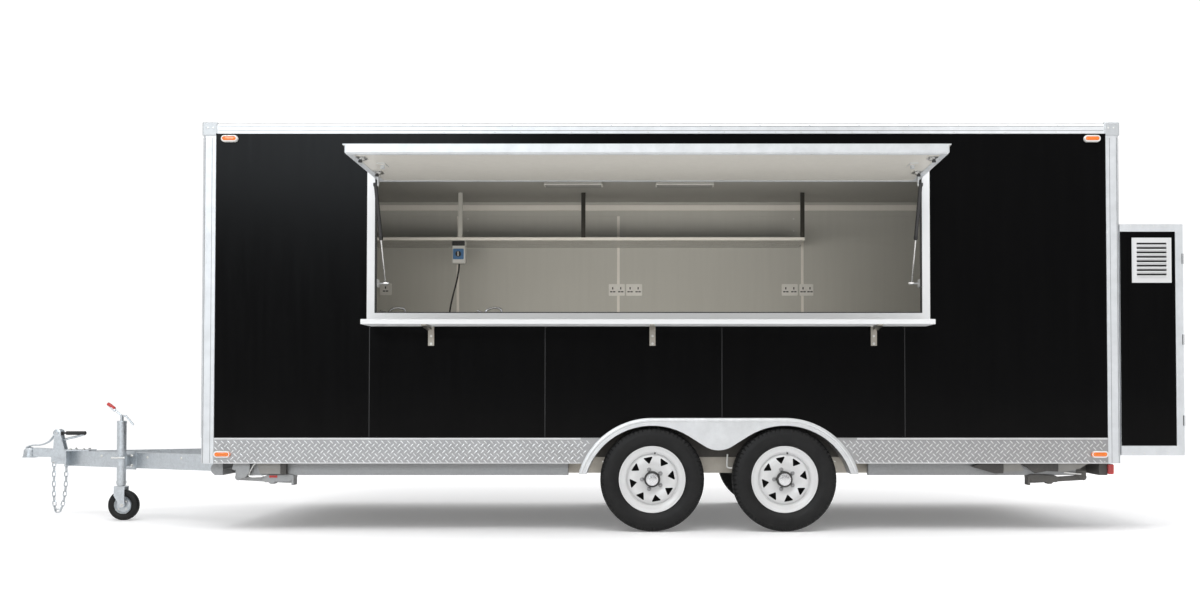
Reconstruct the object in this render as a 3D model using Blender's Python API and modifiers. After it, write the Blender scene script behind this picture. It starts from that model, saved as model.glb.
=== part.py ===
"""Food trailer: a tandem-axle catering trailer with an up-swung serving hatch.

Metres, +Z up, +X towards the rear, the serving side faces -Y. The trailer
stands on its four road wheels and its jockey wheel, with the hatch held
open and the serving shelf level. Heights are above the ground.
"""

from math import atan2, cos, hypot, pi, radians, sin, sqrt, tan

import bmesh
import bpy
from mathutils import Matrix, Vector

# Clearances and drawing fineness
FIT = 0.0003            # gap between pieces that touch
OVERRUN = 0.02          # how far a cutter passes the face it cuts
WELD = 0.00005          # distance at which curve caps are welded
ARC_STEPS = 18          # segments of an arch on the mudguards
ROUND_SIDES = 12        # sides of a small round part

# Body
BODY_LENGTH = 5.40
BODY_WIDTH = 2.10
BODY_TOP = 2.41         # top of the roof rails
BODY_BOTTOM = 0.402     # lower edge of the side panels
WALL_THICK = 0.040
ROOF_THICK = 0.160      # panel, frame and ceiling lining together
ROOF_SHEET = 0.012      # outer sheet that laps over the walls
FLOOR_THICK = 0.035
TRIM_THICK = 0.004      # aluminium angle round the body's edges
POST_FACE = 0.078       # face width of a corner post
RAIL_FACE = 0.065       # face height of a roof rail
EDGE_ROUND = 0.018      # rounding of the posts and roof rails
CAP_LENGTH = 0.088      # cast cap on each upper corner
CAP_HEIGHT = 0.080
CAP_PROUD = 0.004
CAP_ROUND = 0.030

# Chassis
MAIN_RAIL_TOP = 0.430
RAIL_HEIGHT = 0.100
RAIL_WIDTH = 0.050
MAIN_RAIL_INSET = 0.315   # middle of a main rail inside the body's side
SIDE_RAIL_TOP = 0.430
SIDE_RAIL_INSET = 0.095
FRAME_INSET = 0.060       # end of the chassis inside the body's end
CROSS_PITCH = 0.640
DRAWBAR_REACH = 1.245     # apex of the drawbar ahead of the body
DRAWBAR_SPREAD = 0.620    # outer face of a beam at the body's front
DRAWBAR_TOP = 0.430
BEAM_WIDTH = 0.050
BEAM_HEIGHT = 0.100

# Road wheels
WHEEL_FRONT_X = -0.051
WHEEL_PITCH = 0.779       # distance between the two axles
TYRE_RADIUS = 0.3075
TYRE_WIDTH = 0.185
TYRE_TREAD_WIDTH = 0.145
TYRE_BEAD_WIDTH = 0.150
TYRE_BULGE_RADIUS = 0.248
TYRE_SHOULDER = 0.022
BEAD_RADIUS = 0.1830
FLANGE_RADIUS = 0.1955
FLANGE_THICK = 0.011
RIM_WELL_RADIUS = 0.158
RIM_SHEET = 0.006
DISC_RADIUS = 0.151
DISC_SHEET = 0.007
DISC_SETBACK = 0.032      # disc's outer edge behind the flange's face
DISC_DISH = 0.014         # how far the disc's crown stands out again
HUB_SEAT_RADIUS = 0.083
HUB_RING_RADIUS = 0.045
HUB_RING_HEIGHT = 0.030
HUB_CAP_RADIUS = 0.036
HUB_CAP_HEIGHT = 0.042
WINDOW_COUNT = 8
WINDOW_OUTER = 0.131      # window's outer edge from the wheel's centre
WINDOW_INNER = 0.094
WINDOW_WIDTH = 0.047
STUD_COUNT = 5
STUD_CIRCLE = 0.060
STUD_RADIUS = 0.009
STUD_HEIGHT = 0.012
DRUM_RADIUS = 0.115
DRUM_DEPTH = 0.050
WHEEL_INSET = 0.002       # tyre's bulge inside the body's side

# Rubber-sprung axles
AXLE_BEAM = 0.060
AXLE_TRAIL = 0.150        # stub axle behind the beam's middle
AXLE_ARM_THICK = 0.016
AXLE_ARM_HEIGHT = 0.062
STUB_RADIUS = 0.019
AXLE_PAD_LENGTH = 0.130
AXLE_PAD_THICK = 0.010
BRAKE_PLATE_RADIUS = 0.112
BRAKE_PLATE_THICK = 0.006

# Mudguards
GUARD_DROP = 0.088        # arch centre below the wheel's centre
GUARD_OUTER = 0.448
GUARD_INNER = 0.405
GUARD_TIP_Z = 0.340
GUARD_SHEET = 0.003
GUARD_DEPTH = 0.185
GUARD_VALLEY_Z = 0.480    # lowest point of the web between the wheels
GUARD_VALLEY_ROUND = 0.150
ARCH_CLEAR = 0.008        # wall cut-out outside the mudguard's liner

# Kick plates
KICK_TOP = 0.553
KICK_THICK = 0.003
KICK_EDGE = 0.012         # folded bright edge along the top
KICK_EDGE_PROUD = 0.002
LAMP_LENGTH = 0.092
LAMP_HEIGHT = 0.034
LAMP_PROUD = 0.014
LAMP_LOW_INSET = 0.054    # lamp's middle from the corner post
LAMP_HIGH_INSET = 0.081
LAMP_LOW_Z = 0.456
LAMP_HIGH_DROP = 0.096    # upper lamp's middle below the body's top

# Serving window and its frame
WINDOW_CENTRE = -0.073
WINDOW_OPEN_LENGTH = 3.215
WINDOW_OPEN_LOW = 1.285
WINDOW_HEAD = 0.295       # opening's top below the body's top
FRAME_FACE = 0.046
FRAME_PROUD = 0.012
FRAME_LINING = 0.005

# Hatch and its gas struts
HATCH_LENGTH = 3.180
HATCH_LOW = 1.290         # hatch's lower edge when shut
HATCH_THICK = 0.050
HATCH_LIP = 0.009
HATCH_LIP_THICK = 0.006
HATCH_OPEN = 91.0         # degrees from shut to held open
HATCH_HINGE_HEAD = 0.300  # hinge line below the body's top
HATCH_EDGE_ROUND = 0.006
STRUT_OUT = 0.200         # strut's eye out from the hinge, hatch open
STRUT_DOWN = 0.100
STRUT_PIN_Y = 0.075       # lower eye behind the body's side face
STRUT_PIN_Z = 1.466
STRUT_SPREAD = 1.562      # strut's plane from the window's middle
STRUT_TUBE_RADIUS = 0.011
STRUT_ROD_RADIUS = 0.005
STRUT_TUBE_LENGTH = 0.330
STRUT_EYE_RADIUS = 0.011
STRUT_EYE_THICK = 0.024
STRUT_BORE_CLEAR = 0.0006
STRUT_BRACKET_THICK = 0.005
STRUT_PIN_RADIUS = 0.005
LATCH_LENGTH = 0.110
LATCH_HEIGHT = 0.045
LATCH_THICK = 0.004
KNOB_RADIUS = 0.012
KNOB_HEIGHT = 0.018

# Serving shelf
SHELF_LENGTH = 3.260
SHELF_TOP = 1.235
SHELF_THICK = 0.028
SHELF_REACH = 0.265       # shelf's outer edge from the body's side
SHELF_LEDGE = 0.058       # fixed ledge that carries the shelf's hinge
SHELF_ARM_WIDTH = 0.028
SHELF_ARM_HEIGHT = 0.026
SHELF_ARM_GAP = 0.006     # arm's end from the hinge line
BRACKET_LEAF_WIDTH = 0.035
BRACKET_LEAF_LOW = 1.093
BRACKET_LEAF_THICK = 0.006
BRACKET_PITCH = 1.300
BRACKET_CENTRE = -0.049

# Rear locker
LOCKER_DEPTH = 0.370
LOCKER_FAR_INSET = 0.050  # locker's far side short of the centre plane
LOCKER_LOW = 0.450
LOCKER_HEAD = 0.601       # locker's top below the body's top
LOCKER_WALL = 0.012
LOCKER_RAIL = 0.044
LOCKER_SILL = 0.056
LOCKER_TRIM = 0.004
LOCKER_SHELF_THICK = 0.012
LOUVRE_WIDTH = 0.232
LOUVRE_HEIGHT = 0.265
LOUVRE_HEAD = 0.213       # vent's middle below the locker's top
LOUVRE_THICK = 0.006
LOUVRE_SLOTS = 8
LOUVRE_SLOT_LENGTH = 0.176
LOUVRE_SLOT_HEIGHT = 0.013
LOUVRE_PITCH = 0.026
LOUVRE_HOOD = 0.012

# Doors
DOOR_GAP = 0.006
DOOR_THICK = 0.030
ENTRY_NEAR = 0.080        # entry door's free edge from the centre plane
ENTRY_FAR_INSET = 0.190   # door's hinge edge inside the far side
ENTRY_LOW = 0.545
ENTRY_HEAD = 0.230        # doorway's top below the body's top
DOOR_FRAME_FACE = 0.035
DOOR_FRAME_PROUD = 0.006
DOOR_KNUCKLE = 0.009
HANDLE_LENGTH = 0.120
HANDLE_RADIUS = 0.008
HANDLE_STAND = 0.030
LATCH_PLATE_WIDTH = 0.080  # flush latch of the locker door
LATCH_PLATE_HEIGHT = 0.110
LATCH_PROUD = 0.006

# Inside
WORKTOP_DEPTH = 0.600
WORKTOP_HEIGHT = 0.880    # far worktop above the floor
SERVERY_HEIGHT = 0.800    # near worktop above the floor
WORKTOP_THICK = 0.035
CABINET_INSET = 0.030
PLINTH_HEIGHT = 0.100
PLINTH_INSET = 0.050
SHELF_WALL_LEFT = -2.100
SHELF_WALL_RIGHT = 1.025
SHELF_WALL_DEPTH = 0.470
SHELF_WALL_HEAD = 0.507   # shelf below the body's top
SHELF_WALL_SHEET = 0.012
SHELF_WALL_LIP = 0.022
HANGER_WIDTH = 0.030
HANGER_THICK = 0.012
HANGER_PLACES = (-1.445, -0.568, 0.995)
BOX_LENGTH = 0.096
BOX_HEIGHT = 0.165
BOX_DEPTH = 0.075
BOX_X = -1.442
LEAD_RADIUS = 0.006
LEAD_SWING = 0.070        # lead's foot ahead of the box
SOCKET_DEPTH = 0.030
LIGHT_DROP = 0.022
LIGHT_LENGTH = 0.390
LIGHT_WIDTH = 0.110

# Coupling, brake lever and safety chain
CUP_AHEAD = 0.269         # ball's centre ahead of the drawbar's apex
CUP_RADIUS = 0.042
CUP_LOW = 0.386
CUP_TOP = 0.456
CUP_LIP = 0.006
NECK_WIDTH = 0.056
NECK_HEIGHT = 0.060
BASE_LENGTH = 0.150       # base plate on top of the drawbar's apex
BASE_WIDTH = 0.120
BASE_THICK = 0.008
EAR_TOP = 0.560
EAR_LENGTH = 0.052
EAR_THICK = 0.008
EAR_SPREAD = 0.020
LEVER_AHEAD = 0.077       # lever's pin ahead of the apex
LEVER_Z = 0.545
LEVER_REACH = 0.175
LEVER_BAR = 0.012
GRIP_LENGTH = 0.125
GRIP_RADIUS = 0.0125
CHAIN_WIRE = 0.004
CHAIN_LINK_LENGTH = 0.050
CHAIN_LINK_WIDTH = 0.029
CHAIN_BITE = 0.0016       # welded links bite into each other
CHAIN_PIN_RADIUS = 0.0046
CHAIN_CHEEK_GAP = 0.0065  # cheek's inner face from the centre plane
CHAIN_CHEEK_THICK = 0.004
CHAIN_CHEEK_EDGE = 0.016
CHAIN_FRONT_AHEAD = 0.107 # chain's two pins ahead of the apex
CHAIN_REAR_AHEAD = 0.025
CHAIN_PIN_DROP = 0.080    # pins below the drawbar's top
CHAIN_LINKS = 21
CHAIN_BEND_STEPS = 3
CHAIN_WIRE_SIDES = 5
CHAIN_FINE = 400
CHAIN_TRIES = 24
CHAIN_LEAN = 1.6
CHAIN_BOW = 0.3

# Jockey wheel
JACK_BACK = 0.480         # jack's axis behind the apex
JACK_STAND = 0.086        # and out from the beam's face
JACK_TUBE_RADIUS = 0.029
JACK_TUBE_TOP = 0.637
JACK_TUBE_LOW = 0.226
JACK_LEG_RADIUS = 0.0245
JACK_LEG_CLEAR = 0.0008
JACK_LEG_LENGTH = 0.330
JACK_TRAVEL = 0.200
JACK_SHAFT_RADIUS = 0.010
JACK_SHAFT_TOP = 0.662
JACK_WHEEL_RADIUS = 0.0975
JACK_WHEEL_WIDTH = 0.050
JACK_RIM_RADIUS = 0.056
JACK_TRAIL = 0.018
FORK_TOP = 0.219
FORK_SHEET = 0.005
FORK_WIDTH = 0.068
FORK_TOE_WIDTH = 0.034
FORK_INSIDE = 0.062
FORK_SHOULDER = 0.060
CRANK_BAR = 0.006
CRANK_RISE_X = -0.065     # grip end from the jack's axis
CRANK_RISE = 0.059
CRANK_FALL_X = 0.075
CRANK_FALL = 0.052
CRANK_GRIP_RADIUS = 0.011
CRANK_GRIP_LENGTH = 0.055
CLAMP_HEIGHT = 0.118
CLAMP_PLATE_LENGTH = 0.170
CLAMP_PLATE_THICK = 0.006
CLAMP_COLLAR = 0.007
CLAMP_COLLAR_HEIGHT = 0.070

# Corner steadies
STEADY_PIVOT_INSET = 0.200  # from the body's end, front and rear alike
STEADY_PIVOT_Z = 0.318
STEADY_CHEEK_THICK = 0.006
STEADY_LENGTH = 0.320
STEADY_ARM_WIDTH = 0.040
STEADY_ARM_DEPTH = 0.034
STEADY_FOOT_LENGTH = 0.090
STEADY_FOOT_WIDTH = 0.075
STEADY_FOOT_THICK = 0.012
STEADY_KNUCKLE = 0.019
STEADY_TUBE_RADIUS = 0.037
STEADY_TUBE_INSET = 0.075
STEADY_PIN_RADIUS = 0.006
STEADY_PLAY = 0.0005
STEADY_TUBE_LENGTH = 0.240
STEADY_TUBE_WALL = 0.004

# Tail lamps
TAIL_LAMP_LENGTH = 0.210
TAIL_LAMP_HEIGHT = 0.060
TAIL_LAMP_DEPTH = 0.032
TAIL_LAMP_INSET = 0.050   # lamp's outer end from the body's side

# Places that follow from the sizes above
HALF_LENGTH = BODY_LENGTH / 2
HALF_WIDTH = BODY_WIDTH / 2
SKIN_X = HALF_LENGTH - TRIM_THICK - FIT
SKIN_Y = HALF_WIDTH - TRIM_THICK - FIT
MAIN_RAIL_PLACE = HALF_WIDTH - MAIN_RAIL_INSET
SIDE_RAIL_PLACE = HALF_WIDTH - SIDE_RAIL_INSET
WINDOW_OPEN_HIGH = BODY_TOP - WINDOW_HEAD
HATCH_HINGE_Z = BODY_TOP - HATCH_HINGE_HEAD
HATCH_DROP = HATCH_HINGE_Z - HATCH_LOW
LAMP_HIGH_Z = BODY_TOP - LAMP_HIGH_DROP
LOCKER_WIDTH = HALF_WIDTH - LOCKER_FAR_INSET
LOCKER_HIGH = BODY_TOP - LOCKER_HEAD
LOUVRE_X = HALF_LENGTH + LOCKER_DEPTH / 2
LOUVRE_Z = LOCKER_HIGH - LOUVRE_HEAD
ENTRY_FAR = HALF_WIDTH - ENTRY_FAR_INSET
ENTRY_HIGH = BODY_TOP - ENTRY_HEAD
SHELF_WALL_LOW = BODY_TOP - SHELF_WALL_HEAD
INNER_X = SKIN_X - WALL_THICK
INNER_Y = SKIN_Y - WALL_THICK
FLOOR_UNDER = MAIN_RAIL_TOP + FIT
FLOOR_TOP = FLOOR_UNDER + FLOOR_THICK
ROOF_SKIN = BODY_TOP - TRIM_THICK - FIT
CEILING = ROOF_SKIN - ROOF_THICK
WHEEL_XS = (WHEEL_FRONT_X, WHEEL_FRONT_X + WHEEL_PITCH)
WHEEL_MIDDLE = (WHEEL_XS[0] + WHEEL_XS[1]) / 2
WHEEL_Y = HALF_WIDTH - WHEEL_INSET - TYRE_WIDTH / 2
APEX_X = -HALF_LENGTH - DRAWBAR_REACH
LOCKER_END = HALF_LENGTH + LOCKER_DEPTH
CUP_CENTRE_X = APEX_X - CUP_AHEAD
LEVER_X = APEX_X - LEVER_AHEAD
CHAIN_FRONT_X = APEX_X - CHAIN_FRONT_AHEAD
CHAIN_REAR_X = APEX_X - CHAIN_REAR_AHEAD
CHAIN_PIN_Z = DRAWBAR_TOP - CHAIN_PIN_DROP
JACK_X = APEX_X + JACK_BACK
JACK_Y = -(JACK_BACK * DRAWBAR_SPREAD / DRAWBAR_REACH + JACK_STAND)
STEADY_PIVOT_X = HALF_LENGTH - STEADY_PIVOT_INSET
STEADY_TUBE_X = HALF_LENGTH - STEADY_TUBE_INSET
STEADY_Y = SIDE_RAIL_PLACE
COUPLING_TIP = CUP_CENTRE_X - CUP_RADIUS - CUP_LIP
HATCH_TILT = radians(HATCH_OPEN - 90)
HATCH_REACH = (HALF_WIDTH + HATCH_DROP * cos(HATCH_TILT)
               + (HATCH_THICK - HATCH_EDGE_ROUND) * sin(HATCH_TILT))
FAR_REACH = SKIN_Y + FIT + LAMP_PROUD
CENTRE_X = (COUPLING_TIP + LOCKER_END + LATCH_PROUD) / 2
CENTRE_Y = (FAR_REACH - HATCH_REACH) / 2


def clear_scene():
    """Remove whatever the open scene holds."""
    for thing in list(bpy.data.objects):
        bpy.data.objects.remove(thing, do_unlink=True)


clear_scene()
PARTS = bpy.data.collections.new("Food trailer")
CUTTERS = bpy.data.collections.new("Cutters")
for collection in (PARTS, CUTTERS):
    bpy.context.scene.collection.children.link(collection)

MATERIALS = {}


def material(name, colour, roughness, metallic):
    """Principled BSDF of one finish."""
    made = bpy.data.materials.new(name)
    made.use_nodes = True
    shader = made.node_tree.nodes["Principled BSDF"]
    shader.inputs["Base Color"].default_value = (*colour, 1.0)
    shader.inputs["Roughness"].default_value = roughness
    shader.inputs["Metallic"].default_value = metallic
    MATERIALS[name] = made


material("black_panel", (0.012, 0.012, 0.013), 0.25, 0.0)
material("white_panel", (0.78, 0.79, 0.80), 0.35, 0.0)
material("aluminium_trim", (0.72, 0.74, 0.76), 0.35, 1.0)
material("tread_plate", (0.66, 0.67, 0.68), 0.32, 1.0)
material("galvanised", (0.60, 0.64, 0.67), 0.45, 1.0)
material("stainless", (0.62, 0.63, 0.64), 0.30, 1.0)
material("white_steel", (0.83, 0.84, 0.85), 0.38, 0.0)
material("tyre", (0.018, 0.018, 0.018), 0.85, 0.0)
material("black_steel", (0.02, 0.02, 0.02), 0.45, 0.0)
material("lamp_orange", (0.95, 0.25, 0.02), 0.25, 0.0)
material("lamp_red", (0.60, 0.02, 0.02), 0.25, 0.0)
material("blue_plastic", (0.10, 0.25, 0.55), 0.40, 0.0)
material("floor_sheet", (0.22, 0.23, 0.24), 0.60, 0.0)


def add_object(name, mesh, location=(0, 0, 0)):
    """Object in the parts' collection."""
    made = bpy.data.objects.new(name, mesh)
    made.location = location
    PARTS.objects.link(made)
    return made


def finish(obj, finish_name):
    """Give a piece its finish and smooth its round faces."""
    obj.data.materials.clear()
    obj.data.materials.append(MATERIALS[finish_name])
    obj.data.shade_smooth()
    obj.data.set_sharp_from_angle(angle=radians(35))
    return obj


def block(name, low, high, rounding=0.0, segments=2):
    """Box between two corners, its edges rounded where asked."""
    low, high = Vector(low), Vector(high)
    mesh = bpy.data.meshes.new(name)
    shape = bmesh.new()
    bmesh.ops.create_cube(shape, size=1.0)
    bmesh.ops.scale(shape, vec=high - low, verts=shape.verts)
    if rounding > 0:
        bmesh.ops.bevel(shape, geom=shape.edges, offset=rounding,
                        segments=segments, affect="EDGES", profile=0.5)
    shape.to_mesh(mesh)
    shape.free()
    return add_object(name, mesh, (low + high) / 2)


AXIS_TURN = {"X": Matrix.Rotation(pi / 2, 4, "Y"),
             "Y": Matrix.Rotation(pi / 2, 4, "X"),
             "Z": Matrix.Identity(4)}


def bar(name, centre, radius, length, axis, sides=ROUND_SIDES, tip=None):
    """Round bar, or a cone where the far end has its own radius."""
    mesh = bpy.data.meshes.new(name)
    shape = bmesh.new()
    bmesh.ops.create_cone(shape, cap_ends=True, segments=sides,
                          radius1=radius, radius2=radius if tip is None else tip,
                          depth=length, matrix=AXIS_TURN[axis])
    shape.to_mesh(mesh)
    shape.free()
    return add_object(name, mesh, centre)


def bake(obj):
    """Replace an object's mesh by what its modifiers make of it."""
    graph = bpy.context.evaluated_depsgraph_get()
    graph.update()
    mesh = bpy.data.meshes.new_from_object(obj.evaluated_get(graph))
    obj.modifiers.clear()
    obj.data = mesh
    return obj


def combine(base, tools, operation):
    """Boolean of a piece with others, which are used up."""
    for tool in tools:
        PARTS.objects.unlink(tool)
        CUTTERS.objects.link(tool)
        tool.hide_render = True
        tool.display_type = "WIRE"
        step = base.modifiers.new(operation.lower(), "BOOLEAN")
        step.operation = operation
        step.solver = "EXACT"
        step.object = tool
    bake(base)
    for tool in tools:
        bpy.data.objects.remove(tool, do_unlink=True)
    return base


def fuse(base, *tools):
    """Weld other shapes to a piece."""
    return combine(base, tools, "UNION")


def cut(base, *tools):
    """Cut other shapes out of a piece."""
    return combine(base, tools, "DIFFERENCE")


def meshed(curve, name):
    """Closed mesh object from a curve object, which is removed."""
    PARTS.objects.link(curve)
    graph = bpy.context.evaluated_depsgraph_get()
    graph.update()
    mesh = bpy.data.meshes.new_from_object(curve.evaluated_get(graph))
    shape = bmesh.new()
    shape.from_mesh(mesh)
    bmesh.ops.remove_doubles(shape, verts=shape.verts, dist=WELD)
    bmesh.ops.recalc_face_normals(shape, faces=shape.faces)
    shape.to_mesh(mesh)
    shape.free()
    made = add_object(name, mesh)
    made.matrix_world = curve.matrix_world
    bpy.data.objects.remove(curve, do_unlink=True)
    made.name = name
    return made


def poly_line(data, points, closed):
    """Straight-sided spline through the points."""
    line = data.splines.new("POLY")
    line.points.add(len(points) - 1)
    for spot, place in zip(line.points, points):
        spot.co = (*place, 1.0) if len(place) == 3 else (*place, 0.0, 1.0)
    line.use_cyclic_u = closed


FLAT_TURN = {"XY": (0, 0, 0), "XZ": (pi / 2, 0, 0), "YZ": (pi / 2, 0, pi / 2)}


def plate(name, outline, plane, low, high):
    """Flat outline in a plane, as thick as from low to high across it."""
    data = bpy.data.curves.new(name, "CURVE")
    data.dimensions = "2D"
    data.fill_mode = "BOTH"
    data.extrude = (high - low) / 2
    poly_line(data, outline, True)
    curve = bpy.data.objects.new(name, data)
    middle = (low + high) / 2
    curve.location = {"XY": (0, 0, middle), "XZ": (0, middle, 0),
                      "YZ": (middle, 0, 0)}[plane]
    curve.rotation_euler = FLAT_TURN[plane]
    bpy.context.view_layer.update()
    return meshed(curve, name)


def tube_along(name, route, radius, sides_level=2):
    """Round bar along a route of points."""
    data = bpy.data.curves.new(name, "CURVE")
    data.dimensions = "3D"
    data.bevel_depth = radius
    data.bevel_resolution = sides_level
    data.use_fill_caps = True
    poly_line(data, route, False)
    return meshed(bpy.data.objects.new(name, data), name)


def turned(name, profile, centre, axis, steps, closed=False):
    """Solid turned from (radius, height) points round an axis."""
    mesh = bpy.data.meshes.new(name)
    count = len(profile)
    pairs = [(i, i + 1) for i in range(count - 1)]
    if closed:
        pairs.append((count - 1, 0))
    mesh.from_pydata([(r, 0, h) for r, h in profile], pairs, [])
    made = add_object(name, mesh)
    screw = made.modifiers.new("turn", "SCREW")
    screw.steps = steps
    screw.render_steps = steps
    screw.use_merge_vertices = True
    screw.merge_threshold = WELD
    bake(made)
    shape = bmesh.new()
    shape.from_mesh(made.data)
    bmesh.ops.remove_doubles(shape, verts=shape.verts, dist=WELD)
    bmesh.ops.recalc_face_normals(shape, faces=shape.faces)
    bmesh.ops.transform(shape, matrix=AXIS_TURN[axis], verts=shape.verts)
    shape.to_mesh(made.data)
    shape.free()
    made.location = centre
    return made


def arc(centre, radius, start, end, steps):
    """Points along an arc, in degrees, both ends included."""
    spots = []
    for i in range(steps + 1):
        angle = radians(start + (end - start) * i / steps)
        spots.append((centre[0] + radius * cos(angle),
                      centre[1] + radius * sin(angle)))
    return spots


def rounded_rectangle(low, high, radius, steps=4):
    """Outline of a rectangle with round corners."""
    spots = []
    corners = ((high[0] - radius, high[1] - radius, 0),
               (low[0] + radius, high[1] - radius, 90),
               (low[0] + radius, low[1] + radius, 180),
               (high[0] - radius, low[1] + radius, 270))
    for x, y, start in corners:
        spots += arc((x, y), radius, start, start + 90, steps)
    return spots


def mirrored(source, name, axis):
    """Copy of a piece on the other side of the body's middle plane."""
    mesh = source.data.copy()
    mirror = Matrix.Scale(-1, 4, Vector((1, 0, 0)) if axis == "X" else Vector((0, 1, 0)))
    place = mirror @ source.matrix_basis
    mesh.transform(place)
    mesh.flip_normals()
    return add_object(name, mesh)


def pivot(name, place, parent):
    """Empty on a joint's axis."""
    made = bpy.data.objects.new(name, None)
    PARTS.objects.link(made)
    made.parent = parent
    made.location = place
    return made


def attach(obj, holder, holder_place=(0, 0, 0)):
    """Hang a piece, drawn in the trailer's own frame, on its holder."""
    obj.parent = holder
    obj.location = Vector(obj.location) - Vector(holder_place)
    return obj


TRAILER = bpy.data.objects.new("food_trailer", None)
PARTS.objects.link(TRAILER)
TRAILER.location = (-CENTRE_X, -CENTRE_Y, 0)


# Chassis: two main rails, crossmembers, side rails interrupted at the
# wheels, and the drawbar whose beams run back under the body.
RAIL_END = HALF_LENGTH - FRAME_INSET
MAIN_RAIL_LOW = MAIN_RAIL_TOP - RAIL_HEIGHT
SIDE_RAIL_LOW = SIDE_RAIL_TOP - RAIL_HEIGHT
SIDE_RAIL_OUT = SIDE_RAIL_PLACE + RAIL_WIDTH / 2
WELL_FRONT = WHEEL_XS[0] - GUARD_OUTER - RAIL_WIDTH
WELL_REAR = WHEEL_XS[1] + GUARD_OUTER + RAIL_WIDTH
BEAM_ANGLE = atan2(DRAWBAR_SPREAD, DRAWBAR_REACH)
BEAM_LOW = DRAWBAR_TOP - BEAM_HEIGHT


def drawbar_outline():
    """Plan of the drawbar, a V from the apex to the main rails."""
    slope = tan(BEAM_ANGLE)
    end_y = MAIN_RAIL_PLACE
    outer_end = APEX_X + end_y / slope
    inner_apex = APEX_X + BEAM_WIDTH / sin(BEAM_ANGLE)
    inner_end = inner_apex + end_y / slope
    return [(APEX_X, 0), (outer_end, -end_y), (inner_end, -end_y),
            (inner_apex, 0), (inner_end, end_y), (outer_end, end_y)]


def steady_bracket(pivot_x, middle_y, inward):
    """Two cheeks on the side rail's end and the pin of a corner steady."""
    inner = STEADY_ARM_WIDTH * 0.55 + STEADY_PLAY
    outer = inner + STEADY_CHEEK_THICK
    edge = STEADY_KNUCKLE
    root = pivot_x + inward * edge * 2.5
    outline = [(pivot_x - inward * edge * 0.7, STEADY_PIVOT_Z - edge * 0.5),
               (pivot_x - inward * edge * 0.7, STEADY_PIVOT_Z + edge * 2),
               (root, STEADY_PIVOT_Z + edge * 2), (root, SIDE_RAIL_LOW + FIT),
               (pivot_x + inward * edge * 0.5, STEADY_PIVOT_Z - edge * 0.8)]
    pieces = [plate("cheek", outline, "XZ", middle_y - outer, middle_y - inner),
              plate("cheek", outline, "XZ", middle_y + inner, middle_y + outer),
              bar("pin", (pivot_x, middle_y, STEADY_PIVOT_Z), STEADY_PIN_RADIUS,
                  2 * outer + STEADY_CHEEK_THICK, "Y")]
    return pieces


def make_chassis():
    """The welded frame and drawbar."""
    frame = plate("chassis", drawbar_outline(), "XY", BEAM_LOW, DRAWBAR_TOP)
    half = RAIL_WIDTH / 2
    members = []
    for side in (-1, 1):
        middle = side * MAIN_RAIL_PLACE
        members.append(block("rail", (-RAIL_END, middle - half, MAIN_RAIL_LOW),
                             (RAIL_END, middle + half, MAIN_RAIL_TOP)))
    spans = round(2 * RAIL_END / CROSS_PITCH)
    step = 2 * (RAIL_END - half) / spans
    for i in range(spans + 1):
        x = -RAIL_END + half + i * step
        at_wheels = WELL_FRONT < x < WELL_REAR
        reach = MAIN_RAIL_PLACE if at_wheels else SIDE_RAIL_OUT
        members.append(block("crossmember", (x - half, -reach, MAIN_RAIL_LOW),
                             (x + half, reach, MAIN_RAIL_TOP)))
    for side in (-1, 1):
        inner = side * (SIDE_RAIL_PLACE - half)
        outer = side * SIDE_RAIL_OUT
        low_y, high_y = min(inner, outer), max(inner, outer)
        tube_inner = side * MAIN_RAIL_PLACE
        for end, well in ((-1, WELL_FRONT), (1, WELL_REAR)):
            post_x = end * (STEADY_PIVOT_X - STEADY_KNUCKLE)
            members.append(block("side_rail", (min(post_x, well), low_y, SIDE_RAIL_LOW),
                                 (max(post_x, well), high_y, SIDE_RAIL_TOP)))
            members += steady_bracket(end * STEADY_PIVOT_X, side * STEADY_Y, -end)
        tube_y = (tube_inner + outer) / 2
        members.append(bar("cross_tube", (-STEADY_TUBE_X, tube_y,
                                          MAIN_RAIL_LOW + STEADY_TUBE_RADIUS),
                           STEADY_TUBE_RADIUS, abs(outer - tube_inner), "Y"))
    fuse(frame, *members)
    return finish(frame, "galvanised")


CHASSIS = attach(make_chassis(), TRAILER)


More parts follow.
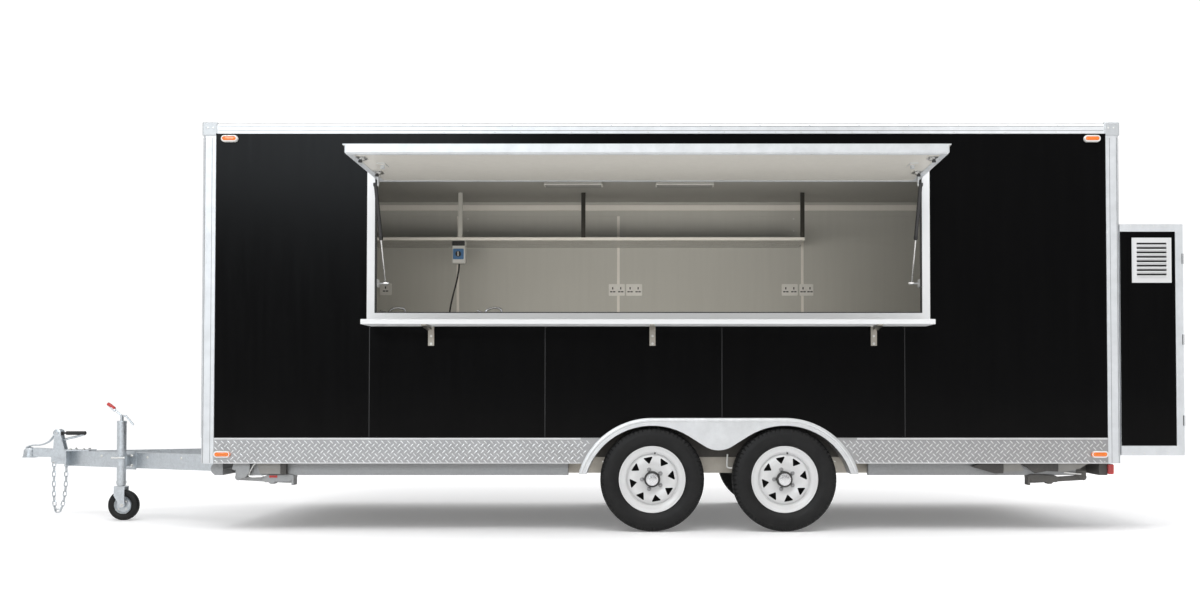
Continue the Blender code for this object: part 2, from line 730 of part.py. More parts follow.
def make_axle(name, wheel_x):
    """Square beam under the main rails, with a trailing arm at each end."""
    beam_x = wheel_x - AXLE_TRAIL
    half = AXLE_BEAM / 2
    beam_top = MAIN_RAIL_LOW - FIT
    low = beam_top - AXLE_BEAM
    drum_back = WHEEL_Y + DRUM_INNER
    arm_out = MAIN_RAIL_PLACE + RAIL_WIDTH + AXLE_ARM_THICK
    axle = block(name, (beam_x - half, -arm_out + AXLE_ARM_THICK / 2, low),
                 (beam_x + half, arm_out - AXLE_ARM_THICK / 2, beam_top))
    extras = []
    arm_half = AXLE_ARM_HEIGHT / 2
    outline = (arc((beam_x, low + half), arm_half, 90, 270, ROUND_SIDES // 2)
               + arc((wheel_x, TYRE_RADIUS), arm_half, 270, 450, ROUND_SIDES // 2))
    for side in (-1, 1):
        pad_y = side * MAIN_RAIL_PLACE
        extras.append(block("pad", (beam_x - AXLE_PAD_LENGTH / 2, pad_y - RAIL_WIDTH / 2,
                                    beam_top - AXLE_PAD_THICK),
                            (beam_x + AXLE_PAD_LENGTH / 2, pad_y + RAIL_WIDTH / 2,
                             beam_top)))
        inner, outer = side * (arm_out - AXLE_ARM_THICK), side * arm_out
        extras.append(plate("arm", outline, "XZ", min(inner, outer), max(inner, outer)))
        stub_end = side * (drum_back - FIT)
        extras.append(bar("stub", (wheel_x, (inner + stub_end) / 2, TYRE_RADIUS),
                          STUB_RADIUS, abs(stub_end - inner), "Y"))
        plate_y = side * (drum_back - BRAKE_PLATE_THICK - BRAKE_PLATE_THICK / 2)
        extras.append(bar("brake_plate", (wheel_x, plate_y, TYRE_RADIUS),
                          BRAKE_PLATE_RADIUS, BRAKE_PLATE_THICK, "Y", 2 * ROUND_SIDES))
    fuse(axle, *extras)
    return finish(axle, "galvanised")


# Wheels. Heights are outward from the tyre's middle plane.
WHEEL_STEPS = 24
RIM_HALF = TYRE_BEAD_WIDTH / 2
DISC_EDGE = RIM_HALF - DISC_SETBACK
DISC_CROWN = DISC_EDGE + DISC_DISH
DRUM_OUTER = DISC_EDGE - 2 * DISC_SHEET
DRUM_INNER = DRUM_OUTER - DRUM_DEPTH
FLANGE_FACE = RIM_HALF - FLANGE_THICK
SEAT_RADIUS = BEAD_RADIUS - FIT - DISC_SHEET / 2


def rim_profile():
    """Half section of the rim, its disc, the hub and the drum behind it."""
    sheet = RIM_SHEET
    crown_radius = (WINDOW_OUTER + WINDOW_INNER) / 2
    well_half = RIM_HALF / 3
    return [
        (0, DISC_EDGE + HUB_CAP_HEIGHT),
        (HUB_CAP_RADIUS * 0.8, DISC_EDGE + HUB_CAP_HEIGHT),
        (HUB_CAP_RADIUS, DISC_EDGE + HUB_RING_HEIGHT),
        (HUB_RING_RADIUS, DISC_EDGE + HUB_RING_HEIGHT),
        (HUB_RING_RADIUS, DISC_EDGE),
        (HUB_SEAT_RADIUS, DISC_EDGE),
        (crown_radius, DISC_CROWN),
        (DISC_RADIUS, DISC_EDGE),
        (SEAT_RADIUS - sheet, FLANGE_FACE - sheet),
        (FLANGE_RADIUS - sheet, RIM_HALF),
        (FLANGE_RADIUS, RIM_HALF),
        (FLANGE_RADIUS, FLANGE_FACE),
        (SEAT_RADIUS, FLANGE_FACE),
        (SEAT_RADIUS, -FLANGE_FACE),
        (FLANGE_RADIUS, -FLANGE_FACE),
        (SEAT_RADIUS, -RIM_HALF),
        (RIM_WELL_RADIUS - sheet, -well_half),
        (RIM_WELL_RADIUS - sheet, DISC_EDGE - DISC_SHEET),
        (crown_radius, DISC_CROWN - DISC_SHEET),
        (HUB_SEAT_RADIUS, DISC_EDGE - DISC_SHEET),
        (HUB_SEAT_RADIUS, DRUM_OUTER),
        (DRUM_RADIUS, DRUM_OUTER),
        (DRUM_RADIUS, DRUM_INNER),
        (0, DRUM_INNER),
    ]


def tyre_profile():
    """Closed half section of a tyre, its tread flat."""
    tread = TYRE_RADIUS / cos(pi / WHEEL_STEPS)
    tread_half = TYRE_TREAD_WIDTH / 2
    bead = FLANGE_FACE - FIT
    right = [(SEAT_RADIUS + FIT, bead),
             (FLANGE_RADIUS + FIT * 2, bead),
             (FLANGE_RADIUS + TYRE_SHOULDER, TYRE_WIDTH / 2 - DISC_SHEET),
             (TYRE_BULGE_RADIUS, TYRE_WIDTH / 2),
             (tread - TYRE_SHOULDER, (tread_half + TYRE_WIDTH / 2) / 2),
             (tread - TYRE_SHOULDER / 5, tread_half),
             (tread, tread_half - TYRE_SHOULDER)]
    return right + [(r, -h) for r, h in reversed(right)]


def window_cutter():
    """Eight rounded triangles that point at the hub."""
    low, high = DISC_EDGE - DISC_SHEET * 1.5, DISC_CROWN + OVERRUN
    round_by = WINDOW_WIDTH / 12
    half = WINDOW_WIDTH / 2
    outline = (arc((WINDOW_OUTER - round_by, half - round_by), round_by, 0, 120, 1)
               + arc((WINDOW_INNER + round_by, 0), round_by, 120, 240, 1)
               + arc((WINDOW_OUTER - round_by, round_by - half), round_by, 240, 360, 1))
    single = plate("window", outline, "XY", low, high)
    shape = bmesh.new()
    shape.from_mesh(single.data)
    bmesh.ops.translate(shape, vec=single.location, verts=shape.verts)
    piece = shape.copy()
    first = bpy.data.meshes.new("first")
    piece.to_mesh(first)
    piece.free()
    shape.free()
    gathered = bmesh.new()
    for i in range(WINDOW_COUNT):
        start = len(gathered.verts)
        gathered.from_mesh(first)
        gathered.verts.ensure_lookup_table()
        turn = Matrix.Rotation(2 * pi * (i + 0.5) / WINDOW_COUNT, 4, "Z")
        bmesh.ops.transform(gathered, matrix=turn, verts=gathered.verts[start:])
    bmesh.ops.transform(gathered, matrix=AXIS_TURN["Y"], verts=gathered.verts)
    cutter_mesh = bpy.data.meshes.new("windows")
    gathered.to_mesh(cutter_mesh)
    gathered.free()
    bpy.data.objects.remove(single, do_unlink=True)
    return add_object("windows", cutter_mesh)


def make_wheel_mesh():
    """White steel wheel with windows, studs, hub ring and cap."""
    wheel = turned("wheel", rim_profile(), (0, 0, 0), "Y", WHEEL_STEPS)
    cut(wheel, window_cutter())
    studs = []
    for i in range(STUD_COUNT):
        angle = pi + 2 * pi * i / STUD_COUNT
        studs.append(bar("stud", (STUD_CIRCLE * cos(angle), -DISC_EDGE - STUD_HEIGHT / 3,
                                  STUD_CIRCLE * sin(angle)),
                         STUD_RADIUS, STUD_HEIGHT, "Y", 6))
    fuse(wheel, *studs)
    finish(wheel, "white_steel")
    mesh = wheel.data
    bpy.data.objects.remove(wheel, do_unlink=True)
    return mesh


WHEEL_MESH = make_wheel_mesh()
TYRE_OBJECT = finish(turned("tyre", tyre_profile(), (0, 0, 0), "Y", WHEEL_STEPS,
                            closed=True), "tyre")
TYRE_MESH = TYRE_OBJECT.data
bpy.data.objects.remove(TYRE_OBJECT, do_unlink=True)
for mesh in (WHEEL_MESH, TYRE_MESH):
    mesh.transform(Matrix.Rotation(pi / WHEEL_STEPS, 4, "Y"))

for end, wheel_x in zip(("front", "rear"), WHEEL_XS):
    attach(make_axle("axle_" + end, wheel_x), TRAILER)
    for side, way in (("near", -1), ("far", 1)):
        name = side + "_" + end
        spin = pivot("spin_" + name, (wheel_x, way * WHEEL_Y, TYRE_RADIUS), TRAILER)
        if way > 0:
            spin.rotation_euler = (0, 0, pi)
        for label, mesh in (("wheel_", WHEEL_MESH), ("tyre_", TYRE_MESH)):
            piece = add_object(label + name, mesh)
            piece.parent = spin


# Mudguards: one sheet over both wheels, its web dipping between them.
ARCH_Z = TYRE_RADIUS - GUARD_DROP


def guard_inner_line(radius, steps):
    """Inner edge of the mudguard, from the rear tip to the front tip."""
    half = WHEEL_PITCH / 2
    valley_z = GUARD_VALLEY_Z + (radius - GUARD_INNER)
    round_z = valley_z + GUARD_VALLEY_ROUND
    reach = hypot(half, round_z - ARCH_Z)
    lean = atan2(round_z - ARCH_Z, half)
    spread = sqrt(max(reach ** 2 - (radius + GUARD_VALLEY_ROUND) ** 2, 0))
    turn = atan2(spread, radius + GUARD_VALLEY_ROUND)
    meet = (lean + turn) * 180 / pi
    tip = atan2(GUARD_TIP_Z - ARCH_Z, sqrt(radius ** 2 - (GUARD_TIP_Z - ARCH_Z) ** 2))
    tip = tip * 180 / pi
    rear = arc((WHEEL_XS[1], ARCH_Z), radius, tip, 180 - meet, steps)
    valley = arc((WHEEL_MIDDLE, round_z), GUARD_VALLEY_ROUND, -meet, meet - 180,
                 steps // 2)
    front = arc((WHEEL_XS[0], ARCH_Z), radius, meet, 180 - tip, steps)
    return rear + valley + front


def guard_outer_line(radius, steps):
    """Outer edge, flat over the wheels, from the front tip to the rear."""
    rise = GUARD_TIP_Z - ARCH_Z
    tip = atan2(rise, sqrt(radius ** 2 - rise ** 2)) * 180 / pi
    front = arc((WHEEL_XS[0], ARCH_Z), radius, 180 - tip, 90, steps // 2)
    rear = arc((WHEEL_XS[1], ARCH_Z), radius, 90, tip, steps // 2)
    return front + rear


def make_mudguard(name):
    """Face plate with a liner that reaches in over the tyres."""
    face_in = -SKIN_Y - KICK_THICK - KICK_EDGE_PROUD - 2 * FIT
    face_out = face_in - GUARD_SHEET
    ring = guard_outer_line(GUARD_OUTER, ARC_STEPS) + guard_inner_line(GUARD_INNER,
                                                                     ARC_STEPS)
    face = plate(name, ring, "XZ", face_out, face_in)
    outer = list(reversed(guard_inner_line(GUARD_INNER + GUARD_SHEET, ARC_STEPS)))
    liner = plate("liner", outer + guard_inner_line(GUARD_INNER, ARC_STEPS), "XZ",
                  face_out, face_in + GUARD_DEPTH)
    return fuse(face, liner)


def arch_cutter(low_y, high_y):
    """What a wall loses to the mudguard."""
    radius = GUARD_INNER + GUARD_SHEET + ARCH_CLEAR
    tip_x = sqrt(radius ** 2 - (GUARD_TIP_Z - ARCH_Z) ** 2)
    outline = guard_inner_line(radius, ARC_STEPS // 2)
    below = BODY_BOTTOM - RAIL_HEIGHT
    outline += [(WHEEL_XS[0] - tip_x, below), (WHEEL_XS[1] + tip_x, below)]
    return plate("arch", outline, "XZ", low_y, high_y)


# Floor with its two wheel boxes
BOX_X_LOW = WHEEL_XS[0] - GUARD_OUTER - RAIL_WIDTH / 2
BOX_X_HIGH = WHEEL_XS[1] + GUARD_OUTER + RAIL_WIDTH / 2
BOX_INNER = HALF_WIDTH - WHEEL_INSET - TYRE_WIDTH - RAIL_WIDTH / 2
BOX_TOP = ARCH_Z + GUARD_OUTER + RAIL_WIDTH / 2
BOX_SHEET = 0.006


def make_floor():
    """Floor panel with a sheet box over each pair of wheels."""
    deck = block("floor", (-INNER_X + FIT, -INNER_Y + FIT, FLOOR_UNDER),
                 (INNER_X - FIT, INNER_Y - FIT, FLOOR_TOP))
    boxes, hollows = [], []
    for side in (-1, 1):
        inner, outer = side * BOX_INNER, side * (INNER_Y - FIT)
        boxes.append(block("box", (BOX_X_LOW, min(inner, outer), FLOOR_UNDER),
                           (BOX_X_HIGH, max(inner, outer), BOX_TOP)))
        inner = side * (BOX_INNER + BOX_SHEET)
        outer = side * (INNER_Y + OVERRUN)
        hollows.append(block("hollow", (BOX_X_LOW + BOX_SHEET, min(inner, outer),
                                        FLOOR_UNDER - OVERRUN),
                             (BOX_X_HIGH - BOX_SHEET, max(inner, outer),
                              BOX_TOP - BOX_SHEET)))
    fuse(deck, *boxes)
    cut(deck, *hollows)
    return finish(deck, "floor_sheet")


# Walls, roof and the trim that holds their edges
WINDOW_LOW_X = WINDOW_CENTRE - WINDOW_OPEN_LENGTH / 2
WINDOW_HIGH_X = WINDOW_CENTRE + WINDOW_OPEN_LENGTH / 2
WALL_TOP = ROOF_SKIN - ROOF_SHEET - FIT


def make_side_wall(name):
    """Side panel drawn at the near side, with its wheel arch."""
    wall = block(name, (-INNER_X + FIT, -SKIN_Y, BODY_BOTTOM),
                 (INNER_X - FIT, -INNER_Y, WALL_TOP))
    cut(wall, arch_cutter(-HALF_WIDTH - OVERRUN, -INNER_Y + OVERRUN))
    return wall


def make_roof():
    """Roof panel with two ceiling lights."""
    roof = block("roof", (-INNER_X + FIT, -INNER_Y + FIT, CEILING),
                 (INNER_X - FIT, INNER_Y - FIT, ROOF_SKIN))
    sheet = ROOF_SKIN - ROOF_SHEET
    wings = block("wings", (-INNER_X + FIT, -SKIN_Y, sheet),
                  (INNER_X - FIT, SKIN_Y, ROOF_SKIN))
    ends = block("ends", (-SKIN_X, -INNER_Y + FIT, sheet),
                 (SKIN_X, INNER_Y - FIT, ROOF_SKIN))
    lights = []
    for place in LIGHT_PLACES:
        middle = Vector((place[0], place[1], CEILING - LIGHT_DROP / 2))
        size = Vector((LIGHT_LENGTH / 2, LIGHT_WIDTH / 2, LIGHT_DROP / 2 + FIT))
        lights.append(block("light", middle - size, middle + size))
    fuse(roof, wings, ends, *lights)
    return finish(roof, "white_panel")


LIGHT_PLACES = ((-HALF_LENGTH * 0.22, HALF_WIDTH * 0.1),
                (HALF_LENGTH * 0.06, HALF_WIDTH * 0.1))


def make_edge_frame():
    """Aluminium corner posts, roof rails and cast corner caps."""
    out = block("edge_frame", (-HALF_LENGTH, -HALF_WIDTH, BODY_BOTTOM),
                (HALF_LENGTH, HALF_WIDTH, BODY_TOP))
    shape = bmesh.new()
    shape.from_mesh(out.data)
    low = -(BODY_TOP - BODY_BOTTOM) / 2 + FIT
    rounded = [edge for edge in shape.edges
               if max(v.co.z for v in edge.verts) > low]
    bmesh.ops.bevel(shape, geom=rounded, offset=EDGE_ROUND, segments=2,
                    affect="EDGES", profile=0.5)
    shape.to_mesh(out.data)
    shape.free()
    caps = []
    for end in (-1, 1):
        for side in (-1, 1):
            corner = Vector((end * (HALF_LENGTH + CAP_PROUD),
                             side * (HALF_WIDTH + CAP_PROUD), BODY_TOP + CAP_PROUD))
            inner = Vector((end * (HALF_LENGTH - CAP_LENGTH),
                            side * (HALF_WIDTH - CAP_LENGTH), BODY_TOP - CAP_HEIGHT))
            low = [min(a, b) for a, b in zip(corner, inner)]
            high = [max(a, b) for a, b in zip(corner, inner)]
            caps.append(block("cap", low, high, CAP_PROUD * 2, 2))
    fuse(out, *caps)
    below = BODY_BOTTOM - OVERRUN
    top = ROOF_SKIN + FIT
    past = HALF_LENGTH + OVERRUN
    rail = BODY_TOP - RAIL_FACE
    cutters = [
        block("long", (-INNER_X, -SKIN_Y - FIT, below), (INNER_X, SKIN_Y + FIT, top)),
        block("wide", (-SKIN_X - FIT, -INNER_Y, below), (SKIN_X + FIT, INNER_Y, top)),
        block("sides", (-HALF_LENGTH + POST_FACE, -past, below),
              (HALF_LENGTH - POST_FACE, past, rail)),
        block("ends", (-past, -HALF_WIDTH + POST_FACE, below),
              (past, HALF_WIDTH - POST_FACE, rail)),
        block("above", (-HALF_LENGTH + RAIL_FACE, -HALF_WIDTH + RAIL_FACE, rail),
              (HALF_LENGTH - RAIL_FACE, HALF_WIDTH - RAIL_FACE, BODY_TOP + OVERRUN)),
    ]
    cut(out, *cutters)
    return finish(out, "aluminium_trim")


def lamp_outline(x, z):
    """Long oval of a marker lamp."""
    half = LAMP_LENGTH / 2
    rise = LAMP_HEIGHT / 2
    return rounded_rectangle((x - half, z - rise), (x + half, z + rise),
                             rise * 0.96, 3)


def make_kick(name, low_x, high_x, lamp_x):
    """Tread-plate strip with a folded bright edge and a marker lamp."""
    face = -SKIN_Y - FIT
    strip = block(name, (low_x, face - KICK_THICK, BODY_BOTTOM),
                  (high_x, face, KICK_TOP))
    edge = block("edge", (low_x, face - KICK_THICK - KICK_EDGE_PROUD,
                          KICK_TOP - KICK_EDGE), (high_x, face, KICK_TOP))
    lamp = plate("lamp", lamp_outline(lamp_x, LAMP_LOW_Z), "XZ",
                 face - LAMP_PROUD, face - KICK_THICK / 2)
    fuse(strip, edge, lamp)
    return cut(strip, arch_cutter(face - OVERRUN, face + OVERRUN))


def arch_edge(z):
    """How far the wall's arch is from the wheel's middle, at a height."""
    radius = GUARD_INNER + GUARD_SHEET + ARCH_CLEAR
    return sqrt(radius ** 2 - (z - ARCH_Z) ** 2)


def make_sides():
    """Side walls, kick plates and mudguards of both sides."""
    post_x = HALF_LENGTH - POST_FACE - FIT
    lamp_x = post_x - LAMP_LOW_INSET
    near = make_side_wall("wall_near")
    finish(near, "black_panel")
    far = finish(mirrored(near, "wall_far", "Y"), "black_panel")
    opening = block("opening",
                    (WINDOW_LOW_X - FRAME_LINING - FIT, -HALF_WIDTH - OVERRUN,
                     WINDOW_OPEN_LOW - FRAME_LINING - FIT),
                    (WINDOW_HIGH_X + FRAME_LINING + FIT, -INNER_Y + OVERRUN,
                     WINDOW_OPEN_HIGH + FRAME_LINING + FIT))
    cut(near, opening)
    for lamp_end in (-1, 1):
        lamp = plate("lamp", lamp_outline(lamp_end * (post_x - LAMP_HIGH_INSET),
                                          LAMP_HIGH_Z), "XZ",
                     -HALF_WIDTH - LAMP_PROUD, -INNER_Y - WALL_THICK / 2)
        fuse(near, lamp)
    for wall in (near, far):
        attach(finish(wall, "black_panel"), TRAILER)
    guard = finish(make_mudguard("mudguard_near"), "white_panel")
    guard_far = finish(mirrored(guard, "mudguard_far", "Y"), "white_panel")
    attach(guard, TRAILER)
    attach(guard_far, TRAILER)
    edge = arch_edge(KICK_TOP)
    front = make_kick("kick_near_front", -post_x, WHEEL_XS[0] - edge,
                      -lamp_x)
    rear = make_kick("kick_near_rear", WHEEL_XS[1] + edge, post_x,
                     lamp_x)
    for strip, label in ((front, "kick_far_front"), (rear, "kick_far_rear")):
        finish(strip, "tread_plate")
        other = finish(mirrored(strip, label, "Y"), "tread_plate")
        attach(other, TRAILER)
        attach(strip, TRAILER)


def make_ends():
    """Front wall with its kick plate, and rear wall with the doorway."""
    low, high = BODY_BOTTOM, WALL_TOP
    front_low = DRAWBAR_TOP + FIT
    front = block("wall_front", (-SKIN_X, -INNER_Y + FIT, front_low),
                  (-INNER_X, INNER_Y - FIT, high))
    attach(finish(front, "black_panel"), TRAILER)
    kick_y = HALF_WIDTH - POST_FACE - FIT
    face = -SKIN_X - FIT
    kick = block("kick_front", (face - KICK_THICK, -kick_y, front_low),
                 (face, kick_y, KICK_TOP))
    edge = block("edge", (face - KICK_THICK - KICK_EDGE_PROUD, -kick_y,
                          KICK_TOP - KICK_EDGE), (face, kick_y, KICK_TOP))
    attach(finish(fuse(kick, edge), "tread_plate"), TRAILER)
    rear = block("wall_rear", (INNER_X, -INNER_Y + FIT, low),
                 (SKIN_X, INNER_Y - FIT, high))
    surround = block("surround",
                     (INNER_X, ENTRY_NEAR - DOOR_FRAME_FACE, ENTRY_LOW - DOOR_FRAME_FACE),
                     (SKIN_X + DOOR_FRAME_PROUD, ENTRY_FAR + DOOR_FRAME_FACE,
                      ENTRY_HIGH + DOOR_FRAME_FACE))
    doorway = block("doorway", (INNER_X - OVERRUN, ENTRY_NEAR, ENTRY_LOW),
                    (HALF_LENGTH + OVERRUN, ENTRY_FAR, ENTRY_HIGH))
    cut(fuse(rear, surround), doorway)
    attach(finish(rear, "black_panel"), TRAILER)


attach(make_floor(), TRAILER)
make_sides()
make_ends()
attach(make_roof(), TRAILER)
attach(make_edge_frame(), TRAILER)


# Serving window: white frame, its ledge and the folding brackets' leaves
FRAME_OUT = -HALF_WIDTH - FRAME_PROUD
LEDGE_OUT = -HALF_WIDTH - SHELF_LEDGE
SHELF_HINGE_Z = SHELF_TOP - SHELF_THICK


def make_serving_frame():
    """Frame round the opening, with the ledge that carries the shelf."""
    low_x, high_x = WINDOW_LOW_X, WINDOW_HIGH_X
    low_z, high_z = WINDOW_OPEN_LOW, WINDOW_OPEN_HIGH
    frame = block("serving_frame", (low_x - FRAME_FACE, FRAME_OUT, low_z - FRAME_FACE),
                  (high_x + FRAME_FACE, -SKIN_Y - FIT, high_z + FRAME_FACE),
                  FRAME_PROUD / 6, 1)
    lining = block("lining", (low_x - FRAME_LINING, FRAME_OUT + FRAME_PROUD / 2,
                              low_z - FRAME_LINING),
                   (high_x + FRAME_LINING, -INNER_Y, high_z + FRAME_LINING))
    half = SHELF_LENGTH / 2
    ledge = block("ledge", (WINDOW_CENTRE - half, LEDGE_OUT, SHELF_HINGE_Z),
                  (WINDOW_CENTRE + half, -SKIN_Y - FIT, SHELF_TOP))
    join = block("join", (WINDOW_CENTRE - half, FRAME_OUT, SHELF_HINGE_Z),
                 (WINDOW_CENTRE + half, -SKIN_Y - FIT, low_z - FRAME_FACE / 2))
    leaves = []
    for i in (-1, 0, 1):
        x = BRACKET_CENTRE + i * BRACKET_PITCH
        width = BRACKET_LEAF_WIDTH / 2
        leaves.append(block("leaf", (x - width, -SKIN_Y - FIT - BRACKET_LEAF_THICK,
                                     BRACKET_LEAF_LOW),
                            (x + width, -SKIN_Y - FIT, SHELF_HINGE_Z + SHELF_THICK / 2)))
    fuse(frame, lining, ledge, join, *leaves)
    hole = block("hole", (low_x, FRAME_OUT - OVERRUN, low_z),
                 (high_x, -INNER_Y + OVERRUN, high_z))
    pins = []
    for side in (-1, 1):
        plane = WINDOW_CENTRE + side * STRUT_SPREAD
        wall_x = low_x if side < 0 else high_x
        pin_end = plane + side * (STRUT_EYE_THICK / 2 + STRUT_BORE_CLEAR)
        pin_y = -HALF_WIDTH + STRUT_PIN_Y
        tab_y = -INNER_Y
        inner, outer = min(wall_x, pin_end), max(wall_x, pin_end)
        pins.append(bar("pin", ((inner + outer) / 2, pin_y, STRUT_PIN_Z),
                        STRUT_PIN_RADIUS, outer - inner + STRUT_BORE_CLEAR, "X"))
        tab_x = wall_x - side * STRUT_BRACKET_THICK
        pins.append(block("tab", (min(tab_x, wall_x + side * FRAME_LINING),
                                  tab_y - FRAME_LINING * 2, STRUT_PIN_Z - FRAME_FACE / 2),
                          (max(tab_x, wall_x + side * FRAME_LINING),
                           pin_y + FRAME_FACE / 2, STRUT_PIN_Z + FRAME_FACE / 2)))
    cut(frame, hole)
    fuse(frame, *pins)
    return finish(frame, "white_panel")


attach(make_serving_frame(), TRAILER)

# Hatch, drawn shut and turned up on its hinge
HINGE_RADIUS = WINDOW_OPEN_HIGH - HATCH_HINGE_Z - FIT
HINGE_PLACE = (WINDOW_CENTRE, -HALF_WIDTH, HATCH_HINGE_Z)
HATCH_HINGE = pivot("hatch_hinge", HINGE_PLACE, TRAILER)
HATCH_HINGE.rotation_euler = (-radians(HATCH_OPEN), 0, 0)


def strut_eye_shut():
    """Strut's upper eye from the hinge, with the hatch shut."""
    turn = radians(HATCH_OPEN)
    return (STRUT_OUT * -cos(turn) + STRUT_DOWN * sin(turn),
            -STRUT_OUT * sin(turn) - STRUT_DOWN * cos(turn))


def make_hatch():
    """Insulated panel with a thin outer lip, latches and strut brackets."""
    half = HATCH_LENGTH / 2
    panel = block("hatch", (-half, 0, -HATCH_DROP), (half, HATCH_THICK, 0),
                  HATCH_EDGE_ROUND, 1)
    lip = block("lip", (-half - HATCH_LIP, 0, -HATCH_DROP),
                (half + HATCH_LIP, HATCH_LIP_THICK, 0))
    barrel = bar("barrel", (0, 0, 0), HINGE_RADIUS, 2 * half - HATCH_THICK, "X")
    extras = [lip, barrel]
    eye_y, eye_z = strut_eye_shut()
    for side in (-1, 1):
        knob_x = side * (half - 3 * LATCH_HEIGHT)
        latch_z = -HATCH_DROP * 0.62
        extras.append(block("latch", (knob_x - LATCH_HEIGHT / 2, HATCH_THICK - FIT,
                                      latch_z - LATCH_LENGTH / 2),
                            (knob_x + LATCH_HEIGHT / 2, HATCH_THICK + LATCH_THICK,
                             latch_z + LATCH_LENGTH / 2)))
        extras.append(bar("knob", (knob_x, HATCH_THICK + LATCH_THICK + KNOB_HEIGHT / 2 - FIT,
                                   latch_z), KNOB_RADIUS, KNOB_HEIGHT, "Y"))
        inner = side * (STRUT_SPREAD - STRUT_EYE_THICK / 2 - STRUT_BORE_CLEAR)
        outer = inner - side * STRUT_BRACKET_THICK
        tab = [(eye_y + STRUT_EYE_RADIUS, eye_z), (eye_y, eye_z - STRUT_EYE_RADIUS),
               (HATCH_THICK - FIT, eye_z - STRUT_EYE_RADIUS * 2),
               (HATCH_THICK - FIT, eye_z + STRUT_EYE_RADIUS * 2),
               (eye_y, eye_z + STRUT_EYE_RADIUS)]
        extras.append(plate("tab", tab, "YZ", min(inner, outer), max(inner, outer)))
    fuse(panel, *extras)
    return finish(panel, "black_panel")


HATCH = make_hatch()
HATCH.parent = HATCH_HINGE

# Gas struts: tube up at the hatch, rod down at the frame
EYE_UP = Vector((0, -HALF_WIDTH - STRUT_OUT, HATCH_HINGE_Z - STRUT_DOWN))
EYE_LOW = Vector((0, -HALF_WIDTH + STRUT_PIN_Y, STRUT_PIN_Z))
STRUT_LENGTH = (EYE_UP - EYE_LOW).length
STRUT_LEAN = atan2(EYE_LOW.y - EYE_UP.y, EYE_UP.z - EYE_LOW.z)


def make_strut(side, label):
    """One gas strut, drawn hanging straight down from its upper eye."""
    plane = WINDOW_CENTRE + side * STRUT_SPREAD
    swing = pivot("strut_swing_" + label, (plane, EYE_UP.y, EYE_UP.z), TRAILER)
    swing.rotation_euler = (STRUT_LEAN, 0, 0)
    tube = bar("strut_tube_" + label, (0, 0, -STRUT_TUBE_LENGTH / 2 - STRUT_EYE_RADIUS * 0.3),
               STRUT_TUBE_RADIUS, STRUT_TUBE_LENGTH - STRUT_EYE_RADIUS * 0.6, "Z")
    eye = bar("eye", (0, 0, 0), STRUT_EYE_RADIUS, STRUT_EYE_THICK, "X")
    bore_length = STRUT_TUBE_LENGTH - 2 * STRUT_EYE_RADIUS
    bore = bar("bore", (0, 0, -STRUT_TUBE_LENGTH + bore_length / 2 - OVERRUN),
               STRUT_ROD_RADIUS + STRUT_BORE_CLEAR, bore_length + OVERRUN, "Z")
    cut(fuse(tube, eye), bore)
    finish(tube, "black_steel")
    tube.parent = swing
    rod_top = -STRUT_TUBE_LENGTH + STRUT_EYE_RADIUS * 2
    rod_low = -STRUT_LENGTH + STRUT_EYE_RADIUS / 2
    rod = bar("strut_rod_" + label, (0, 0, (rod_top + rod_low) / 2),
              STRUT_ROD_RADIUS, rod_top - rod_low, "Z")
    rod_eye = bar("eye", (0, 0, -STRUT_LENGTH), STRUT_EYE_RADIUS,
                  STRUT_EYE_THICK, "X")
    fuse(rod, rod_eye)
    finish(rod, "stainless")
    rod.parent = swing


make_strut(-1, "front")
make_strut(1, "rear")

# Serving shelf, hinged on the ledge so that it folds down
SHELF_PLACE = (WINDOW_CENTRE, LEDGE_OUT - FIT, SHELF_HINGE_Z)
SHELF_HINGE = pivot("shelf_hinge", SHELF_PLACE, TRAILER)


def make_shelf():
    """Shelf board with three folding arms under it."""
    reach = SHELF_REACH - SHELF_LEDGE
    half = SHELF_LENGTH / 2
    board = block("serving_shelf", (-half, -reach, 0), (half, 0, SHELF_THICK),
                  SHELF_THICK / 9, 1)
    arms = []
    for i in (-1, 0, 1):
        x = BRACKET_CENTRE - WINDOW_CENTRE + i * BRACKET_PITCH
        side = SHELF_ARM_WIDTH / 2
        root, toe = -SHELF_ARM_GAP, -reach + SHELF_ARM_HEIGHT
        outline = [(root, -SHELF_ARM_HEIGHT), (root, SHELF_THICK / 3),
                   (toe, SHELF_THICK / 3), (toe, -SHELF_ARM_HEIGHT / 3)]
        arms.append(plate("arm", outline, "YZ", x - side, x + side))
    fuse(board, *arms)
    return finish(board, "white_panel")


SHELF = make_shelf()
SHELF.parent = SHELF_HINGE

# Rear locker: an open box with trim, its door and the louvred vent
LOCKER_NEAR = -HALF_WIDTH
LOCKER_FAR = -HALF_WIDTH + LOCKER_WIDTH
LOCKER_FRONT = HALF_LENGTH + DOOR_FRAME_PROUD


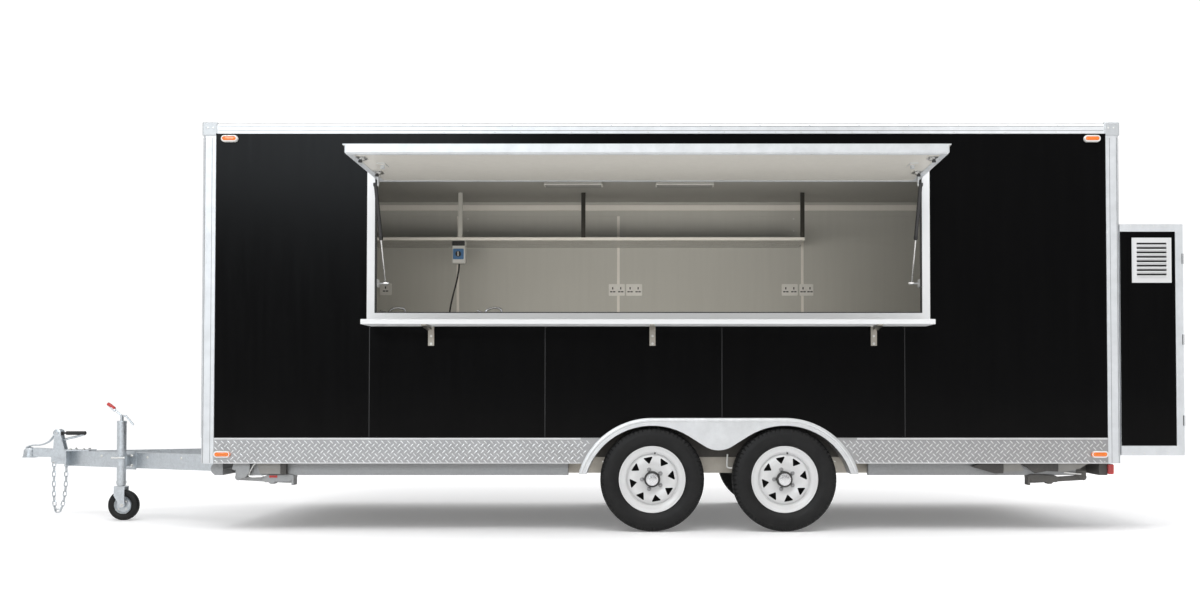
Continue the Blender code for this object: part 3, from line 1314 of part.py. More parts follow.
def make_locker():
    """Closed box behind the body, open at the rear for its door."""
    low = (HALF_LENGTH + FIT, LOCKER_NEAR, LOCKER_LOW)
    high = (LOCKER_END - DOOR_THICK, LOCKER_FAR, LOCKER_HIGH)
    box = block("rear_locker", low, high)
    inside = block("inside", (low[0] + LOCKER_WALL, low[1] + LOCKER_WALL,
                              low[2] + LOCKER_WALL),
                   (high[0] + OVERRUN, high[1] - LOCKER_WALL, high[2] - LOCKER_WALL))
    panel = block("panel", (low[0] + LOCKER_RAIL, low[1] - OVERRUN,
                            low[2] + LOCKER_SILL),
                  (LOCKER_END - LOCKER_RAIL, low[1] + LOCKER_TRIM,
                   high[2] - LOCKER_RAIL))
    vent = block("vent", (LOUVRE_X - LOUVRE_WIDTH / 2 + LOCKER_WALL, low[1] - OVERRUN,
                          LOUVRE_Z - LOUVRE_HEIGHT / 2 + LOCKER_WALL),
                 (LOUVRE_X + LOUVRE_WIDTH / 2 - LOCKER_WALL, low[1] + OVERRUN,
                  LOUVRE_Z + LOUVRE_HEIGHT / 2 - LOCKER_WALL))
    foot = block("foot", (SKIN_X + FIT, LOCKER_NEAR + POST_FACE + FIT,
                          LOCKER_LOW), (low[0] + LOCKER_WALL, LOCKER_FAR, LOCKER_HIGH))
    cut(fuse(box, foot), inside, panel, vent)
    return finish(box, "aluminium_trim")


def make_vent():
    """Louvre plate: eight hooded slots."""
    face = LOCKER_NEAR + LOCKER_TRIM - FIT
    half = LOUVRE_WIDTH / 2
    rise = LOUVRE_HEIGHT / 2
    sheet = block("locker_vent", (LOUVRE_X - half, face - LOUVRE_THICK, LOUVRE_Z - rise),
                  (LOUVRE_X + half, face, LOUVRE_Z + rise), LOUVRE_THICK / 4, 1)
    slots, hoods = [], []
    length = LOUVRE_SLOT_LENGTH / 2
    for i in range(LOUVRE_SLOTS):
        z = LOUVRE_Z + (i - (LOUVRE_SLOTS - 1) / 2) * LOUVRE_PITCH
        slots.append(block("slot", (LOUVRE_X - length, face - OVERRUN, z),
                           (LOUVRE_X + length, face + OVERRUN, z + LOUVRE_SLOT_HEIGHT)))
    cut(sheet, *slots)
    for i in range(LOUVRE_SLOTS):
        z = LOUVRE_Z + (i - (LOUVRE_SLOTS - 1) / 2) * LOUVRE_PITCH
        top = z + LOUVRE_SLOT_HEIGHT
        hood = [(face - LOUVRE_THICK / 2, top + LOUVRE_THICK / 3),
                (face - LOUVRE_THICK - LOUVRE_HOOD / 2, z + LOUVRE_THICK / 2),
                (face - LOUVRE_THICK - LOUVRE_HOOD / 2, z),
                (face - LOUVRE_THICK / 2, top - LOUVRE_THICK / 6)]
        hoods.append(plate("hood", hood, "YZ", LOUVRE_X - length, LOUVRE_X + length))
    fuse(sheet, *hoods)
    return finish(sheet, "white_panel")


attach(make_locker(), TRAILER)
attach(make_vent(), TRAILER)


KNUCKLE_SHARES = (0.15, 0.5, 0.85)


def make_door(name, width, height, thick, hinge_way):
    """Flat door drawn from its hinge, with its knuckles."""
    far = hinge_way * width
    board = block(name, (-thick, min(0, far), 0), (0, max(0, far), height))
    knuckles = [bar("knuckle", (0, 0, share * height), DOOR_GAP - FIT,
                    HANDLE_LENGTH / 2, "Z") for share in KNUCKLE_SHARES]
    return fuse(board, *knuckles)


def add_grip(door, grip_y, middle):
    """Pull handle on two legs."""
    grip = bar("grip", (HANDLE_STAND, grip_y, middle), HANDLE_RADIUS,
               HANDLE_LENGTH + 4 * HANDLE_RADIUS, "Z")
    legs = [bar("leg", (HANDLE_STAND / 2, grip_y, middle + way * HANDLE_LENGTH / 2),
                HANDLE_RADIUS * 0.8, HANDLE_STAND + HANDLE_RADIUS / 2, "X")
            for way in (-1, 1)]
    return fuse(door, grip, *legs)


def add_latch(door, middle_y, middle):
    """Flush latch: a plate with its paddle sunk in it."""
    half, rise = LATCH_PLATE_WIDTH / 2, LATCH_PLATE_HEIGHT / 2
    plate_block = block("plate", (-LATCH_PROUD, middle_y - half, middle - rise),
                        (LATCH_PROUD, middle_y + half, middle + rise))
    well = block("well", (0, middle_y - half * 0.7, middle - rise * 0.7),
                 (2 * LATCH_PROUD, middle_y + half * 0.7, middle + rise * 0.7))
    paddle = block("paddle", (-LATCH_PROUD, middle_y - half * 0.5, middle - rise * 0.6),
                   (LATCH_PROUD * 0.8, middle_y + half * 0.5, middle + rise * 0.3))
    return fuse(cut(fuse(door, plate_block), well), paddle)


LOCKER_HINGE_PLACE = (LOCKER_END, LOCKER_NEAR + DOOR_GAP / 2, LOCKER_LOW)
LOCKER_HINGE = pivot("locker_hinge", LOCKER_HINGE_PLACE, TRAILER)
LOCKER_DOOR = make_door("locker_door", LOCKER_WIDTH - DOOR_GAP,
                        LOCKER_HIGH - LOCKER_LOW, DOOR_THICK - FIT, 1)
add_latch(LOCKER_DOOR, LOCKER_WIDTH - DOOR_GAP - LATCH_PLATE_WIDTH,
          (LOCKER_HIGH - LOCKER_LOW) / 2)
finish(LOCKER_DOOR, "black_panel").parent = LOCKER_HINGE

ENTRY_HINGE_PLACE = (SKIN_X + DOOR_FRAME_PROUD, ENTRY_FAR - DOOR_GAP, ENTRY_LOW + DOOR_GAP)
ENTRY_HINGE = pivot("entry_hinge", ENTRY_HINGE_PLACE, TRAILER)
ENTRY_DOOR = make_door("entry_door", ENTRY_FAR - ENTRY_NEAR - 2 * DOOR_GAP,
                       ENTRY_HIGH - ENTRY_LOW - 2 * DOOR_GAP, WALL_THICK, -1)
add_grip(ENTRY_DOOR, HANDLE_STAND * 2 + ENTRY_NEAR - ENTRY_FAR,
         (ENTRY_HIGH - ENTRY_LOW) * 0.45)
finish(ENTRY_DOOR, "white_panel").parent = ENTRY_HINGE


# Inside: a worktop along each side, the wall shelf and the switch box
def make_worktop(name, height):
    """Closed cabinet with a worktop, drawn along the near side."""
    back = -INNER_Y + FIT
    front = back + WORKTOP_DEPTH
    end = INNER_X - FIT
    low, top = FLOOR_TOP + FIT, FLOOR_TOP + height
    slab = block(name, (-end, back, top - WORKTOP_THICK), (end, front, top))
    cabinet = block("cabinet", (-end, back, low + PLINTH_HEIGHT),
                    (end, front - CABINET_INSET, top - WORKTOP_THICK / 2))
    plinth = block("plinth", (-end, back, low),
                   (end, front - CABINET_INSET - PLINTH_INSET,
                    low + PLINTH_HEIGHT + FIT))
    pocket = block("pocket", (BOX_X_LOW - FIT, back - OVERRUN, low - OVERRUN),
                   (BOX_X_HIGH + FIT, -BOX_INNER + FIT, BOX_TOP + FIT))
    fuse(slab, cabinet, plinth)
    return finish(cut(slab, pocket), "stainless")


attach(make_worktop("worktop_near", SERVERY_HEIGHT), TRAILER)
FAR_TOP = make_worktop("worktop_drawn", WORKTOP_HEIGHT)
attach(finish(mirrored(FAR_TOP, "worktop_far", "Y"), "stainless"), TRAILER)
bpy.data.objects.remove(FAR_TOP, do_unlink=True)


SHELF_WALL_FRONT = INNER_Y - FIT - SHELF_WALL_DEPTH


def make_wall_shelf():
    """Long sheet shelf on the far wall, its lip hung from the ceiling."""
    back = INNER_Y - FIT
    front = SHELF_WALL_FRONT
    sheet = SHELF_WALL_SHEET
    shelf = block("wall_shelf", (SHELF_WALL_LEFT, front, SHELF_WALL_LOW),
                  (SHELF_WALL_RIGHT, back, SHELF_WALL_LOW + sheet))
    lips = [block("lip", (SHELF_WALL_LEFT, front, SHELF_WALL_LOW),
                  (SHELF_WALL_RIGHT, front + sheet / 2, SHELF_WALL_LOW + SHELF_WALL_LIP)),
            block("rear_lip", (SHELF_WALL_LEFT, back - sheet / 2, SHELF_WALL_LOW),
                  (SHELF_WALL_RIGHT, back, SHELF_WALL_LOW + SHELF_WALL_LIP))]
    hangers = []
    for x in HANGER_PLACES:
        hangers.append(block("hanger", (x, front, SHELF_WALL_LOW),
                             (x + HANGER_WIDTH, front + HANGER_THICK, CEILING - FIT)))
    return finish(fuse(shelf, *lips, *hangers), "stainless")


attach(make_wall_shelf(), TRAILER)


def make_switch_box():
    """Isolator box under the shelf with its supply lead to the worktop."""
    top = SHELF_WALL_LOW - FIT
    front = SHELF_WALL_FRONT
    low = top - BOX_HEIGHT
    box = block("switch_box", (BOX_X - BOX_LENGTH / 2, front, low),
                (BOX_X + BOX_LENGTH / 2, front + BOX_DEPTH, top), BOX_DEPTH / 12, 1)
    lead_y = front + BOX_DEPTH / 2
    foot = FLOOR_TOP + WORKTOP_HEIGHT + 2 * FIT
    drop = low - foot
    route = []
    for i in range(LEAD_STEPS + 1):
        share = i / LEAD_STEPS
        ease = share * share * (3 - 2 * share)
        route.append((BOX_X - LEAD_SWING * ease, lead_y,
                      low + BOX_DEPTH / 8 - (drop + BOX_DEPTH / 8) * share))
    lead = tube_along("lead", route, LEAD_RADIUS)
    return finish(fuse(box, lead), "blue_plastic")


LEAD_STEPS = 8
attach(make_switch_box(), TRAILER)


# Coupling on the drawbar's apex
def make_coupling():
    """Ball cup, neck, base plate and the lever's two ears."""
    dome = [(0, CUP_TOP), (CUP_RADIUS * 0.55, CUP_TOP - CUP_RADIUS * 0.12),
            (CUP_RADIUS * 0.9, CUP_TOP - CUP_RADIUS * 0.5),
            (CUP_RADIUS, CUP_LOW + CUP_LIP), (CUP_RADIUS + CUP_LIP, CUP_LOW + CUP_LIP),
            (CUP_RADIUS + CUP_LIP, CUP_LOW), (CUP_RADIUS - CUP_LIP, CUP_LOW),
            (CUP_RADIUS - CUP_LIP, CUP_LOW + CUP_RADIUS * 0.6),
            (CUP_RADIUS * 0.5, CUP_LOW + CUP_RADIUS), (0, CUP_LOW + CUP_RADIUS * 1.1)]
    cup = turned("coupling", dome, (CUP_CENTRE_X, 0, 0), "Z", ROUND_SIDES * 2)
    base_low = DRAWBAR_TOP + FIT
    neck_start = CUP_CENTRE_X + CUP_RADIUS * 0.8
    base_start = APEX_X - BASE_THICK
    half = NECK_WIDTH / 2
    low = CUP_LOW + CUP_LIP
    neck = plate("neck", [(neck_start, low), (base_start, low - CUP_LIP),
                          (base_start, base_low + BASE_THICK),
                          (neck_start, CUP_TOP - CUP_LIP)],
                 "XZ", -half, half)
    base = block("base", (base_start - BASE_THICK, -BASE_WIDTH / 2, base_low),
                 (APEX_X + BASE_LENGTH, BASE_WIDTH / 2, base_low + BASE_THICK))
    nose = block("nose", (APEX_X - BASE_THICK - FIT, -BASE_WIDTH / 2, BEAM_LOW),
                 (APEX_X - FIT, BASE_WIDTH / 2, base_low + BASE_THICK))
    ears = []
    for side in (-1, 1):
        inner, outer = side * EAR_SPREAD, side * (EAR_SPREAD + EAR_THICK)
        outline = [(LEVER_X - EAR_LENGTH / 2, base_low), (LEVER_X + EAR_LENGTH, base_low),
                   (LEVER_X + EAR_LENGTH / 3, EAR_TOP), (LEVER_X - EAR_LENGTH / 3, EAR_TOP)]
        ears.append(plate("ear", outline, "XZ", min(inner, outer), max(inner, outer)))
    pin = bar("pin", (LEVER_X, 0, LEVER_Z), LEVER_BAR / 2,
              2 * (EAR_SPREAD + EAR_THICK), "Y")
    cheeks = []
    low_z = CHAIN_PIN_Z - CHAIN_CHEEK_EDGE / 2
    edge = CHAIN_CHEEK_EDGE
    for side in (-1, 1):
        inner = side * CHAIN_CHEEK_GAP
        outer = side * (CHAIN_CHEEK_GAP + CHAIN_CHEEK_THICK)
        outline = [(CHAIN_FRONT_X - edge, low + CUP_LIP), (CHAIN_FRONT_X - edge, low_z + edge),
                   (CHAIN_FRONT_X - edge / 2, low_z), (APEX_X - BASE_THICK / 2, low_z),
                   (APEX_X - BASE_THICK / 2, low + CUP_LIP)]
        cheeks.append(plate("cheek", outline, "XZ", min(inner, outer), max(inner, outer)))
    for pin_x in (CHAIN_FRONT_X, CHAIN_REAR_X):
        cheeks.append(bar("chain_pin", (pin_x, 0, CHAIN_PIN_Z), CHAIN_PIN_RADIUS,
                          2 * (CHAIN_CHEEK_GAP + 2 * CHAIN_CHEEK_THICK), "Y"))
    return finish(fuse(cup, neck, base, nose, pin, *ears, *cheeks), "galvanised")


attach(make_coupling(), TRAILER)


def make_lever():
    """Brake lever with its grip, lying back over the base plate."""
    half = EAR_SPREAD - FIT
    root = block("brake_lever", (LEVER_X - LEVER_BAR, -half, LEVER_Z - LEVER_BAR),
                 (LEVER_X + LEVER_BAR * 2, half, LEVER_Z + LEVER_BAR))
    hole = bar("hole", (LEVER_X, 0, LEVER_Z), LEVER_BAR / 2 + FIT,
               2 * EAR_SPREAD + OVERRUN, "Y")
    stem = bar("stem", (LEVER_X + LEVER_REACH / 2, 0, LEVER_Z + LEVER_BAR / 4),
               LEVER_BAR / 2, LEVER_REACH - LEVER_BAR * 2, "X")
    grip = bar("grip", (LEVER_X + LEVER_REACH - GRIP_LENGTH / 2, 0,
                        LEVER_Z + LEVER_BAR / 4), GRIP_RADIUS, GRIP_LENGTH, "X")
    return finish(cut(fuse(root, stem, grip), hole), "black_steel")


attach(make_lever(), TRAILER)


CHAIN_BEND = CHAIN_LINK_WIDTH / 2 - CHAIN_WIRE
CHAIN_ARM = CHAIN_LINK_LENGTH / 2 - CHAIN_WIRE - CHAIN_BEND
CHAIN_REACH = CHAIN_BEND * cos(pi / 2 / CHAIN_BEND_STEPS) - CHAIN_WIRE
CHAIN_PITCH = 2 * (CHAIN_ARM + CHAIN_REACH) + CHAIN_BITE


def chain_curve(drop):
    """Hanging loop from pin to pin, as many fine points."""
    top = CHAIN_PIN_Z + CHAIN_REACH + CHAIN_BITE / 2
    curve = []
    for i in range(CHAIN_FINE + 1):
        share = sin(pi * i / CHAIN_FINE / 2) ** 2
        x = CHAIN_FRONT_X + (CHAIN_REAR_X - CHAIN_FRONT_X) * share ** CHAIN_LEAN
        curve.append(Vector((x, 0, top - drop * sin(pi * share) ** CHAIN_BOW)))
    return curve


def chain_joints(curve):
    """Points where links meet, a pitch apart, and if the loop is too short."""
    joints = [curve[0]]
    for start, end in zip(curve, curve[1:]):
        before, after = (start - joints[-1]).length, (end - joints[-1]).length
        if before < CHAIN_PITCH <= after and len(joints) < CHAIN_LINKS:
            joints.append(start.lerp(end, (CHAIN_PITCH - before) / (after - before)))
    left = (curve[-1] - joints[-1]).length
    return joints + [curve[-1]], len(joints) < CHAIN_LINKS or left < CHAIN_PITCH


def make_link(name, middle, ahead, flat):
    """One welded link: a round wire bent into a long ring."""
    ring = (arc((CHAIN_ARM, 0), CHAIN_BEND, -90, 90, CHAIN_BEND_STEPS)
            + arc((-CHAIN_ARM, 0), CHAIN_BEND, 90, 270, CHAIN_BEND_STEPS))
    across = Vector((0, 1, 0))
    if flat:
        across = ahead.cross(across).normalized()
    up = ahead.cross(across)
    shape = bmesh.new()
    rings = []
    for i, (u, v) in enumerate(ring):
        u_next, v_next = ring[(i + 1) % len(ring)]
        u_last, v_last = ring[i - 1]
        run = Vector((u_next - u_last, v_next - v_last, 0)).normalized()
        inward = up * run.x - ahead * run.y
        centre = middle + ahead * u + up * v
        rings.append([shape.verts.new(centre + (inward * cos(2 * pi * k / CHAIN_WIRE_SIDES)
                                               + across * sin(2 * pi * k / CHAIN_WIRE_SIDES))
                                     * CHAIN_WIRE) for k in range(CHAIN_WIRE_SIDES)])
    for i, low in enumerate(rings):
        high = rings[(i + 1) % len(rings)]
        for k in range(CHAIN_WIRE_SIDES):
            m = (k + 1) % CHAIN_WIRE_SIDES
            shape.faces.new((low[k], low[m], high[m], high[k]))
    bmesh.ops.recalc_face_normals(shape, faces=shape.faces)
    mesh = bpy.data.meshes.new(name)
    shape.to_mesh(mesh)
    shape.free()
    return add_object(name, mesh)


def make_chain():
    """Safety chain: welded links in a loop between its pins."""
    low, high = CHAIN_LINK_WIDTH, CHAIN_PIN_Z * 2
    for _ in range(CHAIN_TRIES):
        drop = (low + high) / 2
        if chain_joints(chain_curve(drop))[1]:
            low = drop
        else:
            high = drop
    joints = chain_joints(chain_curve(high))[0]
    links = []
    for i, (start, end) in enumerate(zip(joints, joints[1:])):
        links.append(make_link("safety_chain" if i == 0 else "link", (start + end) / 2,
                               (end - start).normalized(), i % 2 == 1))
    return finish(fuse(*links), "galvanised")


attach(make_chain(), TRAILER)


# Jockey wheel, clamped to the near drawbar beam
def beam_face(x):
    """Outer face of the near beam at a place along the trailer."""
    return -(x - APEX_X) * tan(BEAM_ANGLE)


def make_clamp():
    """Plate on the beam and the collar that grips the jack's tube."""
    middle_z = DRAWBAR_TOP - BEAM_HEIGHT / 2
    half = CLAMP_PLATE_LENGTH / 2
    out = JACK_TUBE_RADIUS + CLAMP_COLLAR
    clamp = block("jack_clamp", (-half, -CLAMP_PLATE_THICK, -CLAMP_HEIGHT / 2),
                  (half, 0, CLAMP_HEIGHT / 2))
    face = Vector((JACK_X, beam_face(JACK_X), middle_z))
    normal = Vector((-sin(BEAM_ANGLE), -cos(BEAM_ANGLE), 0))
    clamp.rotation_euler = (0, 0, -BEAM_ANGLE)
    clamp.location = face + normal * (CLAMP_PLATE_THICK / 2 + FIT)
    collar = bar("collar", (JACK_X, JACK_Y, middle_z), out, CLAMP_COLLAR_HEIGHT, "Z",
                 2 * ROUND_SIDES)
    web = block("web", (JACK_X - out * 0.8, JACK_Y, middle_z - CLAMP_COLLAR_HEIGHT / 2),
                (JACK_X + out * 0.8, beam_face(JACK_X) + BEAM_WIDTH / 2,
                 middle_z + CLAMP_COLLAR_HEIGHT / 2))
    slope_cut = block("slope", (-BODY_LENGTH / 4, 0, -BEAM_HEIGHT),
                      (BODY_LENGTH / 4, BODY_WIDTH / 4, BEAM_HEIGHT))
    slope_cut.rotation_euler = (0, 0, -BEAM_ANGLE)
    slope_cut.location = face + normal * FIT - normal * BODY_WIDTH / 8
    bpy.context.view_layer.update()
    hole = bar("hole", (JACK_X, JACK_Y, middle_z), JACK_TUBE_RADIUS + FIT,
               CLAMP_HEIGHT + OVERRUN, "Z", 2 * ROUND_SIDES)
    cut(fuse(clamp, collar, web), slope_cut, hole)
    return finish(clamp, "galvanised")


def make_jack_tube():
    """Outer tube with its cap and the crank's shaft."""
    middle = (JACK_TUBE_TOP + JACK_TUBE_LOW) / 2
    tube = bar("jack_tube", (JACK_X, JACK_Y, middle), JACK_TUBE_RADIUS,
               JACK_TUBE_TOP - JACK_TUBE_LOW, "Z", 2 * ROUND_SIDES)
    shaft = bar("shaft", (JACK_X, JACK_Y, (JACK_TUBE_TOP + JACK_SHAFT_TOP) / 2 - FIT),
                JACK_SHAFT_RADIUS, JACK_SHAFT_TOP - JACK_TUBE_TOP + 2 * FIT, "Z")
    bore_top = JACK_TUBE_LOW + JACK_LEG_LENGTH + JACK_TUBE_RADIUS
    bore = bar("bore", (JACK_X, JACK_Y, (bore_top + JACK_TUBE_LOW - OVERRUN) / 2),
               JACK_LEG_RADIUS + JACK_LEG_CLEAR, bore_top - JACK_TUBE_LOW + OVERRUN,
               "Z", 2 * ROUND_SIDES)
    return finish(cut(fuse(tube, shaft), bore), "galvanised")


def make_crank():
    """Crank arm through the shaft's head with its grip."""
    top = JACK_SHAFT_TOP + FIT
    hub = bar("jack_crank", (JACK_X, JACK_Y, top + CRANK_BAR), JACK_SHAFT_RADIUS,
              CRANK_BAR * 2, "Z")
    low = (JACK_X + CRANK_FALL_X, JACK_Y, top - CRANK_FALL)
    high = (JACK_X + CRANK_RISE_X, JACK_Y, top + CRANK_RISE)
    over = (JACK_X + CRANK_FALL_X / 3, JACK_Y, top + CRANK_BAR)
    arm = tube_along("arm", [low, over, (JACK_X, JACK_Y, top + CRANK_BAR),
                             high], CRANK_BAR)
    way = Vector((CRANK_RISE_X, 0, CRANK_RISE)).normalized()
    start = Vector(high) - way * CRANK_GRIP_LENGTH / 2
    grip = tube_along("grip", [start, start + way * CRANK_GRIP_LENGTH],
                      CRANK_GRIP_RADIUS)
    return finish(fuse(hub, arm, grip), "galvanised")


def make_leg():
    """Sliding inner leg."""
    low = FORK_TOP + FIT
    return finish(bar("jack_leg", (0, 0, JACK_LEG_LENGTH / 2), JACK_LEG_RADIUS,
                      JACK_LEG_LENGTH, "Z", 2 * ROUND_SIDES), "galvanised")


def make_fork():
    """Folded fork: a top plate and two tapering cheeks."""
    half = FORK_WIDTH / 2
    inside = FORK_INSIDE / 2
    axle_z = JACK_WHEEL_RADIUS - FORK_TOP
    fork = block("jack_fork", (-half, -inside - FORK_SHEET, -FORK_SHEET),
                 (half, inside + FORK_SHEET, 0))
    toe = FORK_TOE_WIDTH / 2
    outline = ([(half, 0), (-half, 0), (-half, -FORK_SHOULDER)]
               + arc((JACK_TRAIL, axle_z), toe, 180, 360, 6) + [(half, -FORK_SHOULDER)])
    cheeks = []
    for side in (-1, 1):
        inner, outer = side * inside, side * (inside + FORK_SHEET)
        cheeks.append(plate("cheek", outline, "XZ", min(inner, outer), max(inner, outer)))
    pin = bar("pin", (JACK_TRAIL, 0, axle_z), STRUT_PIN_RADIUS,
              FORK_INSIDE + 4 * FORK_SHEET, "Y")
    return finish(fuse(fork, pin, *cheeks), "galvanised")


JACK_STEPS = 16


def make_jack_wheel():
    """Small rim bored for its pin, and its solid tyre."""
    half = JACK_WHEEL_WIDTH / 2
    rim = turned("jack_rim", [(STRUT_PIN_RADIUS + FIT * 2, half + FORK_SHEET),
                              (STRUT_PIN_RADIUS * 3, half + FORK_SHEET),
                              (STRUT_PIN_RADIUS * 3, half / 3),
                              (JACK_RIM_RADIUS * 0.8, half / 3),
                              (JACK_RIM_RADIUS, half * 0.8),
                              (JACK_RIM_RADIUS, -half * 0.8),
                              (JACK_RIM_RADIUS * 0.8, -half / 3),
                              (STRUT_PIN_RADIUS * 3, -half / 3),
                              (STRUT_PIN_RADIUS * 3, -half - FORK_SHEET),
                              (STRUT_PIN_RADIUS + FIT * 2, -half - FORK_SHEET)],
                 (0, 0, 0), "Y", JACK_STEPS, closed=True)
    tread = JACK_WHEEL_RADIUS / cos(pi / JACK_STEPS)
    tyre = turned("jack_tyre", [(JACK_RIM_RADIUS + FIT, half * 0.75),
                                (tread * 0.82, half), (tread * 0.97, half * 0.8),
                                (tread, half * 0.45), (tread, -half * 0.45),
                                (tread * 0.97, -half * 0.8), (tread * 0.82, -half),
                                (JACK_RIM_RADIUS + FIT, -half * 0.75)],
                  (0, 0, 0), "Y", JACK_STEPS, closed=True)
    for piece in (rim, tyre):
        piece.data.transform(Matrix.Rotation(pi / JACK_STEPS, 4, "Y"))
    return finish(rim, "galvanised"), finish(tyre, "tyre")


attach(make_clamp(), TRAILER)
attach(make_jack_tube(), TRAILER)
attach(make_crank(), TRAILER)
JACK_SLIDE = pivot("jack_slide", (JACK_X, JACK_Y, FORK_TOP + FIT), TRAILER)
make_leg().parent = JACK_SLIDE
JACK_SWIVEL = pivot("jack_swivel", (0, 0, -FIT), JACK_SLIDE)
make_fork().parent = JACK_SWIVEL
JACK_SPIN = pivot("jack_spin", (JACK_TRAIL, 0, JACK_WHEEL_RADIUS - FORK_TOP), JACK_SWIVEL)
for piece in make_jack_wheel():
    piece.parent = JACK_SPIN


# Corner steadies, folded up under the side rails
def make_steady(name):
    """Arm and foot drawn folded back from the hinge along +X."""
    arm_half = STEADY_ARM_WIDTH / 2
    depth = STEADY_ARM_DEPTH
    knuckle = bar(name, (0, 0, 0), STEADY_KNUCKLE, STEADY_ARM_WIDTH * 1.1, "Y")
    outline = [(0, -STEADY_KNUCKLE * 0.9), (STEADY_LENGTH - depth, -depth),
               (STEADY_LENGTH, -depth), (STEADY_LENGTH, -depth / 3), (0, STEADY_KNUCKLE * 0.6)]
    arm = plate("arm", outline, "XZ", -arm_half, arm_half)
    foot = block("foot", (STEADY_LENGTH - FIT, -STEADY_FOOT_WIDTH / 2,
                          -depth - STEADY_FOOT_THICK),
                 (STEADY_LENGTH + STEADY_FOOT_THICK, STEADY_FOOT_WIDTH / 2,
                  -depth - STEADY_FOOT_THICK + STEADY_FOOT_LENGTH * 0.6))
    bore = bar("bore", (0, 0, 0), STEADY_PIN_RADIUS + STRUT_BORE_CLEAR,
               STEADY_ARM_WIDTH * 2, "Y")
    return finish(cut(fuse(knuckle, arm, foot), bore), "galvanised")


for end_name, end in (("front", -1), ("rear", 1)):
    for side_name, side in (("near", -1), ("far", 1)):
        name = "steady_" + side_name + "_" + end_name
        hinge = pivot(name + "_hinge", (end * STEADY_PIVOT_X, side * STEADY_Y,
                                        STEADY_PIVOT_Z), TRAILER)
        if end > 0:
            hinge.rotation_euler = (0, 0, pi)
        make_steady(name).parent = hinge


def make_tail_lamp(name):
    """Lamp on the rear crossmember, under the body's edge."""
    middle_z = (MAIN_RAIL_LOW + BODY_BOTTOM) / 2
    out_y = -HALF_WIDTH + TAIL_LAMP_INSET
    return block(name, (RAIL_END + FIT, out_y, middle_z - TAIL_LAMP_HEIGHT / 2),
                 (RAIL_END + TAIL_LAMP_DEPTH, out_y + TAIL_LAMP_LENGTH,
                  middle_z + TAIL_LAMP_HEIGHT / 2), TAIL_LAMP_DEPTH / 8, 1)


NEAR_LAMP = make_tail_lamp("tail_lamp_near")
FAR_LAMP = mirrored(NEAR_LAMP, "tail_lamp_far", "Y")
for lamp in (NEAR_LAMP, FAR_LAMP):
    attach(finish(lamp, "lamp_red"), TRAILER)
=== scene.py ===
from math import atan2, cos, hypot, pi, radians, sin

import bmesh
import bpy
from bpy.props import FloatProperty, FloatVectorProperty, PointerProperty
from mathutils import Matrix, Vector


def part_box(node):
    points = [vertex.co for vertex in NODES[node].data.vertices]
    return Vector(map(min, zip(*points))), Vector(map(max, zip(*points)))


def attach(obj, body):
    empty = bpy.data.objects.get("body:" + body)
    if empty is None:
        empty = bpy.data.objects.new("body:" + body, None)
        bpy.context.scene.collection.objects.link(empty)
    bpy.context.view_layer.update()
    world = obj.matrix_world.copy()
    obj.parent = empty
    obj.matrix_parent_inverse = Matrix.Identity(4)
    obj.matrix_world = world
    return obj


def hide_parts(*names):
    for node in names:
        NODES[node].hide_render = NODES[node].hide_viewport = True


bl_info = {
    "name": "Food trailer dressing",
    "version": (1, 0, 0),
    "blender": (4, 5, 0),
    "location": "View3D > Sidebar > Trailer",
    "description": "Finishes and small fittings for a twin-axle food trailer",
    "category": "Add Mesh",
}

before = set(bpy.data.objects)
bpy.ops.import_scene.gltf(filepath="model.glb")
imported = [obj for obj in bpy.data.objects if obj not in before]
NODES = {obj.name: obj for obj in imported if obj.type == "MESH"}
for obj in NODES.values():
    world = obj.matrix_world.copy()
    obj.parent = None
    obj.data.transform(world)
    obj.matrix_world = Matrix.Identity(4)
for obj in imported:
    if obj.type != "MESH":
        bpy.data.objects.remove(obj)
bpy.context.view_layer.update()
BODY_LOW, BODY_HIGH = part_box("edge_frame")
MIDDLE_X = (BODY_LOW.x + BODY_HIGH.x) / 2
MIDDLE_Y = (BODY_LOW.y + BODY_HIGH.y) / 2
CAP_PROUD = 0.004  # the cast corners stand this far out of the rails
SKIN_INSET = 0.0043  # the panels lie this far behind the rails' faces
NEAR_SKIN = BODY_LOW.y + CAP_PROUD + SKIN_INSET
REAR_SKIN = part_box("wall_rear")[1].x
NEAR = Vector((0, -1, 0))
FAR = Vector((0, 1, 0))
FRONT = Vector((-1, 0, 0))
REAR = Vector((1, 0, 0))
UP = Vector((0, 0, 1))


def spot(x, y, z):
    """Place given from the body's middle, its centre plane and the ground."""
    return Vector((MIDDLE_X + x, MIDDLE_Y + y, z))


# Mesh tools
def skin_rings(bm, rings, around=True):
    """Faces between neighbouring rings of points; open strips with around off."""
    for low, high in zip(rings, rings[1:]):
        count = len(low)
        for i in range(count if around else count - 1):
            j = (i + 1) % count
            bm.faces.new((low[i], low[j], high[j], high[i]))


def cap_rings(bm, rings):
    """Closes the first and the last ring."""
    bm.faces.new(list(reversed(rings[0])))
    bm.faces.new(rings[-1])


def on_circle(angle):
    """Upright unit direction at an angle, seen from the road side."""
    return Vector((cos(angle), 0, sin(angle)))


def add_block(bm, low, high, chamfer=0.0):
    """Rectangular block, its edges cut back by the chamfer."""
    made = bmesh.ops.create_cube(bm, size=1)
    size = Vector(high) - Vector(low)
    middle = (Vector(high) + Vector(low)) / 2
    for vert in made["verts"]:
        vert.co = Vector(a * b for a, b in zip(vert.co, size)) + middle
    if chamfer:
        edges = list({e for v in made["verts"] for e in v.link_edges})
        bmesh.ops.bevel(bm, geom=edges, offset=min(chamfer, min(size) * 0.45),
                        segments=1, affect="EDGES")


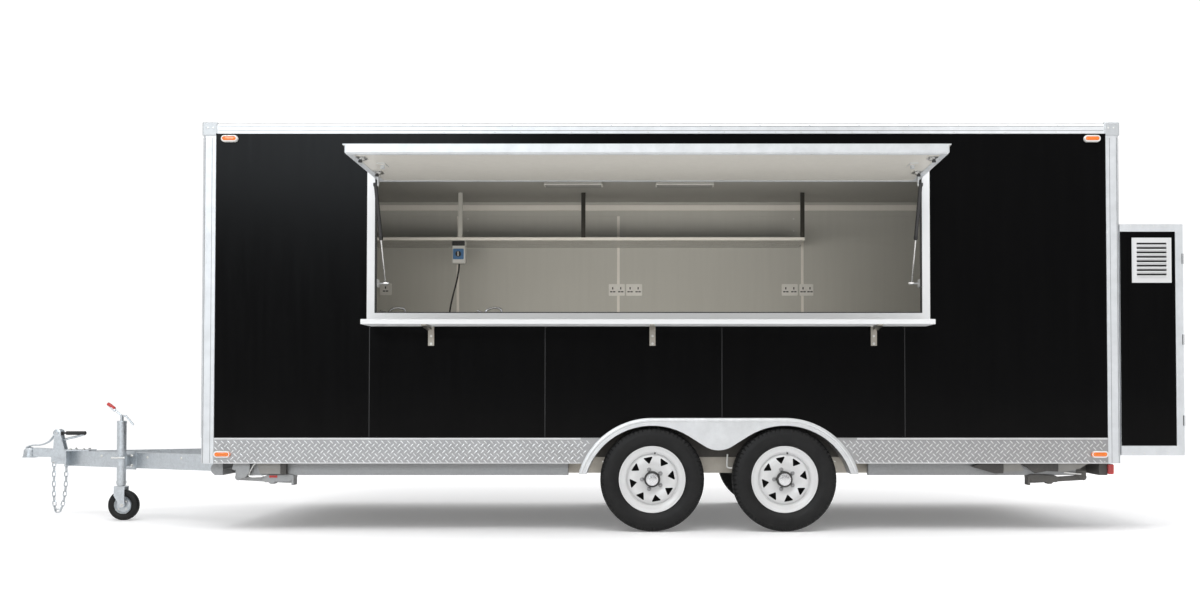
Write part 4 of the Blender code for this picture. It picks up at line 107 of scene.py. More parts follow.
def facing(direction):
    """Turn that takes the Z axis to a direction."""
    return Vector(direction).to_track_quat("Z", "Y").to_matrix().to_4x4()


def add_slab(bm, low, high, y, thick, chamfer=0.0):
    """Block between two (x, z) corners that stands off a face at y, either way."""
    near, far = sorted((y, y + thick))
    add_block(bm, (low[0], near, low[1]), (high[0], far, high[1]), chamfer)


def add_turned(bm, profile, centre, axis, steps=16):
    """Solid of revolution from radius and height pairs along an axis."""
    turn = Matrix.Translation(centre) @ facing(axis)
    rings = []
    for radius, height in profile:
        if radius < 1e-6:
            rings.append([bm.verts.new(turn @ Vector((0, 0, height)))])
            continue
        rings.append([bm.verts.new(turn @ Vector((radius * cos(2 * pi * i / steps),
                                                  radius * sin(2 * pi * i / steps),
                                                  height))) for i in range(steps)])
    for low, high in zip(rings, rings[1:]):
        for i in range(steps):
            j = (i + 1) % steps
            around = [low[i % len(low)], low[j % len(low)],
                      high[j % len(high)], high[i % len(high)]]
            unique = list(dict.fromkeys(around))
            if len(unique) > 2:
                bm.faces.new(unique)


def add_rod(bm, start, end, radius, steps=12):
    """Round rod with softened ends."""
    start, end = Vector(start), Vector(end)
    length = (end - start).length
    soft = min(radius * 0.25, length * 0.2)
    add_turned(bm, [(0, 0), (radius - soft, 0), (radius, soft), (radius, length - soft),
                    (radius - soft, length), (0, length)], start, end - start, steps)


def add_rivet(bm, centre, axis, radius=0.0045, height=0.0020):
    """Domed rivet head."""
    add_turned(bm, [(radius, 0), (radius * 0.95, height * 0.45),
                    (radius * 0.6, height * 0.9), (0, height)], centre, axis, 8)


def add_bolt(bm, centre, axis, radius=0.009, height=0.007):
    """Hexagon head on its washer, with the thread's end."""
    add_turned(bm, [(0, 0), (radius * 1.35, 0), (radius * 1.35, height * 0.2), (0, height * 0.2)],
               centre, axis, 16)
    add_turned(bm, [(0, height * 0.2), (radius, height * 0.2), (radius, height * 0.85),
                    (radius * 0.86, height), (0, height)], centre, axis, 6)
    add_turned(bm, [(radius * 0.5, height), (radius * 0.5, height * 1.35),
                    (radius * 0.4, height * 1.5), (0, height * 1.5)], centre, axis, 10)


def add_tube(bm, points, radius, steps=10):
    """Round tube along a route, its rings kept from twisting."""
    points = [Vector(p) for p in points]
    rings = []
    side = None
    for i, point in enumerate(points):
        ahead = points[min(i + 1, len(points) - 1)] - points[max(i - 1, 0)]
        ahead.normalize()
        if side is None:
            side = ahead.orthogonal().normalized()
        side = (side - ahead * side.dot(ahead)).normalized()
        other = ahead.cross(side)
        rings.append([bm.verts.new(point + (side * cos(2 * pi * k / steps)
                                            + other * sin(2 * pi * k / steps)) * radius)
                      for k in range(steps)])
    skin_rings(bm, rings)
    cap_rings(bm, rings)


def add_outline(bm, outline, low, high, place):
    """Flat outline made thick; place turns (u, v, thickness) into a point."""
    rings = [[bm.verts.new(place(u, v, level)) for u, v in outline] for level in (low, high)]
    cap_rings(bm, rings)
    skin_rings(bm, rings)


def rounded(width, height, corner, steps=5):
    """Outline of a rectangle with round corners, about its middle."""
    outline = []
    for i, (sx, sy) in enumerate(((1, 1), (-1, 1), (-1, -1), (1, -1))):
        for k in range(steps + 1):
            angle = radians(90 * i + 90 * k / steps)
            outline.append((sx * (width / 2 - corner) + corner * cos(angle),
                            sy * (height / 2 - corner) + corner * sin(angle)))
    return outline


def smooth_route(points, per_span=6):
    """Points on a smooth curve through the given ones."""
    points = [Vector(p) for p in points]
    route = []
    for i in range(len(points) - 1):
        before = points[max(i - 1, 0)]
        start, end = points[i], points[i + 1]
        after = points[min(i + 2, len(points) - 1)]
        for k in range(per_span):
            t = k / per_span
            route.append(0.5 * ((2 * start) + (end - before) * t
                                + (2 * before - 5 * start + 4 * end - after) * t * t
                                + (3 * start - before - 3 * end + after) * t ** 3))
    route.append(points[-1])
    return route


def link_new(name, data):
    """New object in the scene."""
    made = bpy.data.objects.new(name, data)
    bpy.context.scene.collection.objects.link(made)
    return made


def route_at(y, points, per_span):
    """Smooth route in an upright plane along the trailer, through (x, z) points."""
    return smooth_route([spot(x, y, z) for x, z in points], per_span)


def place_piece(name, bm, finish, body="trailer", smooth=35.0):
    """Turns a built mesh into a named piece that rides on a body."""
    bmesh.ops.recalc_face_normals(bm, faces=bm.faces)
    mesh = bpy.data.meshes.new(name)
    bm.to_mesh(mesh)
    bm.free()
    piece = link_new(name, mesh)
    mesh.materials.append(finishes()[finish])
    mesh.shade_smooth()
    mesh.set_sharp_from_angle(angle=radians(smooth))
    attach(piece, body)
    return piece


def dress(finish, *names):
    """Gives CAD nodes a finish; their shapes are left alone."""
    for name in names:
        mesh = NODES[name].data
        mesh.materials.clear()
        mesh.materials.append(finishes()[finish])


def dress_faces(name, finish, chosen):
    """Gives a second finish to the faces of a CAD node that a test picks."""
    mesh = NODES[name].data
    mesh.materials.append(finishes()[finish])
    index = len(mesh.materials) - 1
    for face in mesh.polygons:
        if chosen(face.center, face.normal):
            face.material_index = index


# Shader tools. Coordinates are the object's own metres, so a pattern keeps
# its size and moves with its piece.
def add_node(tree, kind, inputs=None, **settings):
    """Shader node with its settings; inputs are numbers or other sockets."""
    made = tree.nodes.new("ShaderNode" + kind)
    for key, value in settings.items():
        setattr(made, key, value)
    for key, value in (inputs or {}).items():
        if isinstance(value, bpy.types.NodeSocket):
            tree.links.new(value, made.inputs[key])
        else:
            made.inputs[key].default_value = value
    return made


def sums(tree, operation, a, b=0.0, c=0.0):
    """Result of a math node."""
    return add_node(tree, "Math", {0: a, 1: b, 2: c}, operation=operation).outputs[0]


def new_group(name, inputs, *outputs):
    """Empty node group with named number sockets."""
    tree = bpy.data.node_groups.new(name, "ShaderNodeTree")
    for label, value in inputs.items():
        tree.interface.new_socket(label, in_out="INPUT",
                                  socket_type="NodeSocketFloat").default_value = value
    for label in outputs:
        tree.interface.new_socket(label, in_out="OUTPUT", socket_type="NodeSocketFloat")
    return tree, tree.nodes.new("NodeGroupInput").outputs, tree.nodes.new("NodeGroupOutput").inputs


def object_place(tree):
    """Place on the piece, in its own metres."""
    return add_node(tree, "TexCoord").outputs["Object"]


def cloud(tree, place, scale, detail=2.0, roughness=0.5, output="Fac"):
    """Soft noise over a place."""
    return add_node(tree, "TexNoise", {
        "Vector": place, "Scale": scale, "Detail": detail, "Roughness": roughness}).outputs[output]


def dirt_group():
    """Dust that thickens towards the ground and gathers in patches."""
    tree, given, out = new_group("Road dust", {"Amount": 0.5, "Fade height": 0.6}, "Mask")
    place = object_place(tree)
    height = add_node(tree, "SeparateXYZ", {0: place}).outputs["Z"]
    fade = sums(tree, "SUBTRACT", 1.0, sums(tree, "DIVIDE", height, given["Fade height"]))
    fade = sums(tree, "MAXIMUM", fade, 0.06)
    patches = cloud(tree, place, 5.0, 5.0, 0.62)
    specks = cloud(tree, place, 90.0, 3.0)
    mixed = sums(tree, "MULTIPLY", patches, sums(tree, "ADD", specks, 0.45))
    mask = sums(tree, "MULTIPLY", sums(tree, "MULTIPLY", mixed, fade), given["Amount"])
    tree.links.new(sums(tree, "MINIMUM", mask, 1.0), out["Mask"])
    return tree


def streak_group():
    """Faint runs left by rain, stretched upright."""
    tree, given, out = new_group("Rain streaks", {"Width": 0.03}, "Value")
    run = add_node(tree, "Mapping", {"Vector": object_place(tree),
                                               "Scale": (1.0, 1.0, 0.06)},
                   vector_type="POINT").outputs[0]
    scale = sums(tree, "DIVIDE", 1.0, given["Width"])
    tree.links.new(cloud(tree, run, scale, 4.0, 0.55), out["Value"])
    return tree


def brush_group():
    """Fine lines of brushed or rolled metal along one direction."""
    tree, given, out = new_group("Rolled lines", {"Along X": 4.0, "Along Y": 4.0,
                                                  "Along Z": 400.0}, "Value")
    scale = add_node(tree, "CombineXYZ", {0: given["Along X"], 1: given["Along Y"],
                                                    2: given["Along Z"]}).outputs[0]
    run = add_node(tree, "VectorMath", {0: object_place(tree), 1: scale},
                   operation="MULTIPLY").outputs[0]
    tree.links.new(cloud(tree, run, 1.0, 3.0, 0.6), out["Value"])
    return tree


def spangle_group():
    """Crystals of hot-dip zinc: flat cells, each with its own tone."""
    tree, given, out = new_group("Zinc spangle", {"Size": 0.012}, "Tone", "Edge")
    place = object_place(tree)
    bent = cloud(tree, place, 60.0, output="Color")
    moved = add_node(tree, "Mix", {"Factor": 0.02, 4: place, 5: bent},
                     data_type="VECTOR").outputs[1]
    scale = sums(tree, "DIVIDE", 1.0, given["Size"])
    cells = add_node(tree, "TexVoronoi", {"Vector": moved, "Scale": scale})
    tone = add_node(tree, "SeparateColor", {0: cells.outputs["Color"]}).outputs[0]
    tree.links.new(tone, out["Tone"])
    tree.links.new(cells.outputs["Distance"], out["Edge"])
    return tree


def speckle_group():
    """Small uneven grain, for moulded plastic, paint and rubber."""
    tree, given, out = new_group("Moulded grain", {"Size": 0.004}, "Value")
    scale = sums(tree, "DIVIDE", 1.0, given["Size"])
    tree.links.new(cloud(tree, object_place(tree), scale, 4.0, 0.6), out["Value"])
    return tree


GROUPS = {}


def effect(tree, label, **values):
    """Places a shared effect in a material with its own values."""
    if not GROUPS:
        GROUPS.update({"dust": dirt_group(), "streaks": streak_group(), "lines": brush_group(),
                       "spangle": spangle_group(), "grain": speckle_group()})
    made = tree.nodes.new("ShaderNodeGroup")
    made.node_tree = GROUPS[label]
    for key, value in values.items():
        made.inputs[key.replace("_", " ")].default_value = value
    return made.outputs


def blend_colour(tree, factor, first, second):
    """Colour between two, by a mask."""
    made = add_node(tree, "Mix", {"Factor": factor}, data_type="RGBA")
    for socket, value in ((made.inputs[6], first), (made.inputs[7], second)):
        if isinstance(value, bpy.types.NodeSocket):
            tree.links.new(value, socket)
        else:
            socket.default_value = (*value, 1.0)
    return made.outputs[2]


def span(tree, value, low, high, from_low=0.0, from_high=1.0):
    """Value moved from one range to another."""
    return add_node(tree, "MapRange", {"Value": value, "From Min": from_low,
                                                 "From Max": from_high, "To Min": low,
                                                 "To Max": high}).outputs[0]


def start_material(name, colour, roughness, metallic=0.0, **plain):
    """New material; the plain values are set on the shader's own sockets."""
    made = bpy.data.materials.new(name)
    made.use_nodes = True
    tree = made.node_tree
    shader = tree.nodes["Principled BSDF"]
    shader.inputs["Base Color"].default_value = (*colour, 1.0)
    shader.inputs["Roughness"].default_value = roughness
    shader.inputs["Metallic"].default_value = metallic
    for key, value in plain.items():
        shader.inputs[key.replace("_", " ")].default_value = value
    made.diffuse_color = (*colour, 1.0)
    return made, tree, shader


def bump(tree, shader, height, strength, distance):
    """Feeds a height into the shader's normal."""
    made = add_node(tree, "Bump", {"Height": height, "Strength": strength,
                                             "Distance": distance})
    tree.links.new(made.outputs[0], shader.inputs["Normal"])


DUST = (0.34, 0.31, 0.27)


def darker(colour, share, lift=0.0):
    """Colour scaled by a share and lifted, kept within white."""
    return tuple(min(1.0, part * share + lift) for part in colour)


def add_dust(tree, shader, base, amount, fade=0.7, tone=DUST):
    """Lays dust over a base colour and gives back its mask."""
    mask = effect(tree, "dust", Amount=amount, Fade_height=fade)["Mask"]
    tree.links.new(blend_colour(tree, mask, base, tone), shader.inputs["Base Color"])
    return mask


def add_roughness(tree, shader, pattern, low, high, mask=None, dulling=0.0):
    """Feeds the roughness from a pattern; dust dulls it further."""
    value = span(tree, pattern, low, high)
    if mask is not None:
        value = sums(tree, "ADD", value, sums(tree, "MULTIPLY", mask, dulling))
    tree.links.new(value, shader.inputs["Roughness"])


def painted(name, colour, roughness, dust=0.25, fade=0.8, streaks=0.10, coat=0.0, gloss=0.5):
    """Sprayed or laminated sheet: fine orange peel, rain streaks and dust."""
    made, tree, shader = start_material(name, colour, roughness, Coat_Weight=coat,
                                        Coat_Roughness=0.06, Specular_IOR_Level=gloss)
    run = effect(tree, "streaks", Width=0.035)["Value"]
    base = blend_colour(tree, span(tree, run, 0.0, streaks), colour, darker(colour, 0.8, 0.02))
    mask = add_dust(tree, shader, base, dust, fade)
    add_roughness(tree, shader, run, roughness - 0.05, roughness + 0.07, mask, 0.5)
    bump(tree, shader, effect(tree, "grain", Size=0.0016)["Value"], 0.06, 0.0004)
    return made


EVEN = (30.0, 30.0, 30.0)
EVEN_FINE = (60.0, 60.0, 60.0)
EVEN_DENSE = (90.0, 90.0, 90.0)
UPRIGHT = (200.0, 200.0, 4.0)


def metal(name, colour, roughness, along=(3.0, 3.0, 300.0), dust=0.15, relief=0.10, bare=1.0):
    """Bare or anodised metal with rolled lines, dull patches and dust."""
    made, tree, shader = start_material(name, colour, roughness, bare)
    lines = effect(tree, "lines", Along_X=along[0], Along_Y=along[1], Along_Z=along[2])["Value"]
    patch = effect(tree, "grain", Size=0.06)["Value"]
    base = blend_colour(tree, span(tree, patch, 0.0, 0.6, 0.3, 0.7), colour, darker(colour, 0.8))
    mask = add_dust(tree, shader, base, dust)
    add_roughness(tree, shader, lines, roughness - 0.06, roughness + 0.12, mask, 0.4)
    tree.links.new(span(tree, mask, bare, bare * 0.3), shader.inputs["Metallic"])
    bump(tree, shader, lines, relief, 0.0003)
    return made


def zinc(name, colour, roughness, dust=0.35):
    """Hot-dip galvanised steel."""
    made, tree, shader = start_material(name, colour, roughness, 1.0)
    cells = effect(tree, "spangle", Size=0.010)
    base = blend_colour(tree, cells["Tone"], darker(colour, 0.90), darker(colour, 1.06))
    mask = add_dust(tree, shader, base, dust)
    add_roughness(tree, shader, cells["Tone"], roughness - 0.03, roughness + 0.07)
    tree.links.new(span(tree, mask, 0.9, 0.3), shader.inputs["Metallic"])
    bump(tree, shader, cells["Edge"], 0.08, 0.0006)
    return made


def moulded(name, colour, roughness, dust=0.15):
    """Plastic or rubber moulding with a fine grain."""
    made, tree, shader = start_material(name, colour, roughness)
    value = effect(tree, "grain", Size=0.0014)["Value"]
    patch = effect(tree, "grain", Size=0.03)["Value"]
    base = blend_colour(tree, span(tree, patch, 0.0, 0.5, 0.3, 0.7), colour, darker(colour, 0.85))
    mask = add_dust(tree, shader, base, dust)
    add_roughness(tree, shader, value, roughness - 0.06, roughness + 0.08, mask, 0.3)
    bump(tree, shader, value, 0.15, 0.0004)
    return made


def tyre_rubber():
    """Black rubber, greyed by dust where it meets the road."""
    colour = (0.0045, 0.0045, 0.0049)
    made, tree, shader = start_material("tyre_rubber", colour, 0.56, Specular_IOR_Level=0.24)
    value = effect(tree, "grain", Size=0.0022)["Value"]
    patch = effect(tree, "grain", Size=0.05)["Value"]
    base = blend_colour(tree, span(tree, patch, 0.0, 1.0, 0.35, 0.75), colour,
                        (0.009, 0.009, 0.009))
    add_dust(tree, shader, base, 0.09, 1.4, (0.08, 0.076, 0.07))
    add_roughness(tree, shader, value, 0.42, 0.66)
    bump(tree, shader, value, 0.20, 0.0006)
    return made


def lens(name, colour, glow=0.0):
    """Clear coloured lamp lens with upright prisms behind it."""
    made, tree, shader = start_material(name, colour, 0.12, Coat_Weight=0.6,
                                        Coat_Roughness=0.05)
    ridge = add_node(tree, "TexWave", {"Vector": object_place(tree), "Scale": 60.0},
                     bands_direction="X").outputs["Fac"]
    tree.links.new(blend_colour(tree, ridge, darker(colour, 0.55), colour),
                   shader.inputs["Base Color"])
    add_roughness(tree, shader, effect(tree, "grain", Size=0.01)["Value"], 0.08, 0.2)
    bump(tree, shader, ridge, 0.35, 0.0006)
    if glow:
        shader.inputs["Emission Color"].default_value = (*colour, 1.0)
        shader.inputs["Emission Strength"].default_value = glow
    return made


def light_panel():
    """Ceiling light's diffuser, frosted and ribbed: its white is given dark grey with lighter and
    darker stripes along the ribs, painted shade, and a faint painted glow.
    """
    made, tree, shader = start_material("frosted_diffuser", (0.86, 0.87, 0.88), 0.45)
    ribs = add_node(tree, "TexWave", {"Vector": object_place(tree), "Scale": 40.0},
                    bands_direction="X").outputs["Fac"]
    # Painted shade: dark grey with lighter and darker stripes along the ribs, on a white diffuser.
    tree.links.new(blend_colour(tree, ribs, (0.20, 0.20, 0.19), (0.27, 0.265, 0.25)),
                   shader.inputs["Base Color"])
    # Painted glow: a faint emission over the diffuser.
    shader.inputs["Emission Color"].default_value = (1.0, 0.98, 0.95, 1.0)
    shader.inputs["Emission Strength"].default_value = 0.02
    bump(tree, shader, ribs, 0.3, 0.0008)
    return made


def vinyl_floor():
    """Grey safety vinyl with pale and dark flecks."""
    grey = (0.20, 0.21, 0.22)
    made, tree, shader = start_material("vinyl_floor", grey, 0.55)
    cells = add_node(tree, "TexVoronoi", {"Vector": object_place(tree),
                                                    "Scale": 260.0})
    tone = add_node(tree, "SeparateColor", {0: cells.outputs["Color"]}).outputs[0]
    fleck = span(tree, tone, 0.0, 1.0, 0.86, 0.90)
    base = blend_colour(tree, fleck, grey, (0.48, 0.49, 0.50))
    dark = span(tree, tone, 1.0, 0.0, 0.06, 0.10)
    tree.links.new(blend_colour(tree, dark, base, (0.06, 0.06, 0.065)),
                   shader.inputs["Base Color"])
    add_roughness(tree, shader, tone, 0.42, 0.66)
    bump(tree, shader, cells.outputs["Distance"], 0.15, 0.0006)
    return made


FINISHES = {}


def finishes():
    """All finishes of the trailer, made once."""
    if FINISHES:
        return FINISHES
    sizes = bpy.context.scene.trailer_finish
    black = tuple(sizes.panel_colour)
    FINISHES.update({
        "black_panel": painted("black_laminate", black, 0.22, dust=0.025, fade=0.9,
                               streaks=0.04, gloss=0.06),
        "black_seam": moulded("seam_sealant", (0.007, 0.007, 0.0075), 0.48, dust=0.04),
        "white_lining": painted("lining_sheet", (0.53, 0.525, 0.49), 0.42, dust=0.10,
                                streaks=0.5),
        # Painted shade: the ceiling takes a darker copy of the lining's white.
        "ceiling": painted("ceiling_sheet", (0.40, 0.395, 0.37), 0.5, dust=0.05, streaks=0.3),
        # Painted highlight: a brighter copy of the lining's white, for the coving, the wall's joint
        # strips and the shelf's nosing.
        "coving": painted("coving_strip", (0.84, 0.81, 0.76), 0.4, dust=0.05, streaks=0.3),
        "hatch_lining": painted("hatch_lining", (0.64, 0.615, 0.56), 0.36, dust=0.05,
                                streaks=0.4),
        "white_powder": painted("white_powder_coat", (0.77, 0.78, 0.79), 0.36, dust=0.12),
        "roof_sheet": painted("roof_sheet", (0.56, 0.57, 0.58), 0.5, dust=0.8, fade=9.0),
        "white_wheel": painted("white_wheel_paint", (0.70, 0.705, 0.71), 0.30, dust=0.22,
                               fade=0.9, coat=0.3),
        "hatch_edge": metal("hatch_frame", (0.61, 0.63, 0.645), 0.46, dust=0.08, bare=0.45),
        "trim": metal("anodised_rail", (0.76, 0.78, 0.80), 0.46, dust=0.08, bare=0.45),
        "trim_upright": metal("anodised_post", (0.66, 0.68, 0.70), 0.46,
                              along=(300.0, 300.0, 3.0), dust=0.08, bare=0.45),
        "cast_cap": metal("cast_corner", (0.52, 0.54, 0.555), 0.5, along=EVEN_FINE, dust=0.10,
                          bare=0.45),
        # Painted shade: dark strips that stand for the shade in the rails' grooves.
        "groove_shade": metal("rail_groove", (0.30, 0.31, 0.32), 0.5, dust=0.2, bare=0.5),
        "stud": metal("wheel_studs", (0.34, 0.34, 0.345), 0.34, along=EVEN_DENSE),
        # Painted light: the tread plate is one aluminium in two tones; the flat sheet is darkened
        # as painted shade over its dust, the lugs and folds are brightened as painted highlight.
        "tread": metal("tread_plate_sheet", (0.37, 0.37, 0.375), 0.42, along=EVEN_FINE,
                       dust=0.35, relief=0.05),
        "lug": metal("tread_plate_lugs", (0.70, 0.705, 0.71), 0.30, along=(40.0, 40.0, 40.0),
                     dust=0.06, relief=0.04, bare=0.8),
        "bracket": metal("bracket_steel", (0.44, 0.41, 0.36), 0.36, along=UPRIGHT, dust=0.10),
        "bracket_grey": metal("bracket_grey_steel", (0.30, 0.295, 0.28), 0.5, along=EVEN,
                              dust=0.5, bare=0.5),
        "dark_bracket": metal("dark_bracket_steel", (0.055, 0.052, 0.047), 0.42,
                              along=UPRIGHT, dust=0.10),
        "zinc": zinc("hot_dip_zinc", (0.58, 0.62, 0.655), 0.36),
        "dull_steel": metal("dull_dark_steel", (0.085, 0.083, 0.08), 0.5, along=EVEN,
                            dust=0.4, bare=0.5),
        "louvre_white": painted("louvre_white", (0.62, 0.625, 0.63), 0.4, dust=0.12),
        "dark_zinc": zinc("dull_zinc", (0.34, 0.35, 0.36), 0.55, dust=0.6),
        "bolt": metal("plated_bolts", (0.70, 0.70, 0.68), 0.30, along=EVEN_DENSE),
        "stainless": metal("brushed_stainless", (0.66, 0.655, 0.64), 0.26,
                           along=(2.5, 260.0, 260.0), dust=0.04, relief=0.14),
        "stainless_upright": metal("brushed_stainless_upright", (0.66, 0.655, 0.64), 0.28,
                                   along=(260.0, 260.0, 2.5), dust=0.04, relief=0.14),
        "guard": metal("mudguard_sheet", (0.72, 0.73, 0.74), 0.36, along=(6.0, 200.0, 6.0),
                       dust=0.28),
        "hub_cap": metal("hub_cap_metal", (0.70, 0.70, 0.71), 0.22, along=EVEN),
        "black_steel": painted("black_frame_paint", (0.016, 0.016, 0.017), 0.42, dust=0.5),
        # The drum's near-black is partly its own dark steel and partly painted shade seen through
        # the wheel's windows.
        "drum": painted("drum_black", (0.004, 0.004, 0.0042), 0.6, dust=0.05, gloss=0.1),
        "rubber": moulded("black_rubber", (0.016, 0.016, 0.016), 0.66),
        "tyre": tyre_rubber(),
        "black_plastic": moulded("black_plastic", (0.02, 0.02, 0.021), 0.42),
        "white_plastic": moulded("white_plastic", (0.78, 0.77, 0.74), 0.35, dust=0.05),
        "pale_plastic": moulded("pale_plastic", (0.62, 0.62, 0.60), 0.35, dust=0.05),
        "blue_plastic": moulded("blue_plastic", (0.05, 0.16, 0.34), 0.34, dust=0.05),
        "red_plastic": moulded("red_plastic", (0.55, 0.03, 0.025), 0.35, dust=0.10),
        "amber_lens": lens("amber_lens", tuple(sizes.lamp_colour), 0.12),
        "red_lens": lens("red_lens", (0.55, 0.02, 0.02), 0.05),
        "clear_lens": lens("clear_lens", (0.75, 0.76, 0.77)),
        "diffuser": light_panel(),
        "vinyl": vinyl_floor(),
        "plywood": painted("floor_ply", (0.05, 0.045, 0.04), 0.7, dust=0.6, streaks=0.6),
    })
    return FINISHES


# Body: seams, rivets, lamps, tread plate and seals
POST_FACE = 0.078  # width of the corner posts
RAIL_FACE = 0.065  # height of the top rails
PANEL_FOOT, PANEL_HEAD = 0.556, 2.344  # ends of the panels' joints
SEAM_PLACES = (-1.712, -0.680, 0.359, 1.433)
ARCH_PLACES, ARCH_HEIGHT = (-0.051, 0.728), 0.2195  # centres of the wheel arches
ARCH_RADIUS = 0.448
LAMP_X, LAMP_Z = 2.572, 0.456  # lower side lamps
UPPER_LAMP_X, UPPER_LAMP_Z = 2.541, 2.314
KICK_SIDES = (("kick_near_front", -1), ("kick_near_rear", -1),
              ("kick_far_front", 1), ("kick_far_rear", 1))


def body_span():
    """Half length, half width, lowest and highest point of the body's trim."""
    half_length = (BODY_HIGH.x - BODY_LOW.x) / 2 - CAP_PROUD
    half_width = (BODY_HIGH.y - BODY_LOW.y) / 2 - CAP_PROUD
    return half_length, half_width, BODY_LOW.z, BODY_HIGH.z - CAP_PROUD


def rivet_row(bm, start, end, axis, pitch, radius=0.0045):
    """Evenly spaced rivets from one place to another."""
    start, end = Vector(start), Vector(end)
    count = max(2, round((end - start).length / pitch))
    for i in range(count + 1):
        add_rivet(bm, start.lerp(end, i / count), axis, radius)


def make_rivets():
    """Rivets that hold the rails and posts to the panels."""
    sizes = bpy.context.scene.trailer_finish
    half_x, half_y, low, top = body_span()
    edge = 0.009
    post_x, post_y = half_x - POST_FACE + edge, half_y - POST_FACE + edge
    rail_z = top - RAIL_FACE + edge
    pitch = sizes.rivet_pitch
    bm = bmesh.new()
    for way, axis in ((-1, NEAR), (1, FAR)):
        y = way * half_y
        rivet_row(bm, spot(-post_x, y, rail_z), spot(post_x, y, rail_z), axis, pitch)
        rivet_row(bm, spot(-post_x, y, top - edge * 1.6), spot(post_x, y, top - edge * 1.6),
                  axis, pitch * 2)
        for x in (-post_x, post_x):
            rivet_row(bm, spot(x, y, low + 0.03), spot(x, y, rail_z - pitch), axis, pitch)
    for way, axis in ((-1, FRONT), (1, REAR)):
        x = way * half_x
        rivet_row(bm, spot(x, -post_y, rail_z), spot(x, post_y, rail_z), axis, pitch)
        for y in (-post_y, post_y):
            rivet_row(bm, spot(x, y, low + 0.2), spot(x, y, rail_z - pitch), axis, pitch)
    for way in (-1, 1):
        rivet_row(bm, spot(-half_x + 0.15, way * (half_y - 0.05), top),
                  spot(half_x - 0.15, way * (half_y - 0.05), top), UP, pitch * 2)
    place_piece("rail_rivets", bm, "bolt")


def make_rail_grooves():
    """Dark strips along the extruded rails and posts, painted shade for their grooves."""
    half_x, half_y, low, top = body_span()
    bm = bmesh.new()
    half_line, skin, clear = 0.0015, 0.0004, POST_FACE + 0.012
    for turned, half, face, foot in ((False, half_x, half_y, 0.004), (True, half_y, half_x, 0.15)):
        strips = [(clear - half, top - drop - half_line, half - clear, top - drop + half_line)
                  for drop in (0.022, 0.047)]
        strips += [(end * (half - inset) - half_line, low + foot,
                    end * (half - inset) + half_line, top - clear)
                   for end in (-1, 1) for inset in (0.014, 0.056)]
        for way in (-1, 1):
            inner, outer = sorted((way * face, way * (face + skin)))
            for u0, z0, u1, z1 in strips:
                corners = ((inner, u0, z0), (outer, u1, z1)) if turned else \
                    ((u0, inner, z0), (u1, outer, z1))
                add_block(bm, spot(*corners[0]), spot(*corners[1]), 0.0001)
    place_piece("rail_grooves", bm, "groove_shade")


def make_cap_screws():
    """Two screws in each face of the cast corner caps."""
    half_x, half_y, low, top = body_span()
    bm = bmesh.new()
    for end in (-1, 1):
        for side in (-1, 1):
            for inset in (0.030, 0.062):
                add_rivet(bm, spot(end * (half_x - inset), side * (half_y + CAP_PROUD),
                                   top - 0.032), (0, side, 0), 0.0055, 0.0022)
                add_rivet(bm, spot(end * (half_x + CAP_PROUD), side * (half_y - inset),
                                   top - 0.032), (end, 0, 0), 0.0055, 0.0022)
    place_piece("cap_screws", bm, "bolt")



def make_seams():
    """Joint strips between the side panels, with sealant along the rails."""
    half_x, half_y, low, top = body_span()
    skin_y, skin_x = half_y - SKIN_INSET, half_x - SKIN_INSET
    half, rise, bead = 0.0022, 0.0007, 0.003
    bm = bmesh.new()
    for x in SEAM_PLACES:
        add_block(bm, spot(x - half, -skin_y - rise, PANEL_FOOT), spot(x + half, -skin_y, 1.236),
                  0.0003)
        add_block(bm, spot(x - half, skin_y, PANEL_FOOT),
                  spot(x + half, skin_y + rise, PANEL_HEAD), 0.0003)
    for y in (-0.35, 0.35):
        add_block(bm, spot(-skin_x - rise, y - half, 0.56), spot(-skin_x, y + half, PANEL_HEAD),
                  0.0003)
    rail, post = top - RAIL_FACE, half_x - POST_FACE
    for way in (-1, 1):
        for x0, z0, x1 in ((-post, rail - bead, post), (-post, PANEL_FOOT, bead - post),
                           (post - bead, PANEL_FOOT, post)):
            add_slab(bm, (MIDDLE_X + x0, z0), (MIDDLE_X + x1, rail), MIDDLE_Y + way * skin_y,
                     way * 0.0018, 0.0006)
    place_piece("panel_seams", bm, "black_seam")


def arch_clear(x, z, margin):
    """True where a place is outside both wheel arches."""
    first, second = ARCH_PLACES
    return all(hypot(x - centre, z - ARCH_HEIGHT) > ARCH_RADIUS + margin
               for centre in ARCH_PLACES) \
        and not (first < x < second and z < 0.72)


LUG_PITCH, LUG_LONG, LUG_WIDE, LUG_HIGH = 0.0188, 0.0325, 0.0072, 0.0018
LUG_OUTLINE = ((1, 0), (0.4, 1), (-0.4, 1), (-1, 0), (-0.4, -1), (0.4, -1))
LUG_FACES = ((0, 1, 6), (1, 2, 7, 6), (2, 3, 7), (3, 4, 7), (4, 5, 6, 7), (5, 0, 6))


def add_lug(bm, centre, level, out, turn):
    """Six-sided lug with a ridge, leaning one way or the other on its plate."""
    along = (level * turn + UP).normalized()
    across = (level - UP * turn).normalized()
    points = [centre + along * (LUG_LONG / 2 * a) + across * (LUG_WIDE / 2 * b)
              for a, b in LUG_OUTLINE]
    points += [centre + along * (LUG_LONG * a) + out * LUG_HIGH for a in (0.26, -0.26)]
    verts = [bm.verts.new(point) for point in points]
    for corners in LUG_FACES:
        bm.faces.new([verts[i] for i in corners])


